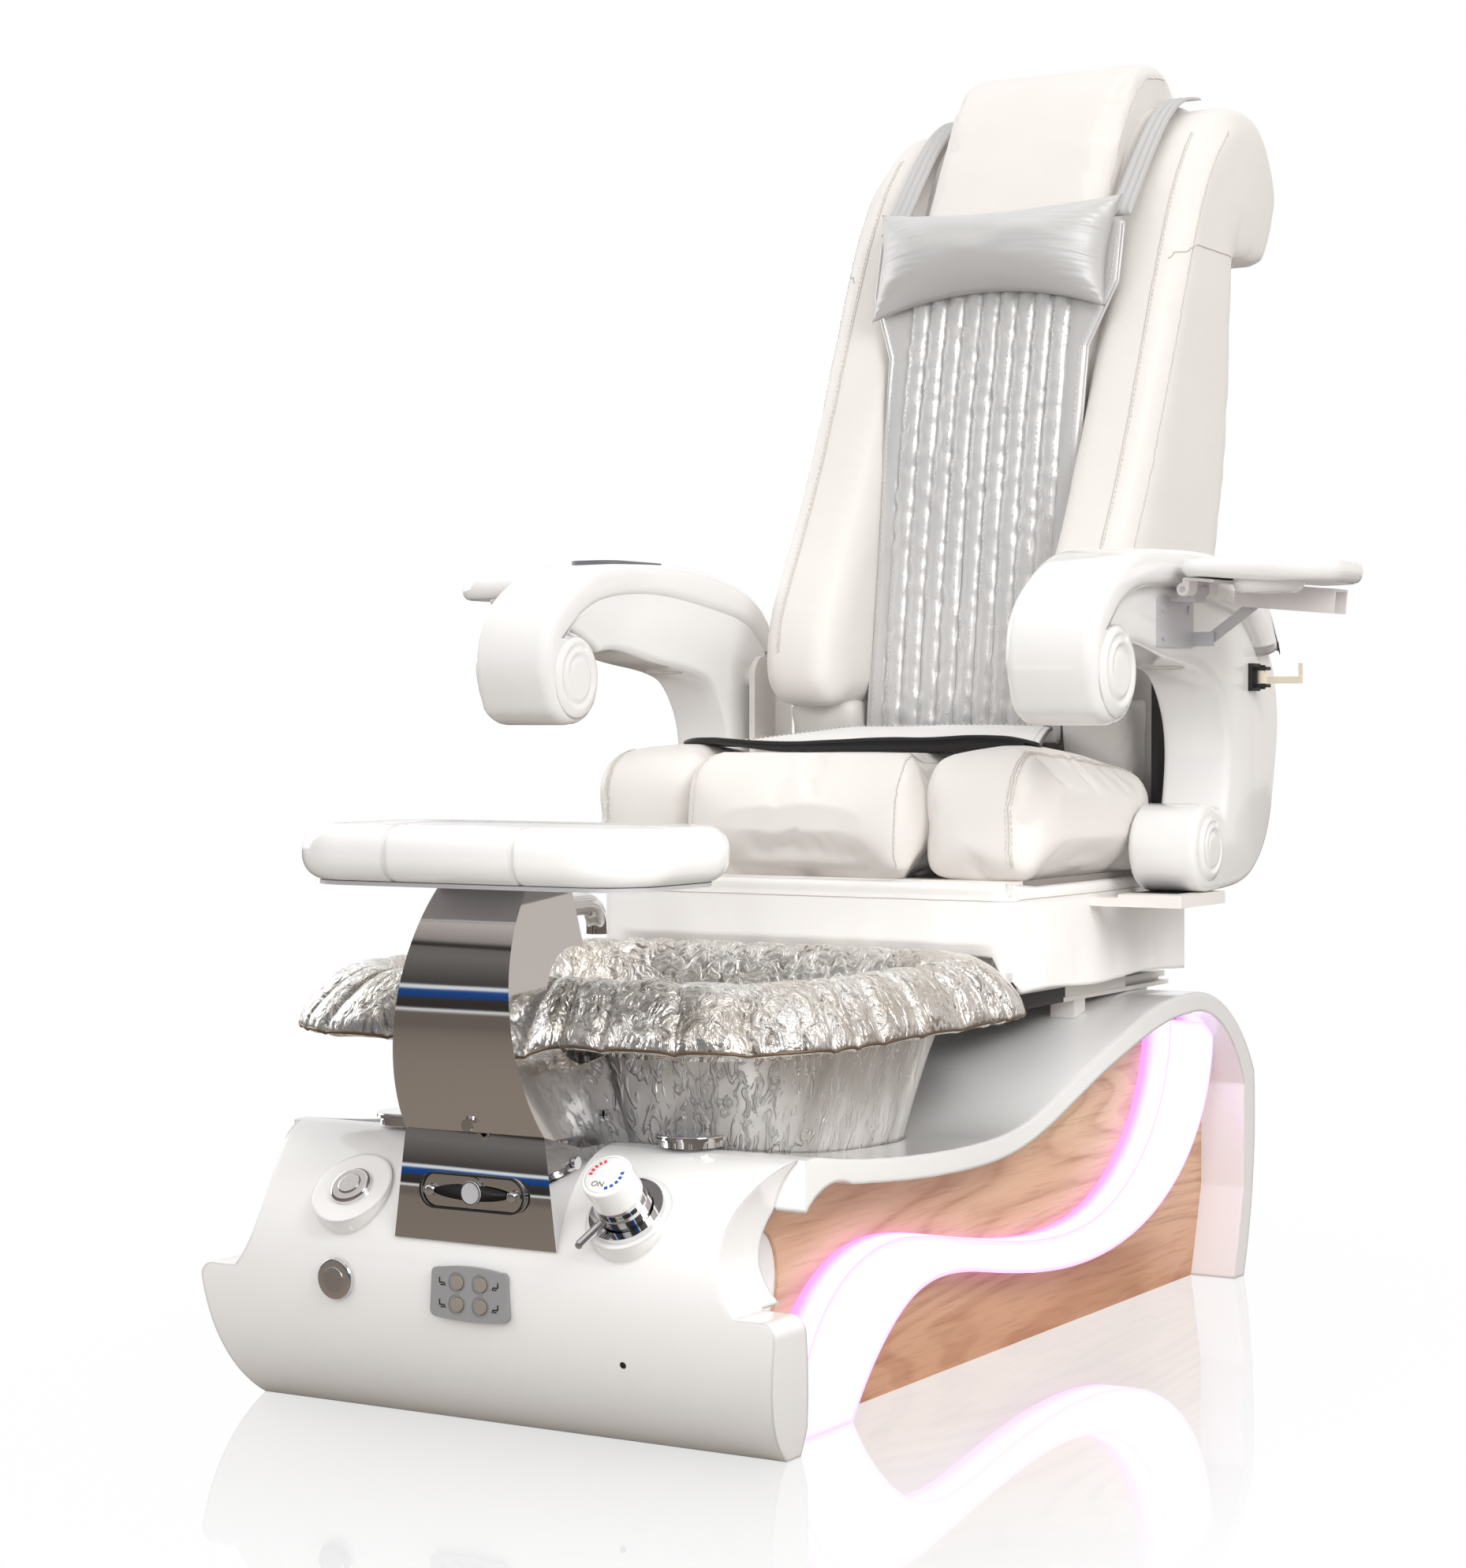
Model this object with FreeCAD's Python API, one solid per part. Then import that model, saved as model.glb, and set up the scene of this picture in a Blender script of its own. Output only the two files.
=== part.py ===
"""Pedicure spa chair: a base with a foot bowl, and a sliding, reclining seat.

Millimetres. +Z is up, X = 0 is the centre plane, the front faces -Y, and the
origin is the middle of the footprint on the floor.
"""
import FreeCAD
import Part
import os
from math import acos, atan2, cos, degrees, hypot, pi, radians, sin, sqrt

V = FreeCAD.Vector
X_AXIS = V(1, 0, 0)
Y_AXIS = V(0, 1, 0)
Z_AXIS = V(0, 0, 1)

# Clearances
RUNNING = 0.05          # radial play of a shaft in its bore
SLIDE_GAP = 0.4         # play of a sliding or pushed piece
SOFT_GAP = 0.4          # air between a soft piece and a neighbour that moves
SEAT_GAP = 0.2          # air between a panel and its recess

# Base shell
BASE_FRONT_Y = -632.0   # foremost line of the apron
BASE_REAR_Y = 607.0
FOOT_INSET = 67.0       # the apron's foot lies this far behind its foremost line
HEEL_INSET = 32.0
APRON_Z = 118.0         # height of the foremost line
BROW_Z = 272.0          # deck height behind the apron
BROW_DEPTH = 132.0      # from the foremost line back to the deck
DECK_DIP = 26.0         # the deck drops this much beside the bowl
DECK_REAR_Z = 359.0
DECK_RISE_Y = -60.0     # where the deck starts to climb
DECK_TOP_Y = 400.0      # where it has reached its rear height
SHELL_WALL = 8.0
RAIL_HALF_SPAN = 205.0  # the slide rails set the width of the base and of the seat
PANEL_INSET = 38.0      # from a rail's middle out to the wood panel
PANEL_HALF_WIDTH = RAIL_HALF_SPAN + PANEL_INSET
PANEL_THICK = 8.0
RIM_OVERHANG = 57.0
RIM_HALF_WIDTH = PANEL_HALF_WIDTH + RIM_OVERHANG
RIM_HEIGHT = 24.0
REAR_FLANGE = 30.0      # thickness of the rear wall that stands past the panels
BUMPER_OVERHANG = 87.0
BUMPER_HALF_WIDTH = PANEL_HALF_WIDTH + BUMPER_OVERHANG
BUMPER_TUCK = 26.0
BUMPER_FOOT_HALF_WIDTH = BUMPER_HALF_WIDTH - BUMPER_TUCK
BUMPER_Z = 140.0
BUMPER_DEPTH = 56.0
WAIST_FLARE = 22.0
WAIST_HALF_WIDTH = PANEL_HALF_WIDTH + WAIST_FLARE

# Foot bowl
BOWL_Y = -278.0
BOWL_LIP = (318.0, 312.0, 148.0)     # half width, half length, corner radius
BOWL_CREST = (272.0, 262.0, 128.0)
BOWL_FOOT = (200.0, 172.0, 120.0)
BOWL_NECK = (250.0, 226.0, 130.0)
BOWL_LIP_Z = 374.0
BOWL_CREST_Z = 431.0
BOWL_FLOOR_Z = 152.0
BOWL_WALL = 9.0
BOWL_HOLE_GAP = 3.0

# Footrest
REST_Z = 580.0
REST_Y = -562.0
REST_SIZE = (412.0, 225.0, 54.0)
REST_ROUND = 72.0
REST_PLATE = 4.0
POST_TOP_WIDTH = 102.0
POST_FOLD_WIDTH = 160.0
POST_FOLD_Z = 290.0
POST_SHEET = 3.0
BRACKET_FOOT_Z = 184.0

# Controls
VALVE_X = 160.0
VALVE_Y = -605.0
VALVE_Z = 219.0
VALVE_TILT = 47.0       # degrees that the valve and jet button look up
VALVE_KNOB_R = 25.0
VALVE_FLANGE_R = 37.0
LIGHT_BUTTON_Z = 138.0
PANEL_Z = 137.0
PANEL_SIZE = (88.0, 47.0, 5.0)
KEY_PITCH = (27.0, 21.0)
KEY_R = 7.0
DECK_KNOB = (165.0, -505.0)
DECK_KNOB_R = 34.0

# Seat carriage
RAIL_HEIGHT = 16.0
RAIL_LENGTH = 470.0
SEAT_TRAVEL = 110.0
CARRIAGE_FRONT_Y = -4.0
CARRIAGE_DEPTH = 492.0
SKIRT_OVERHANG = 57.0
SKIRT_HALF_WIDTH = RAIL_HALF_SPAN + SKIRT_OVERHANG
SKIRT_RISE = 141.0
SKIRT_TOP_Z = DECK_REAR_Z + SKIRT_RISE
SKIRT_THICK = 3.0
SKIRT_BOWL_GAP = 6.0
SEAT_OVERHANG = 19.0
SEAT_HALF_WIDTH = SKIRT_HALF_WIDTH + SEAT_OVERHANG
SEAT_CENTRE_HALF_WIDTH = 146.0
PAN_PROUD = 6.0         # the seat pan's top above the skirt
SEAT_BOTTOM_Z = SKIRT_TOP_Z + PAN_PROUD
SEAT_THICK = 134.0
SEAT_TOP_Z = SEAT_BOTTOM_Z + SEAT_THICK
SEAT_REAR_ROOM = 147.0  # carriage behind the cushions
SEAT_DEPTH = CARRIAGE_DEPTH - SEAT_REAR_ROOM

# Backrest
PIVOT_INSET = 18.0
BACK_PIVOT_Y = CARRIAGE_FRONT_Y + CARRIAGE_DEPTH - PIVOT_INSET
PIVOT_RISE = 94.0
BACK_PIVOT_Z = SEAT_BOTTOM_Z + PIVOT_RISE
BACK_INSET = 41.0
BACK_HALF_WIDTH = SEAT_HALF_WIDTH - BACK_INSET
BACK_DROP = 40.0        # the shell's foot below the pivot
HEAD_HALF_WIDTH = 128.0

# Arms
ARM_GAP = 7.0
ARM_INNER_X = SEAT_HALF_WIDTH + ARM_GAP
ARM_BODY_WIDTH = 82.0
ARM_CAP_WIDTH = 106.0
ARM_RISE = 226.0
ARM_TOP_Z = SEAT_TOP_Z + ARM_RISE
HUB_AHEAD = 85.0        # the arm's pivot ahead of the backrest's
ARM_HUB_Y = BACK_PIVOT_Y - HUB_AHEAD
HUB_DROP = 131.0
ARM_HUB_Z = ARM_TOP_Z - HUB_DROP
SCROLL_AHEAD = 391.0
ARM_SCROLL_Y = ARM_HUB_Y - SCROLL_AHEAD
SCROLL_DROP = 138.0
ARM_SCROLL_Z = ARM_TOP_Z - SCROLL_DROP
LOWER_AHEAD = 100.0
ARM_LOWER_Y = ARM_HUB_Y - LOWER_AHEAD
LOWER_DROP = 200.0
ARM_LOWER_Z = ARM_HUB_Z - LOWER_DROP
ARM_LOWER_R = 50.0

# Trays
TRAY_LENGTH = 175.0
TRAY_REAR_AHEAD = 100.0
TRAY_Y = (ARM_HUB_Y - TRAY_REAR_AHEAD - TRAY_LENGTH, ARM_HUB_Y - TRAY_REAR_AHEAD)
TRAY_WIDTH = 170.0
TRAY_DROP = 11.0
TRAY_TOP_Z = ARM_TOP_Z - TRAY_DROP
TRAY_THICK = 20.0
TRAY_HINGE_DROP = 33.0
CUP_R = 42.5
CUP_DEPTH = 45.0

PARTS = {}


def keep(name, shape):
    """Store one named piece."""
    PARTS[name] = shape
    return shape


def mirrored(shape):
    """The same piece on the other side of the centre plane."""
    return shape.mirror(V(0, 0, 0), X_AXIS)


class Outline:
    """A closed outline in one plane, made of lines, arcs and smooth curves."""

    def __init__(self, place, *start):
        self.place = place
        self.first = start
        self.last = start
        self.edges = []

    def line(self, *end):
        self.edges.append(Part.LineSegment(self.place(*self.last), self.place(*end)).toShape())
        self.last = end
        return self

    def arc(self, middle, end):
        self.edges.append(Part.Arc(self.place(*self.last), self.place(*middle), self.place(*end)).toShape())
        self.last = end
        return self

    def curve(self, *points):
        spline = Part.BSplineCurve()
        spline.interpolate([self.place(*p) for p in (self.last,) + points])
        self.edges.append(spline.toShape())
        self.last = points[-1]
        return self

    def wire(self):
        if hypot(self.last[0] - self.first[0], self.last[1] - self.first[1]) > 1e-6:
            self.line(*self.first)
        return Part.Wire(self.edges)

    def face(self):
        return Part.Face(self.wire())


def side(x):
    return lambda y, z: V(x, y, z)


def plan(z):
    return lambda x, y: V(x, y, z)


def front(y):
    return lambda x, z: V(x, y, z)


def behind_seat(x):
    """Side plane of the backrest, measured from its pivot."""
    return lambda y, z: V(x, BACK_PIVOT_Y + y, BACK_PIVOT_Z + z)


def from_hub(x):
    """Side plane of an arm, measured from its pivot."""
    return lambda y, z: V(x, ARM_HUB_Y + y, ARM_HUB_Z + z)


def across(outline, width):
    """Extrude a side outline along +X."""
    return outline.face().extrude(V(width, 0, 0))


def block(x0, x1, y0, y1, z0, z1):
    return Part.makeBox(x1 - x0, y1 - y0, z1 - z0, V(x0, y0, z0))


def rod(start, direction, radius, length):
    return Part.makeCylinder(radius, length, start, direction)


def tube(start, direction, outer, inner, length):
    return rod(start, direction, outer, length).cut(rod(start, direction, inner, length))


def fuse(first, *others):
    return first.fuse(list(others)).removeSplitter()


def rounded_rectangle(place, half_u, half_v, radius, centre=(0.0, 0.0)):
    """A rounded rectangle's wire, starting on its right side."""
    u0, v0 = centre
    k = radius * (1 - sqrt(0.5))
    out = Outline(place, u0 + half_u, v0 - half_v + radius)
    out.line(u0 + half_u, v0 + half_v - radius)
    out.arc((u0 + half_u - k, v0 + half_v - k), (u0 + half_u - radius, v0 + half_v))
    out.line(u0 - half_u + radius, v0 + half_v)
    out.arc((u0 - half_u + k, v0 + half_v - k), (u0 - half_u, v0 + half_v - radius))
    out.line(u0 - half_u, v0 - half_v + radius)
    out.arc((u0 - half_u + k, v0 - half_v + k), (u0 - half_u + radius, v0 - half_v))
    out.line(u0 + half_u - radius, v0 - half_v)
    out.arc((u0 + half_u - k, v0 - half_v + k), (u0 + half_u, v0 - half_v + radius))
    return out.wire()


def edges_where(shape, test):
    """Edges whose middle point passes the test."""
    found = []
    for edge in shape.Edges:
        middle = edge.valueAt((edge.FirstParameter + edge.LastParameter) / 2)
        if test(middle, edge):
            found.append(edge)
    return found


# Base


def deck_points(drop=0.0):
    """The deck's side profile behind the brow, front to rear."""
    low = BROW_Z - DECK_DIP
    rise = DECK_REAR_Z - low
    start = BASE_FRONT_Y + BROW_DEPTH
    climb = DECK_TOP_Y - DECK_RISE_Y
    shares = ((0.0, 0.06), (0.23, 0.29), (0.43, 0.55), (0.64, 0.78), (0.84, 0.95), (1.0, 1.0))
    flat = DECK_RISE_Y - start
    dip = ((start + 0.16 * flat, BROW_Z - 0.38 * DECK_DIP), (start + 0.48 * flat, low + 0.15 * DECK_DIP),
           (start + 0.73 * flat, low))
    points = [(start, BROW_Z)] + list(dip)
    points += [(DECK_RISE_Y + s * climb, low + h * rise) for s, h in shares]
    return [(y, z - drop) for y, z in points]


def deck_z(y):
    """Deck height on the centre plane at a given Y."""
    points = deck_points()
    for (y0, z0), (y1, z1) in zip(points, points[1:]):
        if y0 <= y <= y1:
            return z0 + (z1 - z0) * (y - y0) / (y1 - y0)
    return BROW_Z if y < points[0][0] else DECK_REAR_Z


def shell_outline(place):
    """Side view of the whole shell: apron, brow, deck, rear."""
    foot = BASE_FRONT_Y + FOOT_INSET
    deck_start = BASE_FRONT_Y + BROW_DEPTH
    brow = BROW_Z - APRON_Z
    out = Outline(place, foot, 0.0)
    out.curve((BASE_FRONT_Y + 0.3 * FOOT_INSET, 0.42 * APRON_Z), (BASE_FRONT_Y, APRON_Z),
              (BASE_FRONT_Y + 0.045 * BROW_DEPTH, APRON_Z + 0.43 * brow),
              (BASE_FRONT_Y + 0.2 * BROW_DEPTH, APRON_Z + 0.66 * brow),
              (BASE_FRONT_Y + 0.53 * BROW_DEPTH, APRON_Z + 0.91 * brow), (deck_start, BROW_Z))
    out.curve(*deck_points()[1:])
    out.arc((0.5 * (DECK_TOP_Y + BASE_REAR_Y) + 30, DECK_REAR_Z - 36), (BASE_REAR_Y, DECK_REAR_Z - 110))
    out.curve((BASE_REAR_Y - 4, 0.3 * DECK_REAR_Z), (BASE_REAR_Y - HEEL_INSET, 0.0))
    return out


def apron_y(z):
    """Where the apron's face lies on the centre plane at a height."""
    line = Part.makeLine(V(0, BASE_FRONT_Y - 50, z), V(0, BASE_FRONT_Y + BROW_DEPTH, z))
    return shell_outline(side(0)).face().common(line).BoundBox.YMin


def panel_outline(place, grow=0.0):
    """Side view of the opening that the wood panel fills."""
    lip = RIM_HEIGHT - grow
    front_y = BASE_FRONT_Y + 81 - grow
    deck = deck_points(lip)
    out = Outline(place, front_y + 12, 0.0)
    out.line(front_y + 12, BUMPER_Z - 20)
    out.arc((front_y + 2, BUMPER_Z + 12), (front_y, BUMPER_Z + 36))
    out.arc((front_y + 24, BUMPER_Z + 78), (deck[1][0], deck[1][1]))
    out.curve(*deck[2:])
    rear = BASE_REAR_Y - REAR_FLANGE + grow
    out.arc((0.5 * (DECK_TOP_Y + rear) + 32, DECK_REAR_Z - lip - 32), (rear, DECK_REAR_Z - lip - 100))
    out.line(rear, 0.3 * DECK_REAR_Z)
    out.line(rear - HEEL_INSET, 0.0)
    return out


def hourglass(y, depth):
    """Front view of the apron: bumper, waist, then flaring to the deck rim."""
    top = DECK_REAR_Z + 20
    w = WAIST_HALF_WIDTH
    half = Outline(front(y), 0.0, -1.0)
    half.line(BUMPER_FOOT_HALF_WIDTH, -1.0)
    half.curve((BUMPER_HALF_WIDTH - 9, 0.5 * BUMPER_Z), (BUMPER_HALF_WIDTH, BUMPER_Z - 14))
    half.arc((BUMPER_HALF_WIDTH - 4, BUMPER_Z - 4), (BUMPER_HALF_WIDTH - 14, BUMPER_Z))
    half.line(w + 22, BUMPER_Z)
    half.curve((w + 4, BUMPER_Z + 30), (w, 0.5 * (BUMPER_Z + BROW_Z) + 15), (RIM_HALF_WIDTH, BROW_Z + 6))
    half.line(RIM_HALF_WIDTH, top)
    half.line(0.0, top)
    right = half.face().extrude(V(0, depth, 0))
    return right.fuse(mirrored(right)).removeSplitter()


def base_shell():
    """One moulded shell with a bumper, a bowl opening and a recess on each side."""
    body_outline = shell_outline(side(-RIM_HALF_WIDTH))
    body = across(body_outline, 2 * RIM_HALF_WIDTH)
    wide = across(shell_outline(side(-BUMPER_HALF_WIDTH)), 2 * BUMPER_HALF_WIDTH)
    apron_depth = BROW_DEPTH - 22
    apron = wide.common(hourglass(BASE_FRONT_Y - 10, apron_depth + 10))
    behind = block(-400, 400, BASE_FRONT_Y + apron_depth, BASE_REAR_Y + 10, -1, DECK_REAR_Z + 50)
    rest = body.common(behind)
    shell = apron.fuse(rest).removeSplitter()
    # The bumper's ends stop on a line that leans forward with height
    lean = Outline(side(PANEL_HALF_WIDTH), BASE_FRONT_Y + 103, -2.0)
    lean.line(BASE_FRONT_Y + BUMPER_DEPTH, BUMPER_Z - 10)
    lean.line(BASE_FRONT_Y + BUMPER_DEPTH - 2, BUMPER_Z + 1)
    lean.line(BASE_FRONT_Y + 200, BUMPER_Z + 1)
    lean.line(BASE_FRONT_Y + 200, -2.0)
    bumper_end = across(lean, 200)
    pocket = across(panel_outline(side(PANEL_HALF_WIDTH - PANEL_THICK)), 200)
    for cutter in (bumper_end, pocket):
        shell = shell.cut(cutter).cut(mirrored(cutter))
    shell = shell.cut(shell_cavity())
    return shell


def shell_cavity():
    """The hollow under the shell, open to the floor."""
    inner = PANEL_HALF_WIDTH - PANEL_THICK - SHELL_WALL
    gap = SHELL_WALL + 8
    deck = deck_points(SHELL_WALL + 4)
    out = Outline(side(-inner), BASE_FRONT_Y + FOOT_INSET + gap, -1.0)
    out.line(BASE_FRONT_Y + gap + 4, APRON_Z)
    out.line(BASE_FRONT_Y + gap + 30, BROW_Z - 70)
    out.line(deck[1][0], deck[1][1] - 12)
    out.curve(*deck[2:])
    out.line(BASE_REAR_Y - 70, DECK_REAR_Z - 60)
    out.line(BASE_REAR_Y - REAR_FLANGE, DECK_REAR_Z - 130)
    out.line(BASE_REAR_Y - REAR_FLANGE - HEEL_INSET, -1.0)
    return across(out, 2 * inner)


def bowl_section(size, z, grow=0.0):
    half_x, half_y, radius = size
    return rounded_rectangle(plan(z), half_x + grow, half_y + grow, radius + grow, (0.0, BOWL_Y))


def between(a, b, t):
    return tuple(p + (q - p) * t for p, q in zip(a, b))


def bowl_body_size(z):
    """Outer size of the bowl's tapered body at a height."""
    return between(BOWL_FOOT, BOWL_NECK, (z - BOWL_FLOOR_Z) / (BOWL_LIP_Z - BOWL_FLOOR_Z))


def foot_bowl():
    """Tapered bowl with a flared, drooping lip."""
    drop = BOWL_CREST_Z - BOWL_LIP_Z
    body = Part.makeLoft([bowl_section(BOWL_FOOT, BOWL_FLOOR_Z),
                          bowl_section(BOWL_NECK, BOWL_LIP_Z),
                          bowl_section(between(BOWL_NECK, BOWL_CREST, 0.6), BOWL_CREST_Z - 8)], True, False)
    steps = ((0.0, 0.0), (0.4, 0.28), (0.75, 0.62), (1.0, 1.0))
    lip = Part.makeLoft([bowl_section(between(BOWL_LIP, BOWL_CREST, share), BOWL_LIP_Z + rise * drop)
                         for rise, share in steps], True, False)
    under = Part.makeLoft([bowl_section(between(BOWL_LIP, BOWL_CREST, share), BOWL_LIP_Z + rise * drop - BOWL_WALL,
                                        -BOWL_WALL * 0.8)
                           for rise, share in steps], True, False)
    inside_top = between(BOWL_NECK, BOWL_CREST, 0.75)
    inside = Part.makeLoft([bowl_section(BOWL_FOOT, BOWL_FLOOR_Z + BOWL_WALL, -BOWL_WALL),
                            bowl_section(BOWL_NECK, BOWL_LIP_Z, -BOWL_WALL),
                            bowl_section(inside_top, BOWL_CREST_Z + 1, -BOWL_WALL)], True, False)
    bowl = lip.cut(under).fuse(body).cut(inside)
    drain_hole = rod(V(0, BOWL_Y, BOWL_FLOOR_Z - 1), Z_AXIS, DRAIN_R, BOWL_WALL + 2)
    jet_hole = rod(V(0, BOWL_Y + BOWL_FOOT[1] + 30, JET_Z), V(0, -1, 0), JET_R, 60)
    return bowl.cut(drain_hole).cut(jet_hole).removeSplitter()


DRAIN_R = 22.0
JET_R = 30.0
JET_Z = 197.0


def bowl_opening():
    """Cutter for the hole that the bowl drops through."""
    top = BOWL_LIP_Z
    return Part.makeLoft([bowl_section(BOWL_FOOT, BOWL_FLOOR_Z, BOWL_HOLE_GAP),
                          bowl_section(BOWL_NECK, top, BOWL_HOLE_GAP)], True, False)


def wood_panel():
    """Laminated side panel with an oval grip hole."""
    inset = SEAT_GAP
    outer = across(panel_outline(side(PANEL_HALF_WIDTH - PANEL_THICK + inset), -inset), PANEL_THICK - inset)
    floor = block(0, 400, BASE_FRONT_Y, BASE_REAR_Y + 5, -5, 0)
    panel = outer.cut(floor)
    return panel.cut(grip_cutter(0.0))


GRIP = (-508.0, 152.0, 34.0, 48.0)    # y, z and the two half sizes of the oval grip


def grip_cutter(shrink):
    """Oval prism through the panel."""
    y, z, half_y, half_z = GRIP
    ellipse = Part.Ellipse(V(0, 0, 0), half_z - shrink, half_y - shrink)
    face = Part.Face(Part.Wire(ellipse.toShape()))
    face.Placement = FreeCAD.Placement(V(0, 0, 0), FreeCAD.Rotation(V(0, 0, 1), V(1, 0, 0)))
    face = face.copy()
    solid = face.extrude(V(300, 0, 0))
    box = solid.BoundBox
    turn = FreeCAD.Placement(V(0, 0, 0), FreeCAD.Rotation(X_AXIS, 90 if box.YLength > box.ZLength else 0))
    solid.Placement = turn.multiply(solid.Placement)
    solid.translate(V(0, y, z))
    return solid


def grip_insert():
    """White oval cup behind the grip hole."""
    cup = grip_cutter(SEAT_GAP)
    slab = block(PANEL_HALF_WIDTH - PANEL_THICK + SEAT_GAP, PANEL_HALF_WIDTH - 3.5, -700, 0, 0, 400)
    return cup.common(slab)


LED_INNER_X = PANEL_HALF_WIDTH
LED_THICK = 34.0
LED_GAP = 0.0


def led_strip():
    """Glowing S-shaped diffuser that stands proud of the panel."""
    front_y = BASE_FRONT_Y + 126
    rear_top = DECK_REAR_Z - RIM_HEIGHT - 8
    out = Outline(side(LED_INNER_X), front_y, 4.0)
    out.curve((front_y + 31, 84), (front_y + 72, 127), (front_y + 173, 164), (front_y + 311, 154),
              (front_y + 566, 117), (front_y + 736, 135), (front_y + 857, 214), (front_y + 902, rear_top))
    out.line(front_y + 1035, rear_top - 14)
    out.curve((front_y + 1022, 240), (front_y + 964, 165), (front_y + 889, 119), (front_y + 678, 76),
              (front_y + 434, 98), (front_y + 248, 103), (front_y + 173, 59), (front_y + 118, 0.0))
    out.line(front_y + 10, 0.0)
    strip = across(out, LED_THICK)
    return strip.common(across(panel_outline(side(LED_INNER_X), -SEAT_GAP), LED_THICK))


# Floor frame and what hides in the base

FRAME_TUBE = 30.0
FRAME_HALF_WIDTH = RAIL_HALF_SPAN + 15


def frame_tube(x0, x1, y0, y1, z0):
    return block(x0, x1, y0, y1, z0, z0 + FRAME_TUBE)


def base_frame():
    """Welded floor frame with uprights under the slide rails."""
    w = FRAME_HALF_WIDTH
    y0 = BASE_FRONT_Y + FOOT_INSET + 60
    y1 = BASE_REAR_Y - REAR_FLANGE - HEEL_INSET - 30
    pieces = [frame_tube(-w, -w + FRAME_TUBE, y0, y1, 0), frame_tube(w - FRAME_TUBE, w, y0, y1, 0)]
    for y in (y0, FRAME_CROSS_Y, PUMP_Y + 20, PUMP_Y + 100, y1 - FRAME_TUBE):
        pieces.append(frame_tube(-w, w, y, y + FRAME_TUBE, 0))
    for y in UPRIGHT_Y:
        for s in (-1, 1):
            x = s * RAIL_HALF_SPAN
            pieces.append(block(x - 15, x + 15, y, y + FRAME_TUBE, 0, RAIL_Z))
        pieces.append(block(-RAIL_HALF_SPAN, RAIL_HALF_SPAN, y, y + FRAME_TUBE, 120, 120 + FRAME_TUBE))
    # A bearer on each side carries the bowl's floor
    for s in (-1, 1):
        pieces.append(block(s * 90 - 15, s * 90 + 15, y0, FRAME_CROSS_Y, BOWL_FLOOR_Z - FRAME_TUBE, BOWL_FLOOR_Z))
        for y in (y0, FRAME_CROSS_Y - FRAME_TUBE):
            pieces.append(block(s * 90 - 15, s * 90 + 15, y, y + FRAME_TUBE, 0, BOWL_FLOOR_Z))
    return fuse(*pieces)


FRAME_CROSS_Y = -FRAME_TUBE / 2
UPRIGHT_Y = (250.0, 430.0)
RAIL_Z = DECK_REAR_Z + 0.5


def upright_holes():
    """Square holes in the deck for the rail uprights."""
    cuts = []
    for y in UPRIGHT_Y:
        for s in (-1, 1):
            x = s * RAIL_HALF_SPAN
            cuts.append(block(x - 15 - SLIDE_GAP, x + 15 + SLIDE_GAP, y - SLIDE_GAP, y + FRAME_TUBE + SLIDE_GAP,
                              100, DECK_REAR_Z + 20))
    return cuts


PUMP_Y = 60.0


def water_pump():
    """Jet pump: motor, volute and two ports."""
    z = FRAME_TUBE + 60
    motor = rod(V(0, PUMP_Y + 40, z), Y_AXIS, 42, 110)
    volute = rod(V(0, PUMP_Y, z), Y_AXIS, 52, 40)
    outlet = rod(V(0, PUMP_Y + 20, z), Z_AXIS, 16, 96)
    foot = block(-60, 60, PUMP_Y + 10, PUMP_Y + 140, FRAME_TUBE + 0.2, FRAME_TUBE + 6)
    leg = block(-30, 30, PUMP_Y + 20, PUMP_Y + 130, FRAME_TUBE + 3, z - 20)
    return fuse(motor, volute, outlet, foot, leg)


def whirlpool_jet():
    """Jet head seated in the bowl's rear wall."""
    y = BOWL_Y + 0.5 * (BOWL_FOOT[1] + BOWL_NECK[1]) - 22
    body = rod(V(0, y - 10, JET_Z), Y_AXIS, JET_R - SEAT_GAP, 60)
    bore = rod(V(0, y - 11, JET_Z), Y_AXIS, JET_R - 8, 40)
    return body.cut(bore)


TAIL_R = 20.0
TAIL_LENGTH = 72.0
NUT_HEIGHT = 10.0


def drain_fitting():
    """Waste flange in the bowl's floor with a lock nut and a tail pipe under it."""
    top = BOWL_FLOOR_Z + BOWL_WALL
    flange = rod(V(0, BOWL_Y, top), Z_AXIS, DRAIN_R + 9, 3)
    neck = rod(V(0, BOWL_Y, BOWL_FLOOR_Z - NUT_HEIGHT), Z_AXIS, DRAIN_R - SEAT_GAP, BOWL_WALL + NUT_HEIGHT)
    nut = rod(V(0, BOWL_Y, BOWL_FLOOR_Z - SEAT_GAP - NUT_HEIGHT), Z_AXIS, DRAIN_R + 10, NUT_HEIGHT)
    low = BOWL_FLOOR_Z - SEAT_GAP - NUT_HEIGHT - TAIL_LENGTH
    tail = rod(V(0, BOWL_Y, low), Z_AXIS, TAIL_R, TAIL_LENGTH)
    bore = rod(V(0, BOWL_Y, low - 1), Z_AXIS, TAIL_R - 3, top - low + 10)
    cross = block(-DRAIN_R, DRAIN_R, BOWL_Y - 1.5, BOWL_Y + 1.5, top - 2, top + 3)
    other = block(-1.5, 1.5, BOWL_Y - DRAIN_R, BOWL_Y + DRAIN_R, top - 2, top + 3)
    grid = cross.fuse(other).common(rod(V(0, BOWL_Y, top - 2), Z_AXIS, DRAIN_R - 1, 5))
    return flange.fuse([neck, nut, tail]).cut(bore).fuse(grid).removeSplitter()


# Footrest


def post_half_width(z):
    """Half width of the chrome post and bracket at a height."""
    top = REST_Z - REST_SIZE[2] - REST_PLATE
    slope = (POST_FOLD_WIDTH - POST_TOP_WIDTH) / 2 / (top - POST_FOLD_Z)
    return POST_TOP_WIDTH / 2 + (top - z) * slope


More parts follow.
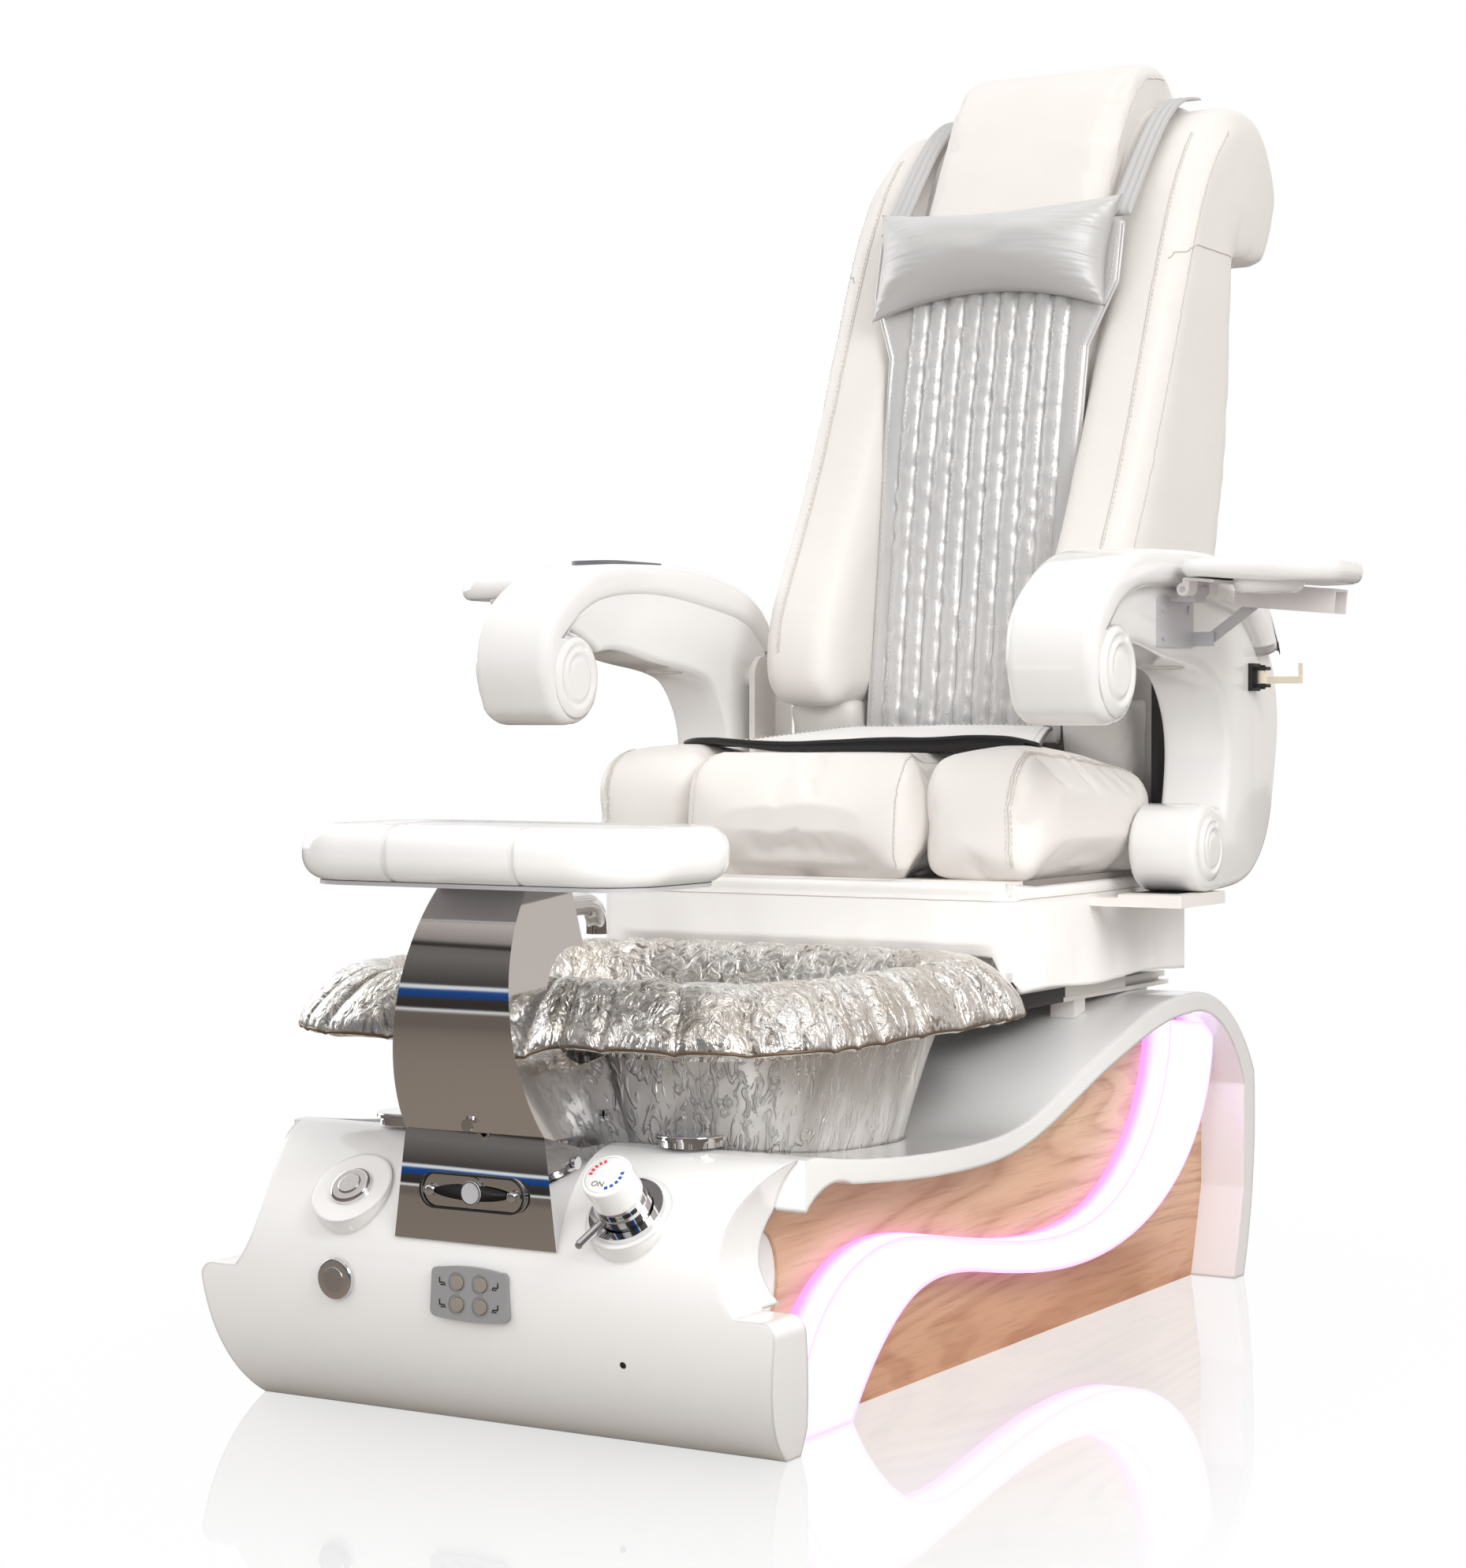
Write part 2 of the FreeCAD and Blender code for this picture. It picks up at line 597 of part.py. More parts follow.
def wedge(z0, z1, grow=0.0):
    """Front-view trapezium that gives the post its taper."""
    w0 = post_half_width(z0) + grow
    w1 = post_half_width(z1) + grow
    out = Outline(front(BASE_FRONT_Y - 200), -w0, z0)
    out.line(w0, z0).line(w1, z1).line(-w1, z1)
    return out.face().extrude(V(0, 500, 0))


POST_FOLD_Y = -629.0
POST_BULGE = 36.0


def post_outline(place):
    """Side view of the post: bulged front, notch round the bowl's lip."""
    top = REST_Z - REST_SIZE[2] - REST_PLATE
    notch_low = BOWL_LIP_Z - 22
    notch_high = BOWL_CREST_Z + 30
    lip_front = BOWL_Y - BOWL_LIP[1]
    out = Outline(place, POST_FOLD_Y, POST_FOLD_Z)
    out.arc((POST_FOLD_Y - POST_BULGE, POST_FOLD_Z + 0.49 * (top - POST_FOLD_Z)), (POST_FOLD_Y + 15, top))
    out.line(REST_Y + 22, top)
    out.line(REST_Y + 33, notch_high)
    out.arc((lip_front - 12, 0.5 * (notch_low + notch_high)), (REST_Y + 12, notch_low))
    out.line(REST_Y + 48, notch_low + 4)
    out.line(POST_REAR_Y, deck_z(POST_REAR_Y) + 4)
    out.line(POST_FOLD_Y + 60, deck_z(POST_REAR_Y) + 4)
    return out


POST_REAR_Y = -486.0


def footrest_post():
    """Chromed sheet-metal post, open at the rear."""
    whole = across(post_outline(side(-150)), 300)
    top = REST_Z - REST_SIZE[2] - REST_PLATE
    skin = whole.common(wedge(200, top + 20))
    hollow_outline = Outline(side(-150), POST_FOLD_Y + POST_SHEET, 250.0)
    hollow_outline.line(POST_FOLD_Y + POST_SHEET, POST_FOLD_Z)
    hollow_outline.arc((POST_FOLD_Y - POST_BULGE + POST_SHEET, POST_FOLD_Z + 0.49 * (top - POST_FOLD_Z)),
                       (POST_FOLD_Y + 15 + POST_SHEET, top - POST_SHEET))
    hollow_outline.line(-380.0, top - POST_SHEET)
    hollow_outline.line(-380.0, 250.0)
    hollow = across(hollow_outline, 300).common(wedge(200, top + 20, -POST_SHEET))
    return skin.cut(hollow)


def footrest_bracket():
    """Lower chrome bracket that follows the brow and carries the post."""
    top = POST_FOLD_Z
    out = Outline(side(-150), POST_FOLD_Y, BRACKET_FOOT_Z)
    out.line(POST_FOLD_Y, top - SEAT_GAP)
    out.line(POST_FOLD_Y + 60, deck_z(POST_REAR_Y) + 3.8)
    out.line(POST_REAR_Y, deck_z(POST_REAR_Y) + 3.8)
    out.line(POST_REAR_Y, deck_z(POST_REAR_Y) - 30)
    out.line(POST_FOLD_Y + 90, BRACKET_FOOT_Z)
    whole = across(out, 300).common(wedge(150, top + 10))
    inner = Outline(side(-150), POST_FOLD_Y + POST_SHEET, BRACKET_FOOT_Z - 10)
    inner.line(POST_FOLD_Y + POST_SHEET, top - 2 * POST_SHEET)
    inner.line(POST_FOLD_Y + 60, deck_z(POST_REAR_Y) + 4 - POST_SHEET)
    inner.line(POST_REAR_Y + 10, deck_z(POST_REAR_Y) + 4 - POST_SHEET)
    inner.line(POST_REAR_Y + 10, BRACKET_FOOT_Z - 10)
    hollow = across(inner, 300).common(wedge(150, top + 10, -POST_SHEET))
    under = across(shell_outline(side(-150)), 300)
    under.translate(V(0, -SEAT_GAP, SEAT_GAP))
    pipe = rod(V(0, SPOUT_FOOT_Y, 150), Z_AXIS, SPOUT_FOOT_R + SEAT_GAP, 300)
    return whole.cut(hollow).cut(under).cut(pipe)


def footrest_plate():
    """Steel plate between the post and the pad."""
    z = REST_Z - REST_SIZE[2] - REST_PLATE
    wire = rounded_rectangle(plan(z), REST_SIZE[0] / 2 - 18, REST_SIZE[1] / 2 - 18, REST_ROUND - 20, (0.0, REST_Y))
    return Part.Face(wire).extrude(V(0, 0, REST_PLATE))


def footrest_pad():
    """Moulded pad with a rounded edge, a shallow dish and two grooves."""
    width, length, height = REST_SIZE
    z0 = REST_Z - height
    wire = rounded_rectangle(plan(z0), width / 2, length / 2, REST_ROUND, (0.0, REST_Y))
    pad = Part.Face(wire).extrude(V(0, 0, height))
    rim = [e for e in pad.Edges if abs(e.BoundBox.ZLength) < 1e-6]
    pad = pad.makeFillet(height * 0.44, rim)
    dish_r = 900.0
    dish = rod(V(-width, REST_Y, REST_Z + dish_r - 6), X_AXIS, dish_r, 2 * width)
    inside = Part.Face(rounded_rectangle(plan(z0), width / 2 - 30, length / 2 - 30, REST_ROUND - 28, (0.0, REST_Y)))
    pad = pad.cut(dish.common(inside.extrude(V(0, 0, 100))))
    for s in (-1, 1):
        groove = rod(V(s * width * 0.177, REST_Y - length, z0 + 3), Y_AXIS, 3.0, 10)
        ring = grooved_ring(s * width * 0.177)
        pad = pad.cut(ring)
    return pad


def grooved_ring(x):
    """Cutter for one finger groove across the pad's front edge."""
    width, length, height = REST_SIZE
    z0 = REST_Z - height
    edge = REST_Y - length / 2
    round_r = height * 0.44
    path = Outline(side(x), edge + 60, REST_Z)
    path.line(edge + round_r, REST_Z)
    k = round_r * (1 - sqrt(0.5))
    path.arc((edge + k, REST_Z - k), (edge, REST_Z - round_r))
    path.line(edge, z0 + round_r)
    path.arc((edge + k, z0 + k), (edge + round_r, z0))
    path.line(edge + 40, z0)
    wire = Part.Wire(path.edges)
    circle = Part.Wire(Part.makeCircle(2.6, V(x, edge + 60, REST_Z), Y_AXIS))
    return wire.makePipeShell([circle], True, False)


# Controls


def tilted(shape, x):
    """Place a piece built on the origin, looking along +Z, on the sloping brow."""
    moved = shape.copy()
    moved.rotate(V(0, 0, 0), X_AXIS, 90 - VALVE_TILT)
    moved.translate(V(x, VALVE_Y, VALVE_Z))
    return moved


def boss(x):
    """Round pad on the brow that gives a tilted control a flat seat."""
    return tilted(rod(V(0, 0, -30), Z_AXIS, VALVE_FLANGE_R + 6, 36), x)


def valve_flange():
    ring = rod(V(0, 0, 6), Z_AXIS, VALVE_FLANGE_R, 6)
    stem = rod(V(0, 0, -24), Z_AXIS, 15, 30)
    collar = rod(V(0, 0, 12), Z_AXIS, VALVE_KNOB_R - 1, 20)
    shaft = rod(V(0, 0, 32), Z_AXIS, 6, 20)
    lever_seat = tube(V(0, 0, 14), Z_AXIS, VALVE_KNOB_R + 1, VALVE_KNOB_R - 4, 12)
    body = fuse(ring, stem, collar, shaft).cut(lever_seat)
    return body


def valve_knob():
    """Thermostat knob."""
    knob = rod(V(0, 0, 32.5), Z_AXIS, VALVE_KNOB_R, 28)
    bore = rod(V(0, 0, 32), Z_AXIS, 6 + RUNNING, 20 + 2 * RUNNING)
    edge = edges_where(knob, lambda p, e: p.z > 60)
    knob = knob.makeFillet(2.0, edge)
    return knob.cut(bore)


def valve_lever():
    """Flow lever on a ring behind the knob."""
    ring = tube(V(0, 0, 14.4), Z_AXIS, VALVE_KNOB_R + 2, VALVE_KNOB_R - 4 + RUNNING, 11.2)
    arm = rod(V(0, 0, 20), V(-0.45, -1, 0), 4.4, 56)
    arm = arm.cut(rod(V(0, 0, 0), Z_AXIS, VALVE_KNOB_R - 1, 60))
    tip = Part.makeSphere(4.4, V(0, 0, 20) + V(-0.45, -1, 0).normalize() * 56)
    return fuse(ring, arm, tip)


def button_ring(outer, bore, height):
    """Bezel that a push button slides in."""
    ring = rod(V(0, 0, 0), Z_AXIS, outer, height)
    crown = edges_where(ring, lambda p, e: p.z > height - 0.1)
    ring = ring.makeFillet(height * 0.6, crown)
    sleeve = rod(V(0, 0, -26), Z_AXIS, bore + 3, 26)
    hole = rod(V(0, 0, -22), Z_AXIS, bore, 60)
    return ring.fuse(sleeve).cut(hole).removeSplitter()


def push_button(bore, height, proud):
    """Plunger with a rounded face."""
    plunger = rod(V(0, 0, -14), Z_AXIS, bore - RUNNING, 14 + height + proud)
    crown = edges_where(plunger, lambda p, e: p.z > height + proud - 0.1)
    return plunger.makeFillet(1.5, crown)


JET_BUTTON = (21.5, 12.0, 6.0)      # bezel radius, plunger radius, bezel height
LIGHT_BUTTON = (20.5, 12.0, 6.0)


def facing_front(shape, x, y, z):
    """Turn a piece that looks along +Z so that it looks along -Y."""
    moved = shape.copy()
    moved.rotate(V(0, 0, 0), X_AXIS, 90)
    moved.translate(V(x, y, z))
    return moved


def control_panel():
    """Key plate with an arched top, keys in four wells."""
    width, height, thick = PANEL_SIZE
    w = width / 2
    h = height / 2
    out = Outline(plan(0.0), -w + 6, -h)
    out.arc((0.0, -h - 2), (w - 6, -h))
    out.arc((w - 1, -h + 2), (w + 1, -h + 8))
    out.line(w - 1, h - 6)
    out.arc((w - 3, h - 1), (w - 8, h))
    out.arc((0.0, h + 3), (-w + 8, h))
    out.arc((-w + 3, h - 1), (-w + 1, h - 6))
    out.line(-w - 1, -h + 8)
    out.arc((-w + 1, -h + 2), (-w + 6, -h))
    plate = out.face().extrude(V(0, 0, thick))
    back = block(-w + 8, w - 8, -h + 6, h - 6, -12, 0)
    plate = plate.fuse(back).removeSplitter()
    for x, y in key_places():
        plate = plate.cut(rod(V(x, y, -8), Z_AXIS, KEY_R + SLIDE_GAP, 30))
        plate = plate.cut(rod(V(x, y, thick - 1), Z_AXIS, KEY_R + 3, 5))
    return plate


def key_places():
    dx, dy = KEY_PITCH
    return [(-dx / 2, dy / 2), (dx / 2, dy / 2), (-dx / 2, -dy / 2), (dx / 2, -dy / 2)]


def panel_key(x, y):
    """Round key that stands proud of its well."""
    key = rod(V(x, y, -5), Z_AXIS, KEY_R, 5 + PANEL_SIZE[2] + 1.2)
    crown = edges_where(key, lambda p, e: p.z > PANEL_SIZE[2])
    return key.makeFillet(1.0, crown)


def deck_knob(x):
    """Low round control knob with a notched skirt, on a spindle."""
    z = deck_z(DECK_KNOB[1]) + 3
    y = DECK_KNOB[1]
    cap = rod(V(x, y, z + 7), Z_AXIS, DECK_KNOB_R, 5)
    crown = edges_where(cap, lambda p, e: p.z > z + 11.9)
    cap = cap.makeFillet(2.5, crown)
    skirt = rod(V(x, y, z), Z_AXIS, DECK_KNOB_R - 3, 7)
    stem = rod(V(x, y, z - 22), Z_AXIS, 8, 22)
    knob = fuse(cap, skirt, stem)
    for i in range(12):
        a = 2 * pi * i / 12
        notch = rod(V(x + (DECK_KNOB_R - 2) * cos(a), y + (DECK_KNOB_R - 2) * sin(a), z - 1), Z_AXIS, 2.2, 6)
        knob = knob.cut(notch)
    return knob


SPOUT_FOOT_Y = -608.0
SPOUT_FOOT_R = 9.0


def faucet_spout():
    """Spout that leaves the post's open rear and turns down into the bowl."""
    z = 497.0
    y0 = SPOUT_FOOT_Y - 10
    y1 = -440.0
    bend = 25.0
    path = Outline(side(0.0), y0, z)
    path.line(y1, z)
    k = bend * (1 - sqrt(0.5))
    path.arc((y1 + bend - k, z - k), (y1 + bend, z - bend))
    path.line(y1 + bend, z - bend - 6)
    wire = Part.Wire(path.edges)
    outer = wire.makePipeShell([Part.Wire(Part.makeCircle(11.0, V(0, y0, z), Y_AXIS))], True, False)
    inner = wire.makePipeShell([Part.Wire(Part.makeCircle(8.0, V(0, y0, z), Y_AXIS))], True, False)
    foot = rod(V(0, SPOUT_FOOT_Y, BROW_Z - 76), Z_AXIS, SPOUT_FOOT_R, z - BROW_Z + 76)
    return outer.fuse(foot).cut(inner)


def build_base():
    shell = base_shell()
    shell = shell.fuse([boss(VALVE_X), boss(-VALVE_X)]).removeSplitter()
    cavity = shell_cavity()
    shell = shell.cut(cavity)
    shell = shell.cut(bowl_opening())
    for x in (VALVE_X, -VALVE_X):
        shell = shell.cut(tilted(rod(V(0, 0, -60), Z_AXIS, 16 + SEAT_GAP, 90), x))
    light_y = panel_y = min(apron_y(z) for z in (112, 118, 124, 130, 138)) - SEAT_GAP
    shell = shell.cut(facing_front(rod(V(0, 0, -60), Z_AXIS, 16 + SEAT_GAP, 90), -VALVE_X, light_y, LIGHT_BUTTON_Z))
    w, h, t = PANEL_SIZE
    window = block(-w / 2 + 8 - SEAT_GAP, w / 2 - 8 + SEAT_GAP, -60, 60, -h / 2 + 6 - SEAT_GAP, h / 2 - 6 + SEAT_GAP)
    window.translate(V(0, panel_y, PANEL_Z))
    shell = shell.cut(window)
    for s in (-1, 1):
        shell = shell.cut(rod(V(s * DECK_KNOB[0], DECK_KNOB[1], 200), Z_AXIS, 8 + RUNNING, 200))
    shell = shell.cut(rod(V(0, SPOUT_FOOT_Y, 170), Z_AXIS, SPOUT_FOOT_R + SEAT_GAP, 200))
    for hole in upright_holes():
        shell = shell.cut(hole)
    keep("base_shell", shell)
    keep("base_frame", base_frame())
    panel = wood_panel()
    strip = led_strip()
    insert = grip_insert()
    keep("wood_panels", Part.Compound([panel, mirrored(panel)]))
    keep("led_strips", Part.Compound([strip, mirrored(strip)]))
    keep("grip_inserts", Part.Compound([insert, mirrored(insert)]))
    keep("foot_bowl", foot_bowl())
    keep("bowl_fittings", Part.Compound([drain_fitting(), whirlpool_jet()]))
    keep("water_pump", water_pump())
    keep("footrest_bracket", footrest_bracket())
    keep("footrest_post", footrest_post())
    keep("footrest_plate", footrest_plate())
    keep("footrest_pad", footrest_pad())
    keep("faucet_spout", faucet_spout())
    keep("valve_body", tilted(valve_flange(), VALVE_X))
    keep("valve_knob", tilted(valve_knob(), VALVE_X))
    keep("valve_lever", tilted(valve_lever(), VALVE_X))
    raise_by = FreeCAD.Vector(0, 0, 6)
    jet_ring = button_ring(*JET_BUTTON)
    jet_ring.translate(raise_by)
    jet_plunger = push_button(JET_BUTTON[1], JET_BUTTON[2], 1.5)
    jet_plunger.translate(raise_by)
    keep("jet_button", tilted(jet_plunger, -VALVE_X))
    light_ring = facing_front(button_ring(*LIGHT_BUTTON), -VALVE_X, light_y, LIGHT_BUTTON_Z)
    keep("button_rings", Part.Compound([tilted(jet_ring, -VALVE_X), light_ring]))
    keep("light_button", facing_front(push_button(LIGHT_BUTTON[1], LIGHT_BUTTON[2], 1.0), -VALVE_X, light_y,
                                      LIGHT_BUTTON_Z))
    keep("control_panel", facing_front(control_panel(), 0, panel_y, PANEL_Z))
    names = ("seat_forward_key", "recline_key", "seat_back_key", "upright_key")
    for name, (x, y) in zip(names, key_places()):
        keep(name, facing_front(panel_key(x, y), 0, panel_y, PANEL_Z))
    keep("drain_knob", deck_knob(DECK_KNOB[0]))
    keep("diverter_knob", deck_knob(-DECK_KNOB[0]))



# Seat carriage


def rail_profile(x, z, grow=0.0):
    """Front view of a T-shaped rail centred on x, standing on z."""
    h = RAIL_HEIGHT
    out = Outline(front(RAIL_FRONT_Y), x - 20, z)
    out.line(x + 20, z).line(x + 20, z + 5 - grow).line(x + 7 + grow, z + 5 - grow)
    out.line(x + 7 + grow, z + h - 7 - grow).line(x + 15 + grow, z + h - 7 - grow)
    out.line(x + 15 + grow, z + h + grow).line(x - 15 - grow, z + h + grow)
    out.line(x - 15 - grow, z + h - 7 - grow).line(x - 7 - grow, z + h - 7 - grow)
    out.line(x - 7 - grow, z + 5 - grow).line(x - 20, z + 5 - grow)
    return out


RAIL_FRONT_Y = 44.0
RUNNER_LENGTH = 330.0
RUNNER_TOP_Z = RAIL_Z + RAIL_HEIGHT + 8


def slide_rails():
    pieces = []
    for s in (-1, 1):
        rail = rail_profile(s * RAIL_HALF_SPAN, RAIL_Z).face().extrude(V(0, RAIL_LENGTH, 0))
        pieces.append(rail)
    tie = block(-RAIL_HALF_SPAN, RAIL_HALF_SPAN, RAIL_FRONT_Y + RAIL_LENGTH - 24, RAIL_FRONT_Y + RAIL_LENGTH,
                RAIL_Z, RAIL_Z + 5)
    return fuse(pieces[0], pieces[1], tie)


ACTUATOR_Z = RAIL_Z + 48
ACTUATOR_R = 20.0
ROD_R = 8.0
ACTUATOR_FRONT_Y = 280.0
ACTUATOR_LENGTH = 195.0


def slide_actuator():
    """Electric linear actuator's housing on a foot."""
    y = ACTUATOR_FRONT_Y
    barrel = rod(V(0, y, ACTUATOR_Z), Y_AXIS, ACTUATOR_R, ACTUATOR_LENGTH)
    foot = block(-26, 26, DECK_TOP_Y - 40, DECK_TOP_Y + 20, DECK_REAR_Z + 0.2, ACTUATOR_Z)
    motor = rod(V(34, y + 90, ACTUATOR_Z), Y_AXIS, 16, 100)
    link = block(0, 34, y + 92, y + 130, ACTUATOR_Z - 14, ACTUATOR_Z + 14)
    bore = rod(V(0, y - 1, ACTUATOR_Z), Y_AXIS, ROD_R + RUNNING, ACTUATOR_LENGTH - 12)
    return fuse(barrel, foot, motor, link).cut(bore)


def slide_rod():
    """Actuator rod with a cross eye at its front end."""
    y1 = ACTUATOR_FRONT_Y + ACTUATOR_LENGTH - 12 - SEAT_TRAVEL - 4
    y0 = CROSS_BAR_Y + 20
    return rod(V(0, y0, ACTUATOR_Z), Y_AXIS, ROD_R, y1 - y0)


CROSS_BAR_Y = 90.0
PAN_Z = SEAT_BOTTOM_Z - 16
PAN_HALF_WIDTH = SKIRT_HALF_WIDTH - SKIRT_THICK


def carriage_frame():
    """Runners, legs and tray of the moving seat base, with arm brackets."""
    y0 = RAIL_FRONT_Y + 6
    pieces = []
    for s in (-1, 1):
        x = s * RAIL_HALF_SPAN
        pieces.append(block(x - 22, x + 22, y0, y0 + RUNNER_LENGTH, RAIL_Z + 5.5, RUNNER_TOP_Z))
        for y in (y0, y0 + RUNNER_LENGTH - 30):
            pieces.append(block(x - 14, x + 14, y, y + 30, RUNNER_TOP_Z - 2, PAN_Z))
    for y in (CROSS_BAR_Y - 20, y0 + RUNNER_LENGTH - 30):
        pieces.append(block(-RAIL_HALF_SPAN, RAIL_HALF_SPAN, y, y + 30, PAN_Z - 30, PAN_Z))
    # The lug that the actuator's rod pushes
    pieces.append(block(-16, 16, CROSS_BAR_Y - 10, CROSS_BAR_Y + 20, ACTUATOR_Z - 14, PAN_Z))
    stop_z = ARM_LOWER_Z - ARM_LOWER_R - 0.3
    for s in (-1, 1):
        inner = s * (RAIL_HALF_SPAN - 14)
        outer = s * STOP_OUTER_X
        xs = sorted((inner, outer))
        pieces.append(block(xs[0], xs[1], STOP_Y[0], STOP_Y[0] + 24, stop_z - 14, stop_z - 4))
        pieces.append(block(xs[0], xs[1], STOP_Y[1] - 24, STOP_Y[1], stop_z - 14, stop_z - 4))
        pad = sorted((s * (ARM_INNER_X + 8), outer))
        pieces.append(block(pad[0], pad[1], STOP_Y[0], STOP_Y[1], stop_z - 14, stop_z))
        leg = sorted((s * (RAIL_HALF_SPAN - 14), s * (RAIL_HALF_SPAN + 14)))
        for y in (STOP_Y[0], STOP_Y[1] - 24):
            pieces.append(block(leg[0], leg[1], y, y + 24, RUNNER_TOP_Z - 2, PAN_Z))
        # Upright that carries the arm's pivot
        foot = sorted((s * (PAN_HALF_WIDTH - 40), s * BRACKET_X[1]))
        pieces.append(block(foot[0], foot[1], ARM_HUB_Y - 30, ARM_HUB_Y + 30, SEAT_BOTTOM_Z, SEAT_BOTTOM_Z + 6))
        plate = sorted((s * BRACKET_X[0], s * BRACKET_X[1]))
        pieces.append(block(plate[0], plate[1], ARM_HUB_Y - 26, ARM_HUB_Y + 26, SEAT_BOTTOM_Z, ARM_HUB_Z))
        pieces.append(rod(V(s * BRACKET_X[0], ARM_HUB_Y, ARM_HUB_Z), V(s, 0, 0), 26, BRACKET_X[1] - BRACKET_X[0]))
        pieces.append(rod(V(s * BRACKET_X[0], ARM_HUB_Y, ARM_HUB_Z), V(s, 0, 0), ARM_PIN_R, 62))
        # Cheek and pin of the recline hinge
        cheek = sorted((s * (BACK_HALF_WIDTH - 4), s * (BACK_HALF_WIDTH + 4)))
        pieces.append(block(cheek[0], cheek[1], BACK_PIVOT_Y - 24, BACK_PIVOT_Y + 24, SEAT_BOTTOM_Z - 4, BACK_PIVOT_Z))
        pieces.append(rod(V(s * (BACK_HALF_WIDTH - 4), BACK_PIVOT_Y, BACK_PIVOT_Z), V(s, 0, 0), 24, 8))
        pieces.append(rod(V(s * (BACK_HALF_WIDTH - 32), BACK_PIVOT_Y, BACK_PIVOT_Z), V(s, 0, 0), BACK_PIN_R, 36))
    pan = block(-PAN_HALF_WIDTH, PAN_HALF_WIDTH, CARRIAGE_FRONT_Y + SKIRT_THICK,
                CARRIAGE_FRONT_Y + CARRIAGE_DEPTH - SKIRT_THICK, PAN_Z, SEAT_BOTTOM_Z)
    frame = fuse(pan, *pieces)
    for s in (-1, 1):
        slot = rail_profile(s * RAIL_HALF_SPAN, RAIL_Z, SLIDE_GAP).face().extrude(V(0, RAIL_LENGTH + 200, 0))
        slot.translate(V(0, -50, 0))
        frame = frame.cut(slot)
    return frame


STOP_OUTER_X = ARM_INNER_X + 84
STOP_Y = (ARM_LOWER_Y - 85, ARM_LOWER_Y + 45)
BRACKET_X = (ARM_INNER_X - 20, ARM_INNER_X - 12)
ARM_PIN_R = 14.0
BACK_PIN_R = 12.0


def recline_drives():
    """Round gear motors on the outside of the hinge cheeks."""
    pieces = []
    for s in (-1, 1):
        x = s * (BACK_HALF_WIDTH + 4.2)
        can = rod(V(x, BACK_PIVOT_Y, BACK_PIVOT_Z), V(s, 0, 0), 30, 24)
        motor = rod(V(x + s * 12, BACK_PIVOT_Y, BACK_PIVOT_Z - 70), Z_AXIS, 11.5, 70)
        pieces.append(fuse(can, motor))
    return Part.Compound(pieces)


def seat_skirt():
    """Upholstered skirt: four hanging walls with a wavy lower edge."""
    y0 = CARRIAGE_FRONT_Y
    y1 = CARRIAGE_FRONT_Y + CARRIAGE_DEPTH
    w = SKIRT_HALF_WIDTH
    low = RAIL_Z + RAIL_HEIGHT + 9
    walls = block(-w, w, y0, y1, low - 20, SKIRT_TOP_Z)
    inside = block(-w + SKIRT_THICK, w - SKIRT_THICK, y0 + SKIRT_THICK, y1 - SKIRT_THICK, low - 30, SKIRT_TOP_Z + 10)
    walls = walls.cut(inside)
    hem = Outline(side(-w - 10), y0 - 10, low - 40)
    hem.line(y0 - 10, BOWL_CREST_Z + SKIRT_BOWL_GAP)
    hem.line(y0 + SKIRT_THICK + 2, BOWL_CREST_Z + SKIRT_BOWL_GAP)
    hem.line(y0 + SKIRT_THICK + 22, low + 4)
    hem.curve((y0 + 0.3 * CARRIAGE_DEPTH, low - 4), (y0 + 0.5 * CARRIAGE_DEPTH, low + 3),
              (y0 + 0.75 * CARRIAGE_DEPTH, low - 1), (y1 + 10, low + 2))
    hem.line(y1 + 10, low - 40)
    walls = walls.cut(across(hem, 2 * w + 20))
    stop_z = ARM_LOWER_Z - ARM_LOWER_R
    for s in (-1, 1):
        xs = sorted((s * (w - 20), s * (w + 20)))
        walls = walls.cut(block(xs[0], xs[1], STOP_Y[0] - 3, STOP_Y[1] + 3, stop_z - 18, stop_z + 2))
    return walls


def crowned(length, crown, base_z, top_z, x0, x1, y0):
    """Cushion block whose top is crowned across its width, with soft edges."""
    middle = (x0 + x1) / 2
    out = Outline(front(y0), x0, base_z)
    out.line(x0 + 1, top_z - crown)
    out.arc((middle, top_z), (x1 - 1, top_z - crown))
    out.line(x1, base_z)
    return out.face().extrude(V(0, length, 0))


def seat_cushion():
    """Middle seat cushion with a rounded nose."""
    w = SEAT_CENTRE_HALF_WIDTH
    y0 = CARRIAGE_FRONT_Y - 21
    body = crowned(SEAT_DEPTH + 21, 6.0, SEAT_BOTTOM_Z + 0.2, SEAT_TOP_Z, -w, w, y0)
    nose = edges_where(body, lambda p, e: p.y < y0 + 1 and abs(p.x) < 1 and p.z > SEAT_TOP_Z - 30)
    body = body.makeFillet(38.0, nose)
    low = block(-w - 1, w + 1, y0 - 1, CARRIAGE_FRONT_Y - SOFT_GAP, 0, SEAT_BOTTOM_Z - 16)
    return body.cut(low)


def seat_bolster():
    """Side cushion whose top falls towards the outside and the rear."""
    x0 = SEAT_CENTRE_HALF_WIDTH + 0.5
    x1 = SEAT_HALF_WIDTH
    y0 = CARRIAGE_FRONT_Y + 4
    top = SEAT_TOP_Z + 5
    out = Outline(side(x0), y0, SEAT_BOTTOM_Z + 0.2)
    out.line(y0, top - 34)
    out.arc((y0 + 10, top - 10), (y0 + 34, top))
    out.curve((y0 + 0.45 * SEAT_DEPTH, top - 3), (y0 + SEAT_DEPTH - 24, top - 24))
    out.line(y0 + SEAT_DEPTH, SEAT_BOTTOM_Z + 0.2)
    body = across(out, x1 - x0)
    outer = edges_where(body, lambda p, e: abs(p.x - x1) < 1e-3 and p.z > SEAT_BOTTOM_Z + 2 and
                        p.y < y0 + SEAT_DEPTH - 20)
    return body.makeFillet(22.0, outer)


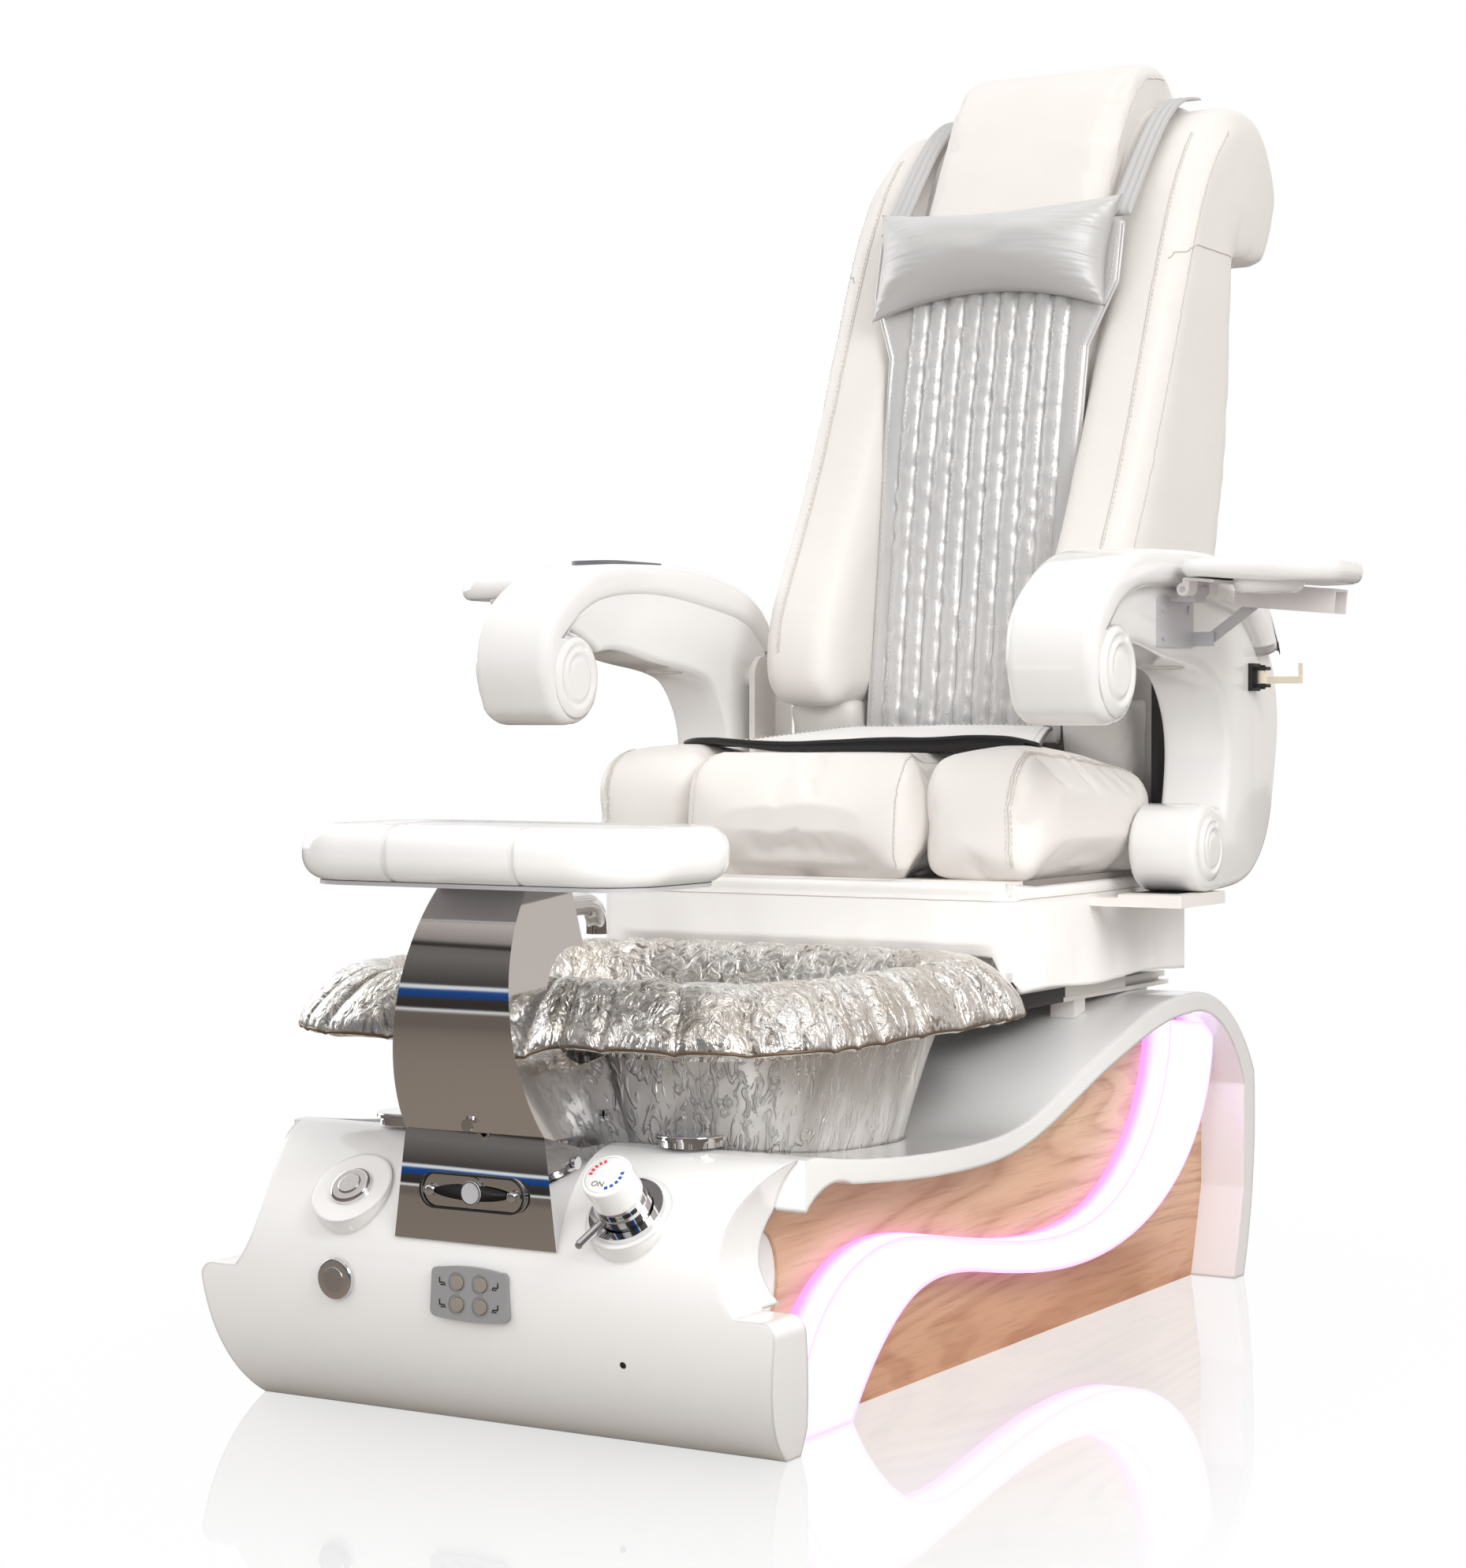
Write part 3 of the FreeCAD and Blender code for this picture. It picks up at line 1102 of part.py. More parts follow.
def seat_flap():
    """Loose lower part of the back cover that lies on the seat, its front curled up."""
    z = SEAT_TOP_Z + 8
    t = 6.0
    w = BACK_HALF_WIDTH
    y0 = BACK_PIVOT_Y - 370
    y1 = BACK_PIVOT_Y - 100
    out = Outline(side(-w), y0, z + 14)
    out.arc((y0 + 6, z + 5), (y0 + 40, z))
    out.line(y1, z)
    out.line(y1, z + t)
    out.line(y0 + 42, z + t)
    out.arc((y0 + 12, z + t + 6), (y0 + 2, z + 19))
    return across(out, 2 * w)


# Backrest: side outlines from the pivot, bottom to top

WING_FRONT = ((-170, 142), (-167, 190), (-113, 300), (-32, 465), (50, 655), (120, 777), (180, 836))
WING_SPLIT = ((150, 800), (90, 690), (30, 520), (-18, 340), (-30, 200), (-30, 112))
CENTRE_FRONT = ((-68, 52), (-39, 276), (5, 540), (35, 662))
BACK_REAR = ((244, 659), (228, 427), (198, 283), (140, 100), (96, 10), (60, -BACK_DROP))
ROLL = ((378, 815), (398, 763), (380, 706), (359, 673))
COVER_THICK = 12.0
CUSHION_THICK = 46.0
WING_ROUND = 20.0
SHELL_ROUND = 12.0
PAD_ROUND = 14.0


def shifted(points, dy=0.0, dz=0.0):
    return [(y + dy, z + dz) for y, z in points]


def rims(shape, *xs):
    """Edges that lie in the side planes at the given x."""
    return edges_where(shape, lambda p, e: e.BoundBox.XLength < 1e-3 and min(abs(p.x - x) for x in xs) < 1e-3)


def back_shell():
    """Upholstered rear shell that rolls back over the top like a scroll."""
    w = BACK_HALF_WIDTH - 5
    out = Outline(behind_seat(-w), *WING_SPLIT[-1])
    out.curve(*reversed(WING_SPLIT[:-1]))
    out.line(190, 840)
    out.curve((220, 858), (270, 867))
    out.curve((330, 859), *ROLL)
    out.line(*BACK_REAR[0])
    out.curve(*BACK_REAR[1:4])
    out.curve(*BACK_REAR[4:])
    out.line(-36, -BACK_DROP)
    out.line(-36, 40)
    out.line(*WING_SPLIT[-1])
    body = across(out, 2 * w)
    top = BACK_PIVOT_Z + 840
    body = body.makeFillet(SHELL_ROUND, [e for e in rims(body, w, -w) if e.BoundBox.ZMax > top and
                                         e.BoundBox.YMin > BACK_PIVOT_Y + 180])
    # Space for the middle cushions and the roller carriage
    inner = SEAT_CENTRE_HALF_WIDTH - 10
    rear = shifted(CENTRE_FRONT, CUSHION_THICK + 0.5)
    room = Outline(behind_seat(-inner), -90, 0)
    room.line(rear[0][0], 0)
    room.line(*rear[0])
    room.curve(*rear[1:])
    room.line(rear[-1][0], 700).line(-90, 700)
    body = body.cut(across(room, 2 * inner))
    body = body.cut(head_block(HEAD_HALF_WIDTH + 8))
    hollow = Outline(behind_seat(-inner + 14), -70, 80)
    hollow.line(115, 80).line(170, 283).line(202, 427).line(214, 615).line(-70, 615)
    body = body.cut(across(hollow, 2 * (inner - 14)))
    # A shallow recess in each end of the roll
    recess = Outline(behind_seat(w - 12), 252, 640)
    recess.line(252, 742)
    recess.curve((265, 784), (297, 802), (320, 787), (337, 759), (356, 745))
    recess.line(410, 730).line(410, 640)
    end = across(recess, 40)
    body = body.cut(end).cut(mirrored(end))
    for s in (-1, 1):
        body = body.cut(rod(V(s * (w - 34), BACK_PIVOT_Y, BACK_PIVOT_Z), V(s, 0, 0), BACK_PIN_R + RUNNING, 60))
        xs = sorted((s * (BACK_HALF_WIDTH - 4.5 - SLIDE_GAP), s * 400))
        body = body.cut(block(xs[0], xs[1], BACK_PIVOT_Y - 90, BACK_PIVOT_Y + 150, BACK_PIVOT_Z - 100,
                              BACK_PIVOT_Z + 60))
    for s in (-1, 1):
        a, b = guide_line(s)
        body = body.cut(rod(a, b - a, GUIDE_R + SEAT_GAP, (b - a).Length))
    return body


def back_wing(soft=True):
    """Side bolster of the backrest."""
    w0 = SEAT_CENTRE_HALF_WIDTH - 8
    w1 = BACK_HALF_WIDTH - 4
    out = Outline(behind_seat(w0), *WING_FRONT[0])
    out.curve(*WING_FRONT[1:])
    out.line(WING_SPLIT[0][0] - 0.5, WING_SPLIT[0][1] + 2)
    out.curve(*shifted(WING_SPLIT[1:], -0.5))
    out.line(-110, 96)
    out.arc((-152, 108), WING_FRONT[0])
    body = across(out, w1 - w0)
    if soft:
        front = [e for e in rims(body, w0, w1) if e.BoundBox.YMin < BACK_PIVOT_Y - 160 and e.BoundBox.ZLength > 100]
        body = body.makeFillet(WING_ROUND, front)
    return body


def back_cushion():
    """Middle back cushion."""
    w = SEAT_CENTRE_HALF_WIDTH - 12
    out = Outline(behind_seat(-w), *CENTRE_FRONT[0])
    out.curve(*CENTRE_FRONT[1:])
    rear = shifted(CENTRE_FRONT, CUSHION_THICK)
    out.line(*rear[-1])
    out.curve(*reversed(rear[:-1]))
    return across(out, 2 * w)


HEAD_TOP = ((70, 735), (105, 805), (150, 870), (197, 908), (245, 919), (282, 908), (320, 870))


def head_cushion():
    """Head cushion that laps over the top of the roll."""
    w = HEAD_HALF_WIDTH + 6
    body = head_block(w)
    crown = [e for e in rims(body, w, -w) if e.BoundBox.ZMax > BACK_PIVOT_Z + 910]
    return body.makeFillet(PAD_ROUND, crown)


def head_block(w):
    y0, z0 = CENTRE_FRONT[-1]
    out = Outline(behind_seat(-w), y0, z0 + 0.5)
    out.curve(*HEAD_TOP)
    out.line(314, 862)
    out.curve((250, 858), (198, 825), (130, 740), (y0 + CUSHION_THICK, z0 + 0.5))
    return across(out, 2 * w)


COVER_CHANNELS = 9
CHANNEL_DEPTH = 5.0
CHANNEL_WIDTH = 2.5
QUILTED_HALF_WIDTH = 109.0


def cover_pad():
    """Quilted cover with sewn channels."""
    front = shifted(CENTRE_FRONT, -0.3 - COVER_THICK)
    rear = shifted(CENTRE_FRONT, -0.3)
    out = Outline(behind_seat(-200.0), *rear[0])
    out.curve(*rear[1:])
    out.line(42, 690)
    out.line(42 - COVER_THICK, 690)
    out.line(*front[-1])
    out.curve(*reversed(front[:-1]))
    slab = across(out, 400)
    low = BACK_PIVOT_Z
    cut = Outline(front_of_back(), -130.0, low)
    cut.line(130, low).line(135, low + 535).line(166, low + 615).line(166, low + 700)
    cut.line(-166, low + 700).line(-166, low + 615).line(-135, low + 535)
    pad = slab.common(cut.face().extrude(V(0, 300, 0)))
    wing = back_wing(False)
    wing.translate(V(0, -0.3, 0))
    pad = pad.cut(wing).cut(mirrored(wing))
    for i in range(COVER_CHANNELS + 1):
        x = QUILTED_HALF_WIDTH * (2 * i / COVER_CHANNELS - 1)
        line = shifted(front, CHANNEL_DEPTH)
        channel = Outline(behind_seat(x - CHANNEL_WIDTH / 2), *line[0])
        channel.curve(*line[1:])
        channel.line(line[-1][0] - 40, line[-1][1])
        channel.line(line[0][0] - 40, line[0][1])
        pad = pad.cut(across(channel, CHANNEL_WIDTH))
    return pad


def front_of_back():
    return front(BACK_PIVOT_Y - 170)


PILLOW_HALF_WIDTH = 157.0
PILLOW_Z = (580.0, 725.0)       # lower and upper edge from the pivot


def pillow_section(x, full):
    """Side view of the pillow at one place of its width, full from 0 to 1."""
    low, high = PILLOW_Z
    base = COVER_THICK + 2.2

    def at(z, thick):
        return (15 + (z - low) * 36 / (high - low) - base - thick * full, z)
    out = Outline(behind_seat(x), *at(low, 0))
    out.line(*at(high, 0))
    out.arc(at(high - 7, 36), at(high - 41, 67))
    out.curve(at(low + 60, 82), at(low + 16, 53), at(low, 0))
    return out.wire()


def neck_pillow():
    """Pillow held in front of the cover: crowned in the middle, pinched at its ends."""
    shares = ((-1.0, 0.26), (-0.8, 0.72), (-0.4, 0.96), (0.0, 1.0), (0.4, 0.96), (0.8, 0.72), (1.0, 0.26))
    return Part.makeLoft([pillow_section(k * PILLOW_HALF_WIDTH, full) for k, full in shares], True, False)


def cover_straps():
    """Two bands from the cover's corners over the shoulders."""
    faces = WING_FRONT[4:]
    out = Outline(behind_seat(142.0), faces[0][0] - 3, faces[0][1] + 42)
    out.curve((faces[1][0] - 3, faces[1][1] + 3), (faces[2][0] - 3, faces[2][1] + 4), (222, 863), (270, 871))
    out.line(270, 875)
    out.curve((220, 867.5), (faces[2][0] - 6, faces[2][1] + 7), (faces[1][0] - 7, faces[1][1] + 5),
              (faces[0][0] - 7, faces[0][1] + 44))
    band = across(out, 30)
    return [band, mirrored(band)]


GUIDE_R = 7.0
MASSAGE_TRAVEL = 300.0


def guide_line(s):
    """Ends of one guide rod inside the backrest."""
    lean = atan2(CENTRE_FRONT[2][0] - CENTRE_FRONT[1][0], CENTRE_FRONT[2][1] - CENTRE_FRONT[1][1])
    a = V(s * 60.0, BACK_PIVOT_Y + 65, BACK_PIVOT_Z + 72)
    length = MASSAGE_TRAVEL + 252.0
    return a, a + V(0, sin(lean), cos(lean)) * length


def massage_guides():
    pieces = []
    for s in (-1, 1):
        a, b = guide_line(s)
        pieces.append(rod(a, b - a, GUIDE_R, (b - a).Length))
    return Part.Compound(pieces)


def massage_carriage():
    """Motor block with four kneading rollers that rides on the guide rods."""
    a, b = guide_line(1)
    lean = atan2(b.y - a.y, b.z - a.z)
    body = Part.makeBox(190, 52, 120, V(-95, -26, -60))
    for s in (-1, 1):
        body = body.cut(rod(V(s * 60, 0, -100), Z_AXIS, GUIDE_R + RUNNING, 200))
    for s in (-1, 1):
        for z in (-40, 40):
            stalk = rod(V(s * 35, -20, z), V(0, -1, 0), 7, 20)
            body = body.fuse([stalk, Part.makeSphere(15, V(s * 35, -44, z))])
    body = body.removeSplitter()
    body.rotate(V(0, 0, 0), X_AXIS, -degrees(lean))
    start = a + (b - a).normalize() * 86
    body.translate(V(0, start.y, start.z))
    return body


# Arms


CAP_ROUND = 12.0
BODY_ROUND = 7.0


def arm_cap_outline(place):
    y = ARM_SCROLL_Y - 20
    z = ARM_SCROLL_Z + 7
    top = ARM_TOP_Z
    out = Outline(place, y + 46, z + 34)
    out.arc((y + 57, z - 10), (y + 26, z - 53))
    out.arc((y - 8, z - 58), (y - 36, z - 46))
    out.curve((y - 55, z + 8), (y - 42, z + 60), (y + 6, top - 30), (y + 56, top - 8),
              (y + 140, top), (y + 266, top + 1), (y + 337, top - 7), (y + 416, top - 28), (y + 456, top - 55),
              (y + 478, top - 96))
    out.line(y + 462, top - 104)
    out.curve((y + 434, top - 76), (y + 398, top - 69), (y + 341, top - 57), (y + 285, top - 49),
              (y + 178, top - 40), (y + 76, top - 48), (y + 46, top - 64))
    return out


def arm_cap():
    """Wide gloss cap that starts in the front scroll and ends behind the hub."""
    x = ARM_INNER_X - 2
    cap = across(arm_cap_outline(side(x)), ARM_CAP_WIDTH)
    crown = [e for e in rims(cap, x, x + ARM_CAP_WIDTH) if e.BoundBox.ZMax > ARM_TOP_Z - 4]
    return cap.makeFillet(CAP_ROUND, crown)


def arm_body():
    """Side scroll of the arm: under the cap, down the rear and round the lower scroll."""
    y = -SCROLL_AHEAD - 20
    top = HUB_DROP
    r = ARM_LOWER_R
    ly = -LOWER_AHEAD
    lz = -LOWER_DROP
    x = ARM_INNER_X + 2
    out = Outline(from_hub(x), y + 47, top - 65)
    out.curve((y + 76, top - 48.5), (y + 178, top - 40.5), (y + 285, top - 49.5), (y + 341, top - 57.5),
              (y + 398, top - 69.5), (y + 434, top - 76.5), (y + 462, top - 104.5))
    out.line(y + 492, top - 100)
    out.curve((108, 0), (115, -45), (106, -117), (81, -190), (29, -235), (-30, -247.5), (ly, lz - r))
    out.arc((ly - r, lz), (ly, lz + r))
    out.arc((ly + 24, lz + 44), (ly + 42, lz + 36))
    out.curve((-51, -135), (-46, -95), (-52, -60), (-67, -33), (-89, -11), (-117, 0), (-166, 8), (-227, 16),
              (-267, 28), (-319, 40), (y + 47, top - 79))
    body = across(out, ARM_BODY_WIDTH)
    outer = [e for e in rims(body, x, x + ARM_BODY_WIDTH) if e.BoundBox.ZMin > ARM_HUB_Z - 170 and
             e.BoundBox.ZMax < ARM_HUB_Z + 60 and e.BoundBox.YMax < ARM_HUB_Y - 40]
    body = body.makeFillet(BODY_ROUND, outer)
    bore = rod(V(ARM_INNER_X - 10, ARM_HUB_Y, ARM_HUB_Z), X_AXIS, ARM_PIN_R + RUNNING, 64)
    return body.cut(bore)


# Trays

HINGE_X = ARM_INNER_X - 2 + ARM_CAP_WIDTH + 9
HINGE_Z = TRAY_TOP_Z - TRAY_HINGE_DROP
HINGE_R = 7.0
STRUT_Y = TRAY_Y[0] + 119
STRUT_FOOT = (-8.0, -52.0)      # the strut's lower pin, from the hinge
STRUT_HEAD = (55.0, -6.0)
DROOP = 5.0


def on_hinge(shape):
    """Turn a level tray piece by the droop about the hinge."""
    moved = shape.copy()
    moved.rotate(V(HINGE_X, 0, HINGE_Z), Y_AXIS, DROOP)
    return moved


def tray():
    """Square tray with rounded corners, a raised rim and a cup well."""
    x0 = HINGE_X - 3
    x1 = x0 + TRAY_WIDTH
    y0, y1 = TRAY_Y
    z = TRAY_TOP_Z - TRAY_THICK
    cx = (x0 + x1) / 2
    cy = (y0 + y1) / 2
    slab = Part.Face(rounded_rectangle(plan(z), TRAY_WIDTH / 2, (y1 - y0) / 2, 40, (cx, cy))).extrude(
        V(0, 0, TRAY_THICK))
    rim = edges_where(slab, lambda p, e: abs(e.BoundBox.ZLength) < 1e-6)
    slab = slab.makeFillet(6.0, rim)
    dish = Part.Face(rounded_rectangle(plan(TRAY_TOP_Z - 3), TRAY_WIDTH / 2 - 12, (y1 - y0) / 2 - 12, 30,
                                       (cx, cy))).extrude(V(0, 0, 10))
    slab = slab.cut(dish)
    cup = rod(V(CUP_X, CUP_Y, TRAY_TOP_Z - CUP_DEPTH - 2), Z_AXIS, CUP_R, CUP_DEPTH - 6)
    well = rod(V(CUP_X, CUP_Y, TRAY_TOP_Z - CUP_DEPTH + 1), Z_AXIS, CUP_R - 3, CUP_DEPTH + 10)
    return on_hinge(fuse(slab, cup).cut(well))


CUP_X = HINGE_X + 85
CUP_Y = TRAY_Y[0] + 53


def tray_plate():
    """Steel plate under the tray with two knuckles and a channel for the strut."""
    z = TRAY_TOP_Z - TRAY_THICK
    t = 3.0
    plate = block(HINGE_X + 2, HINGE_X + 36, TRAY_Y[0] + 20, TRAY_Y[1] - 45, z - t - 0.2, z - 0.2)
    tongue = block(HINGE_X + 2, HINGE_X + 145, STRUT_Y - 21, STRUT_Y + 19, z - t - 0.2, z - 0.2)
    pieces = [tongue]
    for y in (TRAY_Y[0] + 22, TRAY_Y[0] + 82):
        knuckle = rod(V(HINGE_X, y, HINGE_Z), Y_AXIS, HINGE_R, 24)
        web = block(HINGE_X - 1, HINGE_X + 7, y, y + 24, HINGE_Z, z - 1)
        pieces += [knuckle, web]
    for y in (STRUT_Y - 21, STRUT_Y + 16):
        pieces.append(block(HINGE_X + 30, HINGE_X + 145, y, y + 3, HINGE_Z - 14, z - 1))
    shape = fuse(plate, *pieces)
    shape = shape.cut(rod(V(HINGE_X, TRAY_Y[0], HINGE_Z), Y_AXIS, 3 + RUNNING, 200))
    return on_hinge(shape)


def tray_bracket():
    """Bracket screwed to the arm: plate, hinge knuckle with pin, and strut cheek."""
    x = ARM_INNER_X + 2 + ARM_BODY_WIDTH + 0.2
    plate = block(x, x + 3, TRAY_Y[0] + 18, STRUT_Y - 3, HINGE_Z - 62, HINGE_Z - 9)
    shelf = block(x, HINGE_X, TRAY_Y[0] + 48, TRAY_Y[0] + 80, HINGE_Z - 13, HINGE_Z - 9)
    web = block(HINGE_X - 4, HINGE_X + 3, TRAY_Y[0] + 48, TRAY_Y[0] + 80, HINGE_Z - 13, HINGE_Z)
    knuckle = rod(V(HINGE_X, TRAY_Y[0] + 47, HINGE_Z), Y_AXIS, HINGE_R, 34)
    pin = rod(V(HINGE_X, TRAY_Y[0] + 20, HINGE_Z), Y_AXIS, 3, 88)
    px = HINGE_X + STRUT_FOOT[0]
    pz = HINGE_Z + STRUT_FOOT[1]
    cheek = block(x, px + 7, STRUT_Y - 7, STRUT_Y - 3, pz - 8, pz + 8)
    strut_pin = rod(V(px, STRUT_Y - 7, pz), Y_AXIS, 3, 12)
    pieces = [shelf, web, knuckle, pin, cheek, strut_pin]
    for y, z in ((TRAY_Y[0] + 30, HINGE_Z - 20), (TRAY_Y[0] + 30, HINGE_Z - 50), (STRUT_Y - 17, HINGE_Z - 20)):
        pieces.append(rod(V(x + 2, y, z), X_AXIS, 4.5, 3))
    return fuse(plate, *pieces)


def tray_strut():
    """Flat diagonal stay from the bracket's cheek into the tray's channel."""
    px = HINGE_X + STRUT_FOOT[0]
    pz = HINGE_Z + STRUT_FOOT[1]
    dx = STRUT_HEAD[0] - STRUT_FOOT[0]
    dz = STRUT_HEAD[1] - STRUT_FOOT[1]
    length = hypot(dx, dz)
    flat = block(px, px + length, STRUT_Y, STRUT_Y + 3, pz - 6, pz + 6)
    ends = [rod(V(px, STRUT_Y, pz), Y_AXIS, 6, 3), rod(V(px + length, STRUT_Y, pz), Y_AXIS, 6, 3)]
    end_pin = rod(V(px + length, STRUT_Y - 10, pz), Y_AXIS, 3, 20)
    shape = fuse(flat, end_pin, *ends).cut(rod(V(px, STRUT_Y - 2, pz), Y_AXIS, 3 + RUNNING, 8))
    shape.rotate(V(px, 0, pz), Y_AXIS, -degrees(atan2(dz, dx)))
    return shape


HOOK_Y = ARM_HUB_Y + 27
HOOK_Z = ARM_HUB_Z - 5


def hook_mount():
    """Pad and clevis on the arm's outer face."""
    x = ARM_INNER_X + 2 + ARM_BODY_WIDTH + 0.2
    pad = block(x, x + 5, HOOK_Y - 13, HOOK_Y + 13, HOOK_Z - 16, HOOK_Z + 16)
    low = block(x, x + 20, HOOK_Y - 7, HOOK_Y + 7, HOOK_Z - 12, HOOK_Z - 8)
    high = block(x, x + 20, HOOK_Y - 7, HOOK_Y + 7, HOOK_Z + 8, HOOK_Z + 12)
    pin = rod(V(x + 13, HOOK_Y, HOOK_Z - 14), Z_AXIS, 3, 28)
    return fuse(pad, low, high, pin)


def swing_hook():
    """Hook that swings about an upright pin, its tip turned up."""
    x = ARM_INNER_X + 2 + ARM_BODY_WIDTH + 0.2 + 13
    barrel = rod(V(x, HOOK_Y, HOOK_Z - 7.5), Z_AXIS, 6.5, 15)
    arm = block(x, x + 48, HOOK_Y - 2, HOOK_Y + 2, HOOK_Z - 7.5, HOOK_Z + 0.5)
    tip = block(x + 44, x + 48, HOOK_Y - 2, HOOK_Y + 2, HOOK_Z - 7.5, HOOK_Z + 16)
    return fuse(barrel, arm, tip).cut(rod(V(x, HOOK_Y, HOOK_Z - 9), Z_AXIS, 3 + RUNNING, 20))


def remote_pad_block(grow):
    wire = rounded_rectangle(plan(ARM_TOP_Z - 1.5 - grow), 34 + grow, 64 + grow, 24, (-ARM_INNER_X - 51, ARM_HUB_Y - 235))
    return Part.Face(wire).extrude(V(0, 0, 5.5 + 2 * grow))


def name_plate():
    """Bare oval plate on the bracket, held by two dome screws."""
    y = POST_FOLD_Y - 0.2
    z = 0.5 * (BRACKET_FOOT_Z + POST_FOLD_Z) - 4
    wire = rounded_rectangle(front(y), 60, 17, 16.5, (0.0, z))
    plate = Part.Face(wire).extrude(V(0, -2.5, 0))
    disc = rod(V(0, y - 2.4, z), V(0, -1, 0), 15, 1.4)
    screws = []
    for s in (-1, 1):
        head = rod(V(s * 52, y - 2.4, z), V(0, -1, 0), 4.5, 2.6)
        screws.append(head)
    return fuse(plate, disc, *screws)


def bracket_bolts():
    """Dome bolts of the footrest post and bracket."""
    pieces = []
    y = POST_FOLD_Y - 0.2
    z = POST_FOLD_Z + 8
    pieces.append(rod(V(0, y - 9.4, z), V(0, -1, 0), 6, 3))
    for s in (-1, 1):
        w = post_half_width(300)
        pieces.append(rod(V(s * (w + 1.1), -520, 300), V(s, 0, 0), 6, 4))
        low = post_half_width(262)
        pieces.append(rod(V(s * (low + 1.1), -585, 262), V(s, 0, 0), 6, 4))
    return Part.Compound(pieces)


def build_upper():
    keep("slide_rails", slide_rails())
    keep("slide_actuator", slide_actuator())
    keep("slide_rod", slide_rod())
    keep("name_plate", name_plate())
    keep("bracket_bolts", bracket_bolts())
    keep("carriage_frame", carriage_frame())
    keep("recline_drives", recline_drives())
    keep("seat_skirt", seat_skirt())
    keep("seat_cushion", seat_cushion())
    bolster = seat_bolster()
    keep("seat_bolsters", Part.Compound([bolster, mirrored(bolster)]))
    keep("seat_flap", seat_flap())
    keep("back_shell", back_shell())
    wing = back_wing()
    keep("back_wings", Part.Compound([wing, mirrored(wing)]))
    keep("back_cushion", back_cushion())
    keep("head_cushion", head_cushion())
    keep("back_cover", Part.Compound([cover_pad()] + cover_straps()))
    keep("neck_pillow", neck_pillow())
    keep("massage_guides", massage_guides())
    keep("massage_carriage", massage_carriage())
    body = arm_body()
    cap = arm_cap()
    keep("arm_body_right", body)
    keep("arm_body_left", mirrored(body))
    keep("arm_cap_right", cap)
    keep("arm_cap_left", mirrored(cap).cut(remote_pad_block(SEAT_GAP)))
    keep("remote_pad", remote_pad_block(0.0))
    for name, shape in (("tray", tray()), ("tray_plate", tray_plate()), ("tray_bracket", tray_bracket()),
                        ("tray_strut", tray_strut())):
        keep(name + "_right", shape)
        keep(name + "_left", mirrored(shape))
    keep("hook_mount", hook_mount())
    keep("swing_hook", swing_hook())


build_base()
build_upper()
os.makedirs("parts", exist_ok=True)
for node, solid in PARTS.items():
    solid.exportStep("parts/" + node + ".step")
    print(node, round(solid.Volume / 1000, 1), "cm3", len(solid.Solids), "solids", solid.isValid())
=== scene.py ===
"""Looks of the pedicure spa chair, laid out as an add-on and run as a script."""

import math

import bmesh
import bpy
from bpy.props import FloatProperty, FloatVectorProperty, IntProperty, PointerProperty
from mathutils import Matrix, Vector, noise
from mathutils.bvhtree import BVHTree


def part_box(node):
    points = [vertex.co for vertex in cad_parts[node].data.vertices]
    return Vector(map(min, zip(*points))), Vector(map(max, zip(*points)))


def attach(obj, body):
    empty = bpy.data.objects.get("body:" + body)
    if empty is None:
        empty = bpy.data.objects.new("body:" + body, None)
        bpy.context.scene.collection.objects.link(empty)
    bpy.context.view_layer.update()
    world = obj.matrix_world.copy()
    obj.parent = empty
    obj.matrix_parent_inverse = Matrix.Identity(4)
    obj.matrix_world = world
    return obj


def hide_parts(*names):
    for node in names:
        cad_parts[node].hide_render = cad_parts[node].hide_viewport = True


bl_info = {
    "name": "Pedicure Spa Chair",
    "version": (1, 0, 0),
    "blender": (4, 5, 0),
    "location": "View3D > Sidebar > Spa Chair",
    "description": "Builds the upholstery, mouldings and finishes of a pedicure spa chair",
    "category": "Object",
}

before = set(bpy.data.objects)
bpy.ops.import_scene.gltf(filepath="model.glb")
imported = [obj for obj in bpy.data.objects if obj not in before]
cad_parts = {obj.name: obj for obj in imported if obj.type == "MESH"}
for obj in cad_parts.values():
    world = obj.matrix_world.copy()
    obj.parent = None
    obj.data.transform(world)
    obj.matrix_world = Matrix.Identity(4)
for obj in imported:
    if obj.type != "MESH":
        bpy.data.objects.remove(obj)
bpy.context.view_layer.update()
MM = 0.001


def vec(x, y, z):
    """A point given in millimetres."""
    return Vector((x * MM, y * MM, z * MM))


class ChairColours(bpy.types.PropertyGroup):
    gelcoat: FloatVectorProperty(name="Gelcoat", description="Moulded shell and arms", subtype="COLOR", size=3,
                                 default=(0.86, 0.85, 0.838))
    hide: FloatVectorProperty(name="Ivory hide", description="Seat and back upholstery", subtype="COLOR", size=3,
                              default=(0.785, 0.75, 0.72))
    pearl: FloatVectorProperty(name="Pearl cover", description="Quilted cover and pillow", subtype="COLOR", size=3,
                               default=(0.75, 0.742, 0.735))
    oak_light: FloatVectorProperty(name="Oak light", description="Pale wood between the pores", subtype="COLOR",
                                   size=3, default=(0.78, 0.53, 0.36))
    oak_dark: FloatVectorProperty(name="Oak dark", description="Darker grain lines", subtype="COLOR", size=3,
                                  default=(0.50, 0.26, 0.155))
    glow: FloatVectorProperty(name="Glow", description="Edge colour of the lit bands", subtype="COLOR", size=3,
                              default=(1.5, 0.42, 1.75), max=4.0)
    glow_deep: FloatVectorProperty(name="Deep glow", description="Second edge colour of the lit bands",
                                   subtype="COLOR", size=3, default=(0.95, 0.34, 1.5), max=4.0)
    skirt: FloatVectorProperty(name="Skirt", description="Skirt of the moving seat", subtype="COLOR", size=3,
                               default=(0.80, 0.765, 0.735))


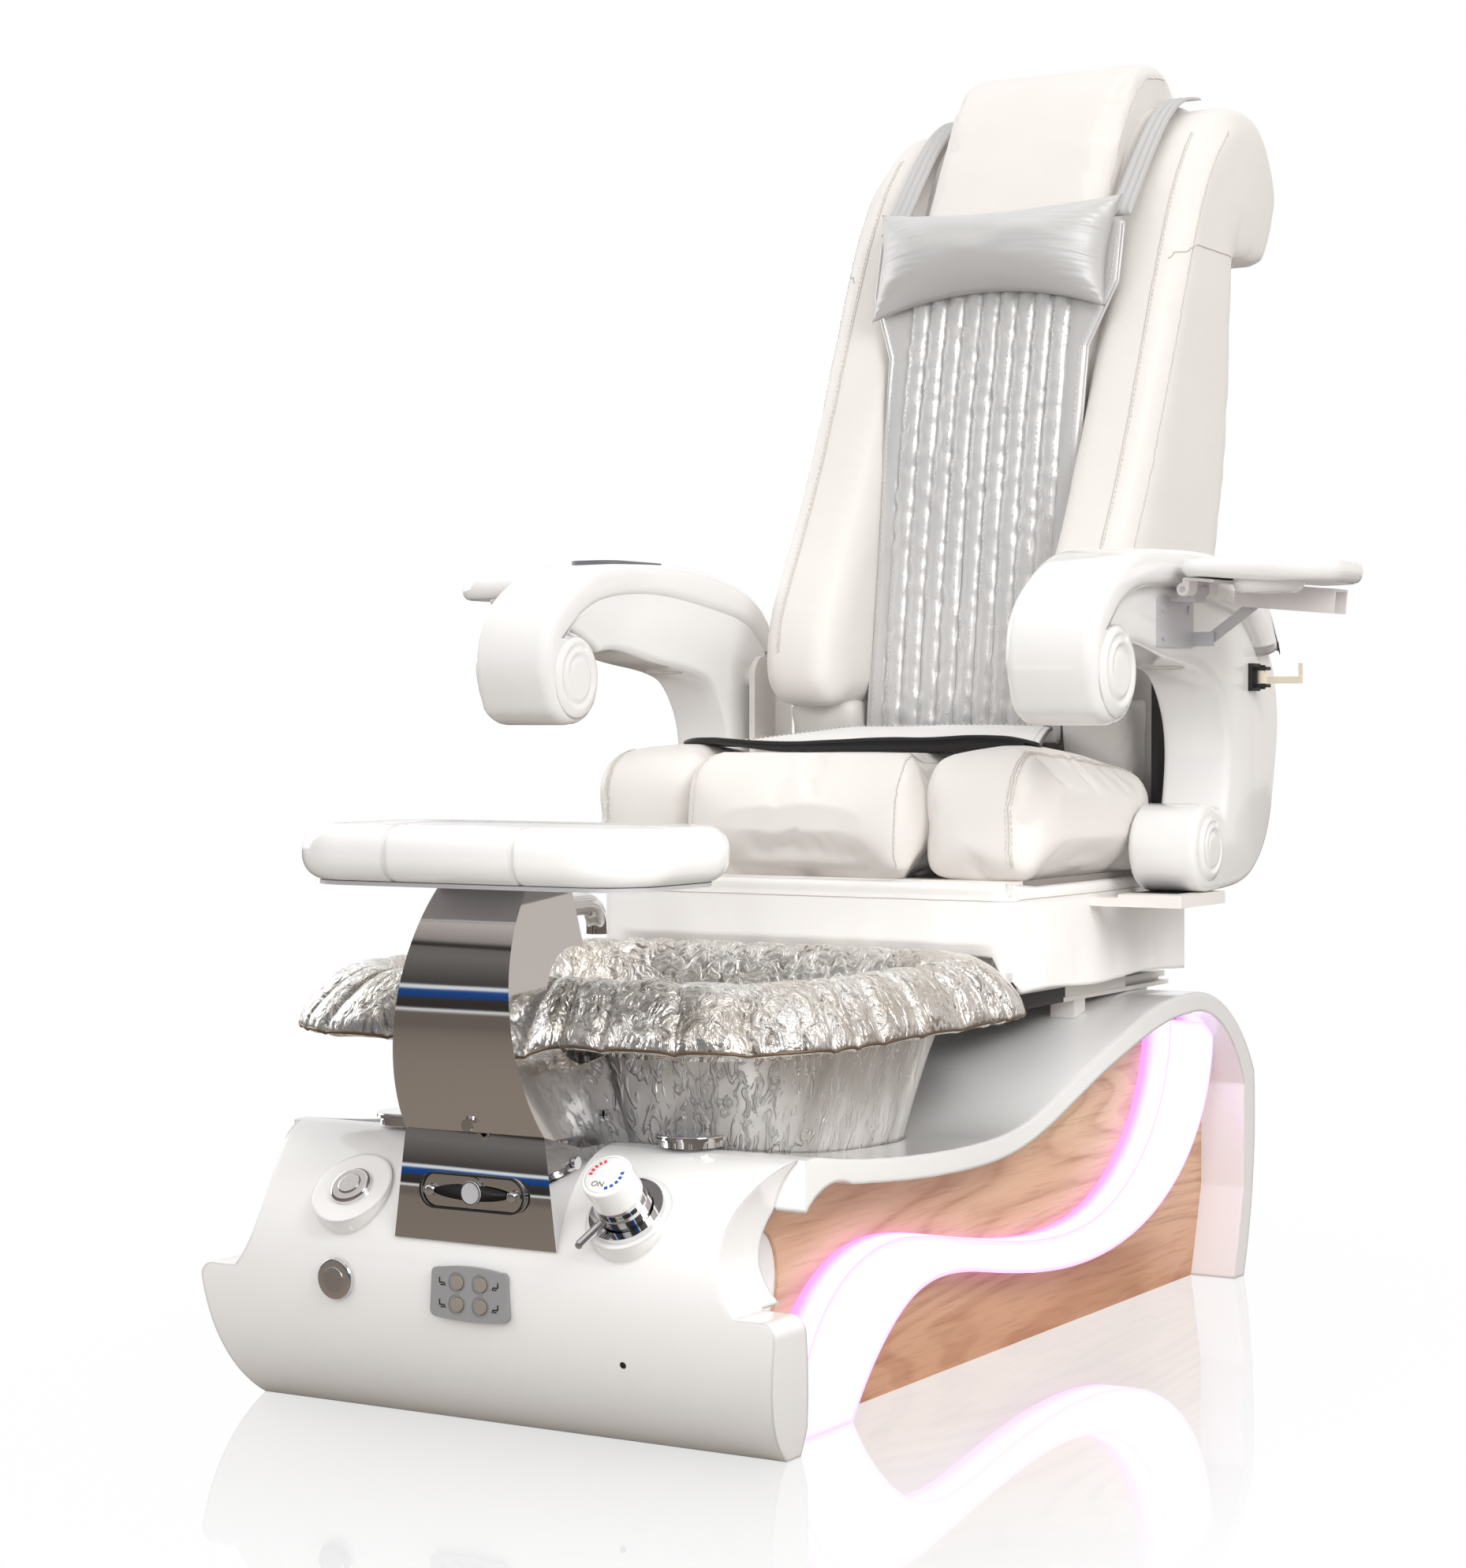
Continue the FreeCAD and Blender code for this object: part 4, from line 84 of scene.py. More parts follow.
class ChairSizes(bpy.types.PropertyGroup):
    piping: FloatProperty(name="Piping", description="Radius of the welts", default=0.0022, unit="LENGTH")
    stitch: FloatProperty(name="Stitch", description="Length of one stitch", default=0.005, unit="LENGTH")
    stitch_gap: FloatProperty(name="Stitch pitch", description="From one stitch to the next", default=0.0072,
                              unit="LENGTH")
    flutes: IntProperty(name="Flutes", description="Flutes in the bowl's lip", default=34)
    channels: IntProperty(name="Channels", description="Sewn channels in the cover", default=9)
    lens: FloatProperty(name="Lens", description="Focal length of the camera in millimetres", default=73.07)


def colours():
    """Colours set in the panel."""
    return bpy.context.scene.chair_colours


def sizes():
    """Sizes set in the panel."""
    return bpy.context.scene.chair_sizes


# Node helpers


class Tree:
    """Short hand for building a node tree."""

    def __init__(self, tree):
        self.tree = tree
        self.nodes = tree.nodes
        self.links = tree.links

    def add(self, kind, inputs=None, **settings):
        node = self.nodes.new(kind)
        for name, value in settings.items():
            setattr(node, name, value)
        for name, value in (inputs or {}).items():
            self.feed(node.inputs[name], value)
        return node

    def feed(self, socket, value):
        if isinstance(value, bpy.types.NodeSocket):
            self.links.new(value, socket)
        elif isinstance(value, (tuple, list)) and len(value) == 3 and socket.type == "RGBA":
            socket.default_value = (*value, 1.0)
        else:
            socket.default_value = value

    def shade(self, **sockets):
        """Values and links for the Principled shader."""
        for key, value in sockets.items():
            self.feed(self.shader.inputs[key.replace("_", " ")], value)

    def position(self, scale=(1, 1, 1)):
        """Object-space point, stretched by scale."""
        coords = self.add("ShaderNodeTexCoord")
        mapping = self.add("ShaderNodeMapping", {"Vector": coords.outputs["Object"], "Scale": scale})
        return mapping.outputs["Vector"]

    def axes(self, space="Object"):
        """X, Y and Z of the shaded point."""
        coords = self.add("ShaderNodeTexCoord")
        split = self.add("ShaderNodeSeparateXYZ", {"Vector": coords.outputs[space]})
        return [split.outputs[axis] for axis in "XYZ"]

    def noise(self, scale, detail=4.0, stretch=(1, 1, 1), roughness=0.5, distortion=0.0):
        node = self.add("ShaderNodeTexNoise", {"Vector": self.position(stretch), "Scale": scale, "Detail": detail,
                                               "Roughness": roughness, "Distortion": distortion})
        return node.outputs["Fac"]

    def ramp(self, fac, *stops):
        """Colour ramp; a stop's colour may be one grey value."""
        node = self.add("ShaderNodeValToRGB", {"Fac": fac})
        elements = node.color_ramp.elements
        elements.remove(elements[-1])
        elements[0].position = stops[0][0]
        for place, colour in stops:
            element = elements.new(place) if place > stops[0][0] else elements[0]
            element.color = (*colour, 1.0) if isinstance(colour, tuple) else (colour, colour, colour, 1.0)
        return node.outputs["Color"]

    def mix(self, fac, a, b, blend="MIX"):
        node = self.add("ShaderNodeMix", data_type="RGBA", blend_type=blend)
        for name, value in (("Factor", fac), ("A", a), ("B", b)):
            self.feed(node.inputs[name], value)
        return node.outputs["Result"]

    def math(self, operation, *values):
        node = self.add("ShaderNodeMath", dict(enumerate(values)), operation=operation)
        return node.outputs["Value"]

    def scaled(self, value, gain, offset):
        """Value times gain, plus offset."""
        return self.math("MULTIPLY_ADD", value, gain, offset)

    def bump(self, height, strength, distance, normal=None):
        node = self.add("ShaderNodeBump", {"Height": height, "Strength": strength, "Distance": distance})
        if normal is not None:
            self.links.new(normal, node.inputs["Normal"])
        return node.outputs["Normal"]

    def group(self, name, **inputs):
        node = self.add("ShaderNodeGroup", node_tree=bpy.data.node_groups[name])
        for key, value in inputs.items():
            self.feed(node.inputs[key.replace("_", " ")], value)
        return node

    def tint(self, colour, amount, scale):
        """Base colour with a gentle cloudiness."""
        tone = self.group("Soft Tone", Color=(*colour, 1.0), Amount=amount, Scale=scale)
        self.shade(Base_Color=tone.outputs["Color"])


def new_material(name, **principled):
    """Tree of a new material; constant values sit on its Principled shader's own sockets."""
    material = bpy.data.materials.new(name)
    material.use_nodes = True
    tree = Tree(material.node_tree)
    tree.shader = tree.nodes["Principled BSDF"]
    tree.shade(**principled)
    return tree


def new_group(name, inputs, outputs):
    """A shader node group with named sockets."""
    group = bpy.data.node_groups.new(name, "ShaderNodeTree")
    for label, kind, default in inputs:
        socket = group.interface.new_socket(label, in_out="INPUT", socket_type=kind)
        socket.default_value = default
    for label, kind in outputs:
        group.interface.new_socket(label, in_out="OUTPUT", socket_type=kind)
    tree = Tree(group)
    return tree, tree.add("NodeGroupInput").outputs, tree.add("NodeGroupOutput").inputs


def leather_grain_group():
    """Pebbled hide: a height of cells and fine creases, and a mask for colour."""
    tree, given, out = new_group("Leather Grain", [("Cells", "NodeSocketFloat", 900.0),
                                                   ("Creases", "NodeSocketFloat", 14.0)],
                                 [("Height", "NodeSocketFloat"), ("Mask", "NodeSocketFloat")])
    where = tree.position()
    cells = tree.add("ShaderNodeTexVoronoi", {"Vector": where, "Scale": given["Cells"]}, feature="SMOOTH_F1")
    crease = tree.add("ShaderNodeTexNoise", {"Vector": where, "Scale": given["Creases"], "Detail": 6.0,
                                             "Distortion": 0.6})
    tree.links.new(tree.scaled(cells.outputs["Distance"], 0.25, crease.outputs["Fac"]), out["Height"])
    tree.links.new(crease.outputs["Fac"], out["Mask"])


def soft_tone_group():
    """Gentle cloudiness of a colour, as on any moulded or sewn surface."""
    tree, given, out = new_group("Soft Tone", [("Color", "NodeSocketColor", (0.8, 0.8, 0.8, 1)),
                                               ("Amount", "NodeSocketFloat", 0.06),
                                               ("Scale", "NodeSocketFloat", 6.0)],
                                 [("Color", "NodeSocketColor"), ("Mask", "NodeSocketFloat")])
    cloud = tree.add("ShaderNodeTexNoise", {"Vector": tree.position(), "Scale": given["Scale"], "Detail": 5.0})
    swing = tree.math("MULTIPLY", tree.math("SUBTRACT", cloud.outputs["Fac"], 0.5), given["Amount"])
    scaled = tree.add("ShaderNodeVectorMath", {0: given["Color"], "Scale": tree.math("ADD", swing, 1.0)},
                      operation="SCALE")
    tree.links.new(scaled.outputs["Vector"], out["Color"])
    tree.links.new(cloud.outputs["Fac"], out["Mask"])


def fine_scratch_group():
    """Fine directional scratches for polished and brushed metal."""
    tree, given, out = new_group("Fine Scratches", [("Scale", "NodeSocketFloat", 60.0),
                                                    ("Stretch", "NodeSocketVector", (1.0, 1.0, 40.0))],
                                 [("Height", "NodeSocketFloat")])
    lines = tree.add("ShaderNodeTexNoise", {"Vector": tree.position(given["Stretch"]), "Scale": given["Scale"],
                                            "Detail": 3.0})
    tree.links.new(lines.outputs["Fac"], out["Height"])


# Finishes

CHROME = (0.80, 0.80, 0.81)
ROLL_START = 0.222
ROLL_BEND = 3.4
BAND_INNER = 0.243
BAND_DEPTH = 0.034
BAND_WHITE = (1.12, 1.0, 1.15)


def moulded(name, roughness, coat=0.5, edge=0.002):
    """White gelcoat or moulded plastic with a faint orange peel and soft edges."""
    tree = new_material(name, Roughness=roughness, Coat_Weight=coat, Coat_Roughness=0.04)
    tree.tint(colours().gelcoat, 0.03, 5.0)
    round_edges = tree.add("ShaderNodeBevel", {"Radius": edge}, samples=4)
    tree.shade(Normal=tree.bump(tree.noise(380.0, 2.0), 0.05, 0.0004, round_edges.outputs["Normal"]))


def hide(name, colour, roughness, metallic=0.0, grain=0.35, sheen=0.1, wrinkle=0.25, gain=1.0):
    """Upholstery leather: grain, soft creases and a little tone; gain lightens or darkens it, and on the flap it is
    painted light.
    """
    tree = new_material(name, Metallic=metallic, Sheen_Weight=sheen, Sheen_Roughness=0.5)
    tree.tint([v * gain for v in colour], 0.07, 7.0)
    pebbles = tree.group("Leather Grain", Cells=950.0, Creases=16.0)
    folds = tree.bump(tree.noise(9.0, 3.0), wrinkle, 0.006)
    tree.shade(Roughness=tree.scaled(pebbles.outputs["Mask"], 0.16, roughness - 0.08),
               Normal=tree.bump(pebbles.outputs["Height"], grain, 0.0006, folds))


def mirror_chrome():
    """Bright plated metal with faint waves and scratches."""
    tree = new_material("mirror_chrome", Metallic=1.0)
    tree.tint(CHROME, 0.05, 4.0)
    scratch = tree.group("Fine Scratches", Scale=30.0)
    tree.shade(Roughness=tree.scaled(scratch.outputs["Height"], 0.05, 0.03),
               Normal=tree.bump(tree.noise(3.0, 1.0), 0.25, 0.01))


def rolled_chrome():
    """Chrome of the foot bracket, whose upper part rolls back towards the deck."""
    tree = new_material("rolled_chrome", Metallic=1.0, Roughness=0.05)
    tree.tint(CHROME, 0.05, 4.0)
    above = tree.math("MAXIMUM", tree.math("SUBTRACT", tree.axes()[2], ROLL_START), 0.0)
    roll = tree.math("MULTIPLY", tree.math("MULTIPLY", above, above), -ROLL_BEND)
    tree.shade(Normal=tree.bump(roll, 1.0, 1.0, tree.bump(tree.noise(3.0, 1.0), 0.25, 0.01)))


def satin_steel():
    """Brushed steel of the push buttons."""
    tree = new_material("satin_steel", Metallic=1.0)
    tree.tint((0.72, 0.72, 0.73), 0.12, 9.0)
    scratch = tree.group("Fine Scratches", Scale=90.0).outputs["Height"]
    tree.shade(Roughness=tree.scaled(scratch, 0.25, 0.16), Normal=tree.bump(scratch, 0.2, 0.0003))


def foil(name, colour, dark, stretch, strength, roughness):
    """Crinkled silver leaf under clear resin, its creases running down the lip."""
    tree = new_material(name, Metallic=0.93, Coat_Weight=0.3, Coat_Roughness=0.08)
    bark = tree.noise(58.0, 4.0, (1.0, 1.0, stretch), 0.5, 1.6)
    fine = tree.add("ShaderNodeTexVoronoi", {"Vector": tree.position((1.0, 1.0, stretch)), "Scale": 190.0},
                    feature="SMOOTH_F1").outputs["Distance"]
    base = tree.ramp(bark, (0.28, dark), (0.42, colour), (1.0, colour))
    cloud = tree.ramp(tree.noise(14.0, 4.0), (0.32, (0.80, 0.76, 0.70)), (0.58, 1.0))
    tree.shade(Base_Color=tree.mix(0.9, base, cloud, "MULTIPLY"), Roughness=tree.scaled(fine, 0.2, roughness),
               Normal=tree.bump(fine, 0.22, 0.002, tree.bump(bark, strength, 0.009)))


def drip_silver():
    """Satin silver with fine drops that run down the bowl's body."""
    tree = new_material("bowl_body_silver", Metallic=0.78)
    streak = tree.noise(30.0, 4.0, (1.0, 1.0, 0.2))
    drops = tree.noise(105.0, 3.0, (1.0, 1.0, 0.30), 0.5, 0.9)
    tree.shade(Base_Color=tree.ramp(streak, (0.3, (0.62, 0.60, 0.58)), (0.6, (0.86, 0.845, 0.83))),
               Roughness=tree.ramp(streak, (0.3, 0.44), (0.7, 0.3)),
               Normal=tree.bump(tree.ramp(drops, (0.50, 0.0), (0.62, 1.0)), 0.8, 0.003))


def oak():
    """Pale oak laminate with long wavy grain and short pores; painted shade darkens it towards the floor."""
    tree = new_material("oak_laminate", Coat_Weight=0.25, Coat_Roughness=0.2)
    field = tree.noise(2.3, 2.0, (1.0, 0.26, 2.3), 0.3, 0.25)
    broad, narrow = (tree.math("SINE", tree.math("MULTIPLY", field, pitch), 0.0) for pitch in (210.0, 613.0))
    fibre = tree.noise(90.0, 4.0, (1.0, 0.045, 1.0), 0.55)
    grain = tree.scaled(fibre, 0.42, tree.scaled(narrow, 0.03, tree.scaled(broad, 0.10, 0.34)))
    cloud = tree.noise(4.0, 3.0, (1.0, 0.6, 2.0))
    pores = tree.noise(260.0, 3.0, (1.0, 0.05, 1.0))
    light, dark = tuple(colours().oak_light), tuple(colours().oak_dark)
    mid, low = (tuple(a + (b - a) * share for a, b in zip(light, dark)) for share in (0.34, 0.72))
    base = tree.ramp(grain, (0.36, low), (0.47, mid), (0.60, light), (0.8, light))
    # Cloud tone, painted shade that darkens the lower part towards the floor, and pores.
    for share, tone_grain_and_shade in ((0.9, tree.ramp(cloud, (0.38, (0.95, 0.90, 0.87)), (0.6, 1.0))),
                          (1.0, tree.ramp(tree.axes()[2], (0.03, (0.84, 0.70, 0.63)), (0.21, 1.0))),
                          (0.4, tree.ramp(pores, (0.36, (0.74, 0.70, 0.66)), (0.46, 1.0)))):
        base = tree.mix(share, base, tone_grain_and_shade, "MULTIPLY")
    tree.shade(Base_Color=base, Roughness=tree.ramp(pores, (0.3, 0.6), (0.6, 0.36)),
               Normal=tree.bump(pores, 0.2, 0.0005))


def glowing(name):
    """Dark diffuser, and the colour of its lit edge: magenta to lavender."""
    c = colours()
    tree = new_material(name, Base_Color=(0.12, 0.06, 0.14), Roughness=0.35, Emission_Strength=1.0)
    return tree, tree.mix(tree.noise(3.0, 2.0), tuple(c.glow), tuple(c.glow_deep))


def lit_band():
    """Diffuser of the lit bands: white on its face, coloured on its sides."""
    tree, edge = glowing("lit_band")
    from_panel = tree.math("SUBTRACT", tree.math("ABSOLUTE", tree.axes()[0], 0.0), BAND_INNER)
    face = tree.ramp(tree.math("DIVIDE", from_panel, BAND_DEPTH), (0.0, 0.0), (0.16, 0.05), (0.42, 0.75), (0.6, 1.0))
    tree.shade(Emission_Color=tree.mix(face, edge, BAND_WHITE))


def band_rim():
    """Rim of the lit band's face: lavender outside, white inside."""
    tree, edge = glowing("band_rim")
    tone = tree.add("ShaderNodeAttribute", attribute_name="rim")
    soft = tree.mix(0.45, edge, BAND_WHITE)
    tree.shade(Emission_Color=tree.mix(tone.outputs["Fac"], soft, BAND_WHITE))


def satin_skin(tree, roughness):
    """Slight grain of a painted or moulded small part."""
    grain = tree.noise(700.0, 2.0)
    tree.shade(Roughness=tree.scaled(grain, 0.12, roughness - 0.06), Normal=tree.bump(grain, 0.15, 0.0003))


def mechanism_black():
    """Black mechanism whose front, left and rear outer faces are closed off in ivory; painted shade in the seat slit.
    """
    tree = new_material("mechanism_black")
    x, y, z = tree.axes()
    aside = tree.math("ABSOLUTE", x, 0.0)

    def where(*tests):
        mask = None
        for kind, value, limit in tests:
            test = tree.math(kind, value, limit)
            mask = test if mask is None else tree.math("MULTIPLY", mask, test)
        return mask
    less, more = "LESS_THAN", "GREATER_THAN"
    areas = (where((less, y, 0.030), (less, aside, 0.262), (more, z, 0.38)),
             where((less, x, -0.225), (more, z, 0.52)),
             where((more, aside, 0.285), (more, z, 0.60)),
             where((more, aside, 0.185), (more, y, 0.21), (less, z, 0.43)),
             where((more, aside, 0.185), (less, aside, 0.275), (more, z, 0.377), (less, z, 0.487)),
             where((more, aside, 0.262), (less, y, 0.236), (less, z, 0.49)),
             where((more, aside, 0.352), (less, z, 0.49)))
    pale = areas[0]
    for area in areas[1:]:
        pale = tree.math("MAXIMUM", pale, area)
    # Painted shade: the frame's band in the slit between seat and skirt is grey-brown, standing in for the thin shadow
    # there.
    gap = where((more, z, 0.488), (less, z, 0.514), (less, aside, 0.275))
    base = tree.mix(gap, (0.018, 0.018, 0.02), (0.26, 0.235, 0.215))
    tree.shade(Base_Color=tree.mix(pale, base, tuple(colours().skirt)))
    satin_skin(tree, 0.44)


def plain(name, colour, roughness, metallic=0.0):
    """Small plain part with slight tone and texture."""
    tree = new_material(name, Metallic=metallic)
    tree.tint(colour, 0.1, 30.0)
    satin_skin(tree, roughness)


PLAIN_FINISHES = (
    # name, colour, roughness, metallic
    ("bracket_steel", (0.60, 0.59, 0.61), 0.36, 0.25),
    ("tray_underside", (0.80, 0.765, 0.76), 0.4),
    ("black_steel", (0.018, 0.018, 0.02), 0.42),
    ("pump_plastic", (0.16, 0.165, 0.175), 0.5),
    ("panel_plastic", (0.30, 0.30, 0.305), 0.42),
    ("key_taupe", (0.29, 0.255, 0.215), 0.45),
    ("mark_black", (0.015, 0.015, 0.015), 0.5),
    ("mark_red", (0.62, 0.03, 0.035), 0.5),
    ("mark_blue", (0.02, 0.09, 0.42), 0.5),
    ("hook_beige", (0.62, 0.53, 0.38), 0.4),
    ("grey_seam", (0.60, 0.565, 0.53), 0.7),
    ("thread_ivory", (0.70, 0.665, 0.61), 0.7),
    ("thread_silver", (0.74, 0.735, 0.73), 0.6),
    ("bronze_edge", (0.20, 0.14, 0.09), 0.4, 0.8),
)
KEPT_NODES = {
    "gelcoat_gloss": ("base_shell", "footrest_pad"),
    "oak_laminate": ("wood_panels",),
    "lit_band": ("led_strips",),
    "rolled_chrome": ("footrest_bracket",),
    "mirror_chrome": ("footrest_post", "faucet_spout", "valve_body", "valve_lever", "drain_knob", "diverter_knob",
                      "button_rings", "bowl_fittings", "name_plate", "bracket_bolts"),
    "black_steel": ("massage_guides", "hook_mount"),
    "mechanism_black": ("carriage_frame", "recline_drives", "base_frame", "slide_rails"),
    "pump_plastic": ("water_pump", "massage_carriage", "slide_actuator", "remote_pad"),
    "tray_underside": ("tray_plate_right", "tray_plate_left"),
    "bracket_steel": ("footrest_plate", "slide_rod", "tray_bracket_right", "tray_bracket_left", "tray_strut_right",
                      "tray_strut_left"),
    "arm_gloss": ("valve_knob",),
    "satin_steel": ("jet_button", "light_button"),
    "panel_plastic": ("control_panel",),
    "key_taupe": ("seat_forward_key", "recline_key", "seat_back_key", "upright_key"),
    "hook_beige": ("swing_hook",),
    "tray_gloss": ("grip_inserts",),
}


class SPA_OT_finishes(bpy.types.Operator):
    """Makes the finishes and gives each kept CAD node its own"""
    bl_idname = "spa.finishes"
    bl_label = "Finishes"

    def execute(self, context):
        c = colours()
        leather_grain_group()
        soft_tone_group()
        fine_scratch_group()
        moulded("gelcoat_gloss", 0.16, edge=0.006)
        moulded("arm_gloss", 0.14, 0.6)
        moulded("tray_gloss", 0.2)
        hide("ivory_hide", c.hide, 0.46)
        hide("pearl_cover", c.pearl, 0.4, 0.4, 0.2, 0.2, 0.5, gain=0.95)
        hide("pillow_pearl", c.pearl, 0.46, 0.2, 0.2, 0.2, 0.6, gain=0.78)
        hide("strap_pearl", c.pearl, 0.5, 0.25, 0.2, 0.15, 0.5, gain=0.72)
        # Painted light: the flap is the cover's pearl made lighter.
        hide("flap_pearl", c.pearl, 0.5, 0.0, 0.2, 0.15, 0.5, gain=1.22)
        hide("skirt_cloth", c.skirt, 0.55, 0.0, 0.3, 0.2, 0.5)
        hide("black_lining", (0.012, 0.012, 0.013), 0.38)
        foil("bowl_lip_foil", (0.90, 0.89, 0.865), (0.24, 0.21, 0.17), 0.45, 0.95, 0.17)
        foil("bowl_inside_foil", (0.84, 0.825, 0.795), (0.26, 0.23, 0.19), 0.8, 0.8, 0.24)
        for finish in PLAIN_FINISHES:
            plain(*finish)
        for make in (mirror_chrome, rolled_chrome, satin_steel, drip_silver, oak, lit_band, band_rim, mechanism_black):
            make()
        for name, nodes in KEPT_NODES.items():
            for node in nodes:
                paint(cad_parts[node], name)
        return {"FINISHED"}


def paint(obj, name):
    """Give an object one finish."""
    material = bpy.data.materials[name]
    slots = obj.data.materials
    for i in range(len(slots)):
        slots[i] = material
    if not slots:
        slots.append(material)


# Mesh helpers


def turn(count):
    """Angles of one full turn in equal steps."""
    return [2 * math.pi * k / count for k in range(count)]


def limited(value, low=0.0, high=1.0):
    """The value, held between two bounds."""
    return min(high, max(low, value))


def mesh_object(name, verts, faces, material, smooth=True):
    mesh = bpy.data.meshes.new(name)
    mesh.from_pydata([tuple(v) for v in verts], [], faces)
    mesh.validate()
    mesh.update()
    obj = bpy.data.objects.new(name, mesh)
    bpy.context.collection.objects.link(obj)
    if smooth:
        mesh.shade_smooth()
    paint(obj, material)
    fix_normals(obj)
    return obj


def edit_mesh(obj, work):
    """Let work change an editable copy of the mesh, and put it back."""
    bm = bmesh.new()
    bm.from_mesh(obj.data)
    work(bm)
    bm.to_mesh(obj.data)
    bm.free()


def fix_normals(obj):
    edit_mesh(obj, lambda bm: bmesh.ops.recalc_face_normals(bm, faces=bm.faces))


def apply_modifiers(obj):
    """Bake the modifiers into the mesh."""
    depsgraph = bpy.context.evaluated_depsgraph_get()
    mesh = bpy.data.meshes.new_from_object(obj.evaluated_get(depsgraph))
    obj.modifiers.clear()
    obj.data = mesh


def join(name, objects):
    """Merge objects into the first one, keeping their finishes."""
    bpy.ops.object.select_all(action="DESELECT")
    for obj in objects:
        obj.select_set(True)
    bpy.context.view_layer.objects.active = objects[0]
    bpy.ops.object.join()
    objects[0].name = name
    return objects[0]


def even_path(points, step):
    """Points at an even pitch along a polyline."""
    out = [points[0]]
    left = step
    for a, b in zip(points, points[1:]):
        length = (b - a).length
        at = left
        while at <= length:
            out.append(a.lerp(b, at / length))
            at += step
        left = at - length
    return out


def prism(name, outline, x0, x1, material, bevel=0.0, segments=4):
    """Side outline (y, z in mm) extruded across X, with rounded rims."""
    n = len(outline)
    verts = [vec(x, *p) for x in (x0, x1) for p in outline]
    faces = [tuple(range(n)), tuple(range(2 * n - 1, n - 1, -1))]
    faces += [(i, (i + 1) % n, n + (i + 1) % n, n + i) for i in range(n)]
    obj = mesh_object(name, verts, faces, material)
    if bevel:
        mod = obj.modifiers.new("rim", "BEVEL")
        mod.width = bevel * MM
        mod.segments = segments
        mod.limit_method = "ANGLE"
        mod.angle_limit = math.radians(50)
        mod.use_clamp_overlap = False
        apply_modifiers(obj)
        obj.data.shade_smooth()
    return obj


def loft(name, rings, material, caps=True):
    """Skin over closed rings of equal count."""
    n = len(rings[0])
    verts = [v for ring in rings for v in ring]
    faces = [(r + i, r + (i + 1) % n, r + n + (i + 1) % n, r + n + i)
             for r in range(0, (len(rings) - 1) * n, n) for i in range(n)]
    if caps:
        for r in (0, len(rings) - 1):
            verts.append(sum((Vector(v) for v in rings[r]), Vector()) / n)
            faces += [(r * n + i, r * n + (i + 1) % n, len(verts) - 1) for i in range(n)]
    return mesh_object(name, verts, faces, material)


def slab_faces(rows, columns, rims=True):
    """Faces of two grids, front and rear, and of the strips that join their rims."""
    wide = columns + 1
    size = (rows + 1) * wide
    faces = []
    for i in range(rows):
        for a in range(i * wide, i * wide + columns):
            faces.append((a, a + 1, a + wide + 1, a + wide))
            faces.append((size + a + wide, size + a + wide + 1, size + a + 1, size + a))
    if rims:
        faces += [(a, a + wide, size + a + wide, size + a) for i in range(rows) for a in (i * wide, i * wide + columns)]
        faces += [(a, a + 1, size + a + 1, size + a) for i in (0, rows) for a in range(i * wide, i * wide + columns)]
    return faces


def tube(name, points, radius, material, sides=8, closed=False):
    """Round tube along points in metres."""
    pts = [Vector(p) for p in points]
    n = len(pts)
    rings = []
    up = Vector((0, 0, 1))
    for i, p in enumerate(pts):
        ahead, behind = ((i + 1) % n, i - 1) if closed else (min(i + 1, n - 1), max(i - 1, 0))
        along = (pts[ahead] - pts[behind]).normalized()
        first = along.cross(up)
        if first.length < 0.1:
            first = along.cross(Vector((1, 0, 0)))
        first.normalize()
        second = along.cross(first)
        up = -second if second.dot(up) < 0 and abs(second.dot(up)) > 0.1 else up
        rings.append([p + radius * (math.cos(a) * first + math.sin(a) * second) for a in turn(sides)])
    return loft(name, rings + rings[:1] if closed else rings, material, caps=not closed)


SEAM_PITCH = 0.004
SEAM_RADIUS = 0.0008
THREAD_WIDTH = 0.0006
THREAD_HEIGHT = 0.0005


def surface_of(obj):
    """Search tree of a shown surface, modifiers included."""
    return BVHTree.FromObject(obj, bpy.context.evaluated_depsgraph_get())


def on_surface(tree, points, lift, reach=0.05):
    """Points moved onto the nearest surface and lifted off it."""
    out = []
    for p in points:
        hit, normal, _, _ = tree.find_nearest(p, reach)
        if hit is not None:
            out.append((hit + normal * lift, normal))
    return out


def seam(name, tree, points, offsets=(0.0,), thread="thread_ivory", groove=True):
    """Seam line with rows of stitches beside it, laid on a surface."""
    s = sizes()
    made = []
    if groove:
        laid = on_surface(tree, even_path(points, SEAM_PITCH), SEAM_RADIUS * 0.2)
        made.append(tube(name + "_line", [p for p, _ in laid], SEAM_RADIUS, "grey_seam", 6))
    verts, faces = [], []
    row = on_surface(tree, even_path(points, s.stitch_gap), 0.0003)
    for offset in offsets:
        for (p, normal), (q, _) in zip(row, row[1:]):
            along = q - p
            if along.length < 1e-6:
                continue
            along.normalize()
            sideways = along.cross(normal).normalized()
            add_stitch(verts, faces, p + sideways * offset, along, sideways, normal, s.stitch / 2)
    made.append(mesh_object(name + "_thread", verts, faces, thread))
    return join(name, made) if groove else made[0]


def silver_row(tree, points):
    """Stitches of the silver cover, with no groove."""
    return seam("silver_row", tree, points, thread="thread_silver", groove=False)


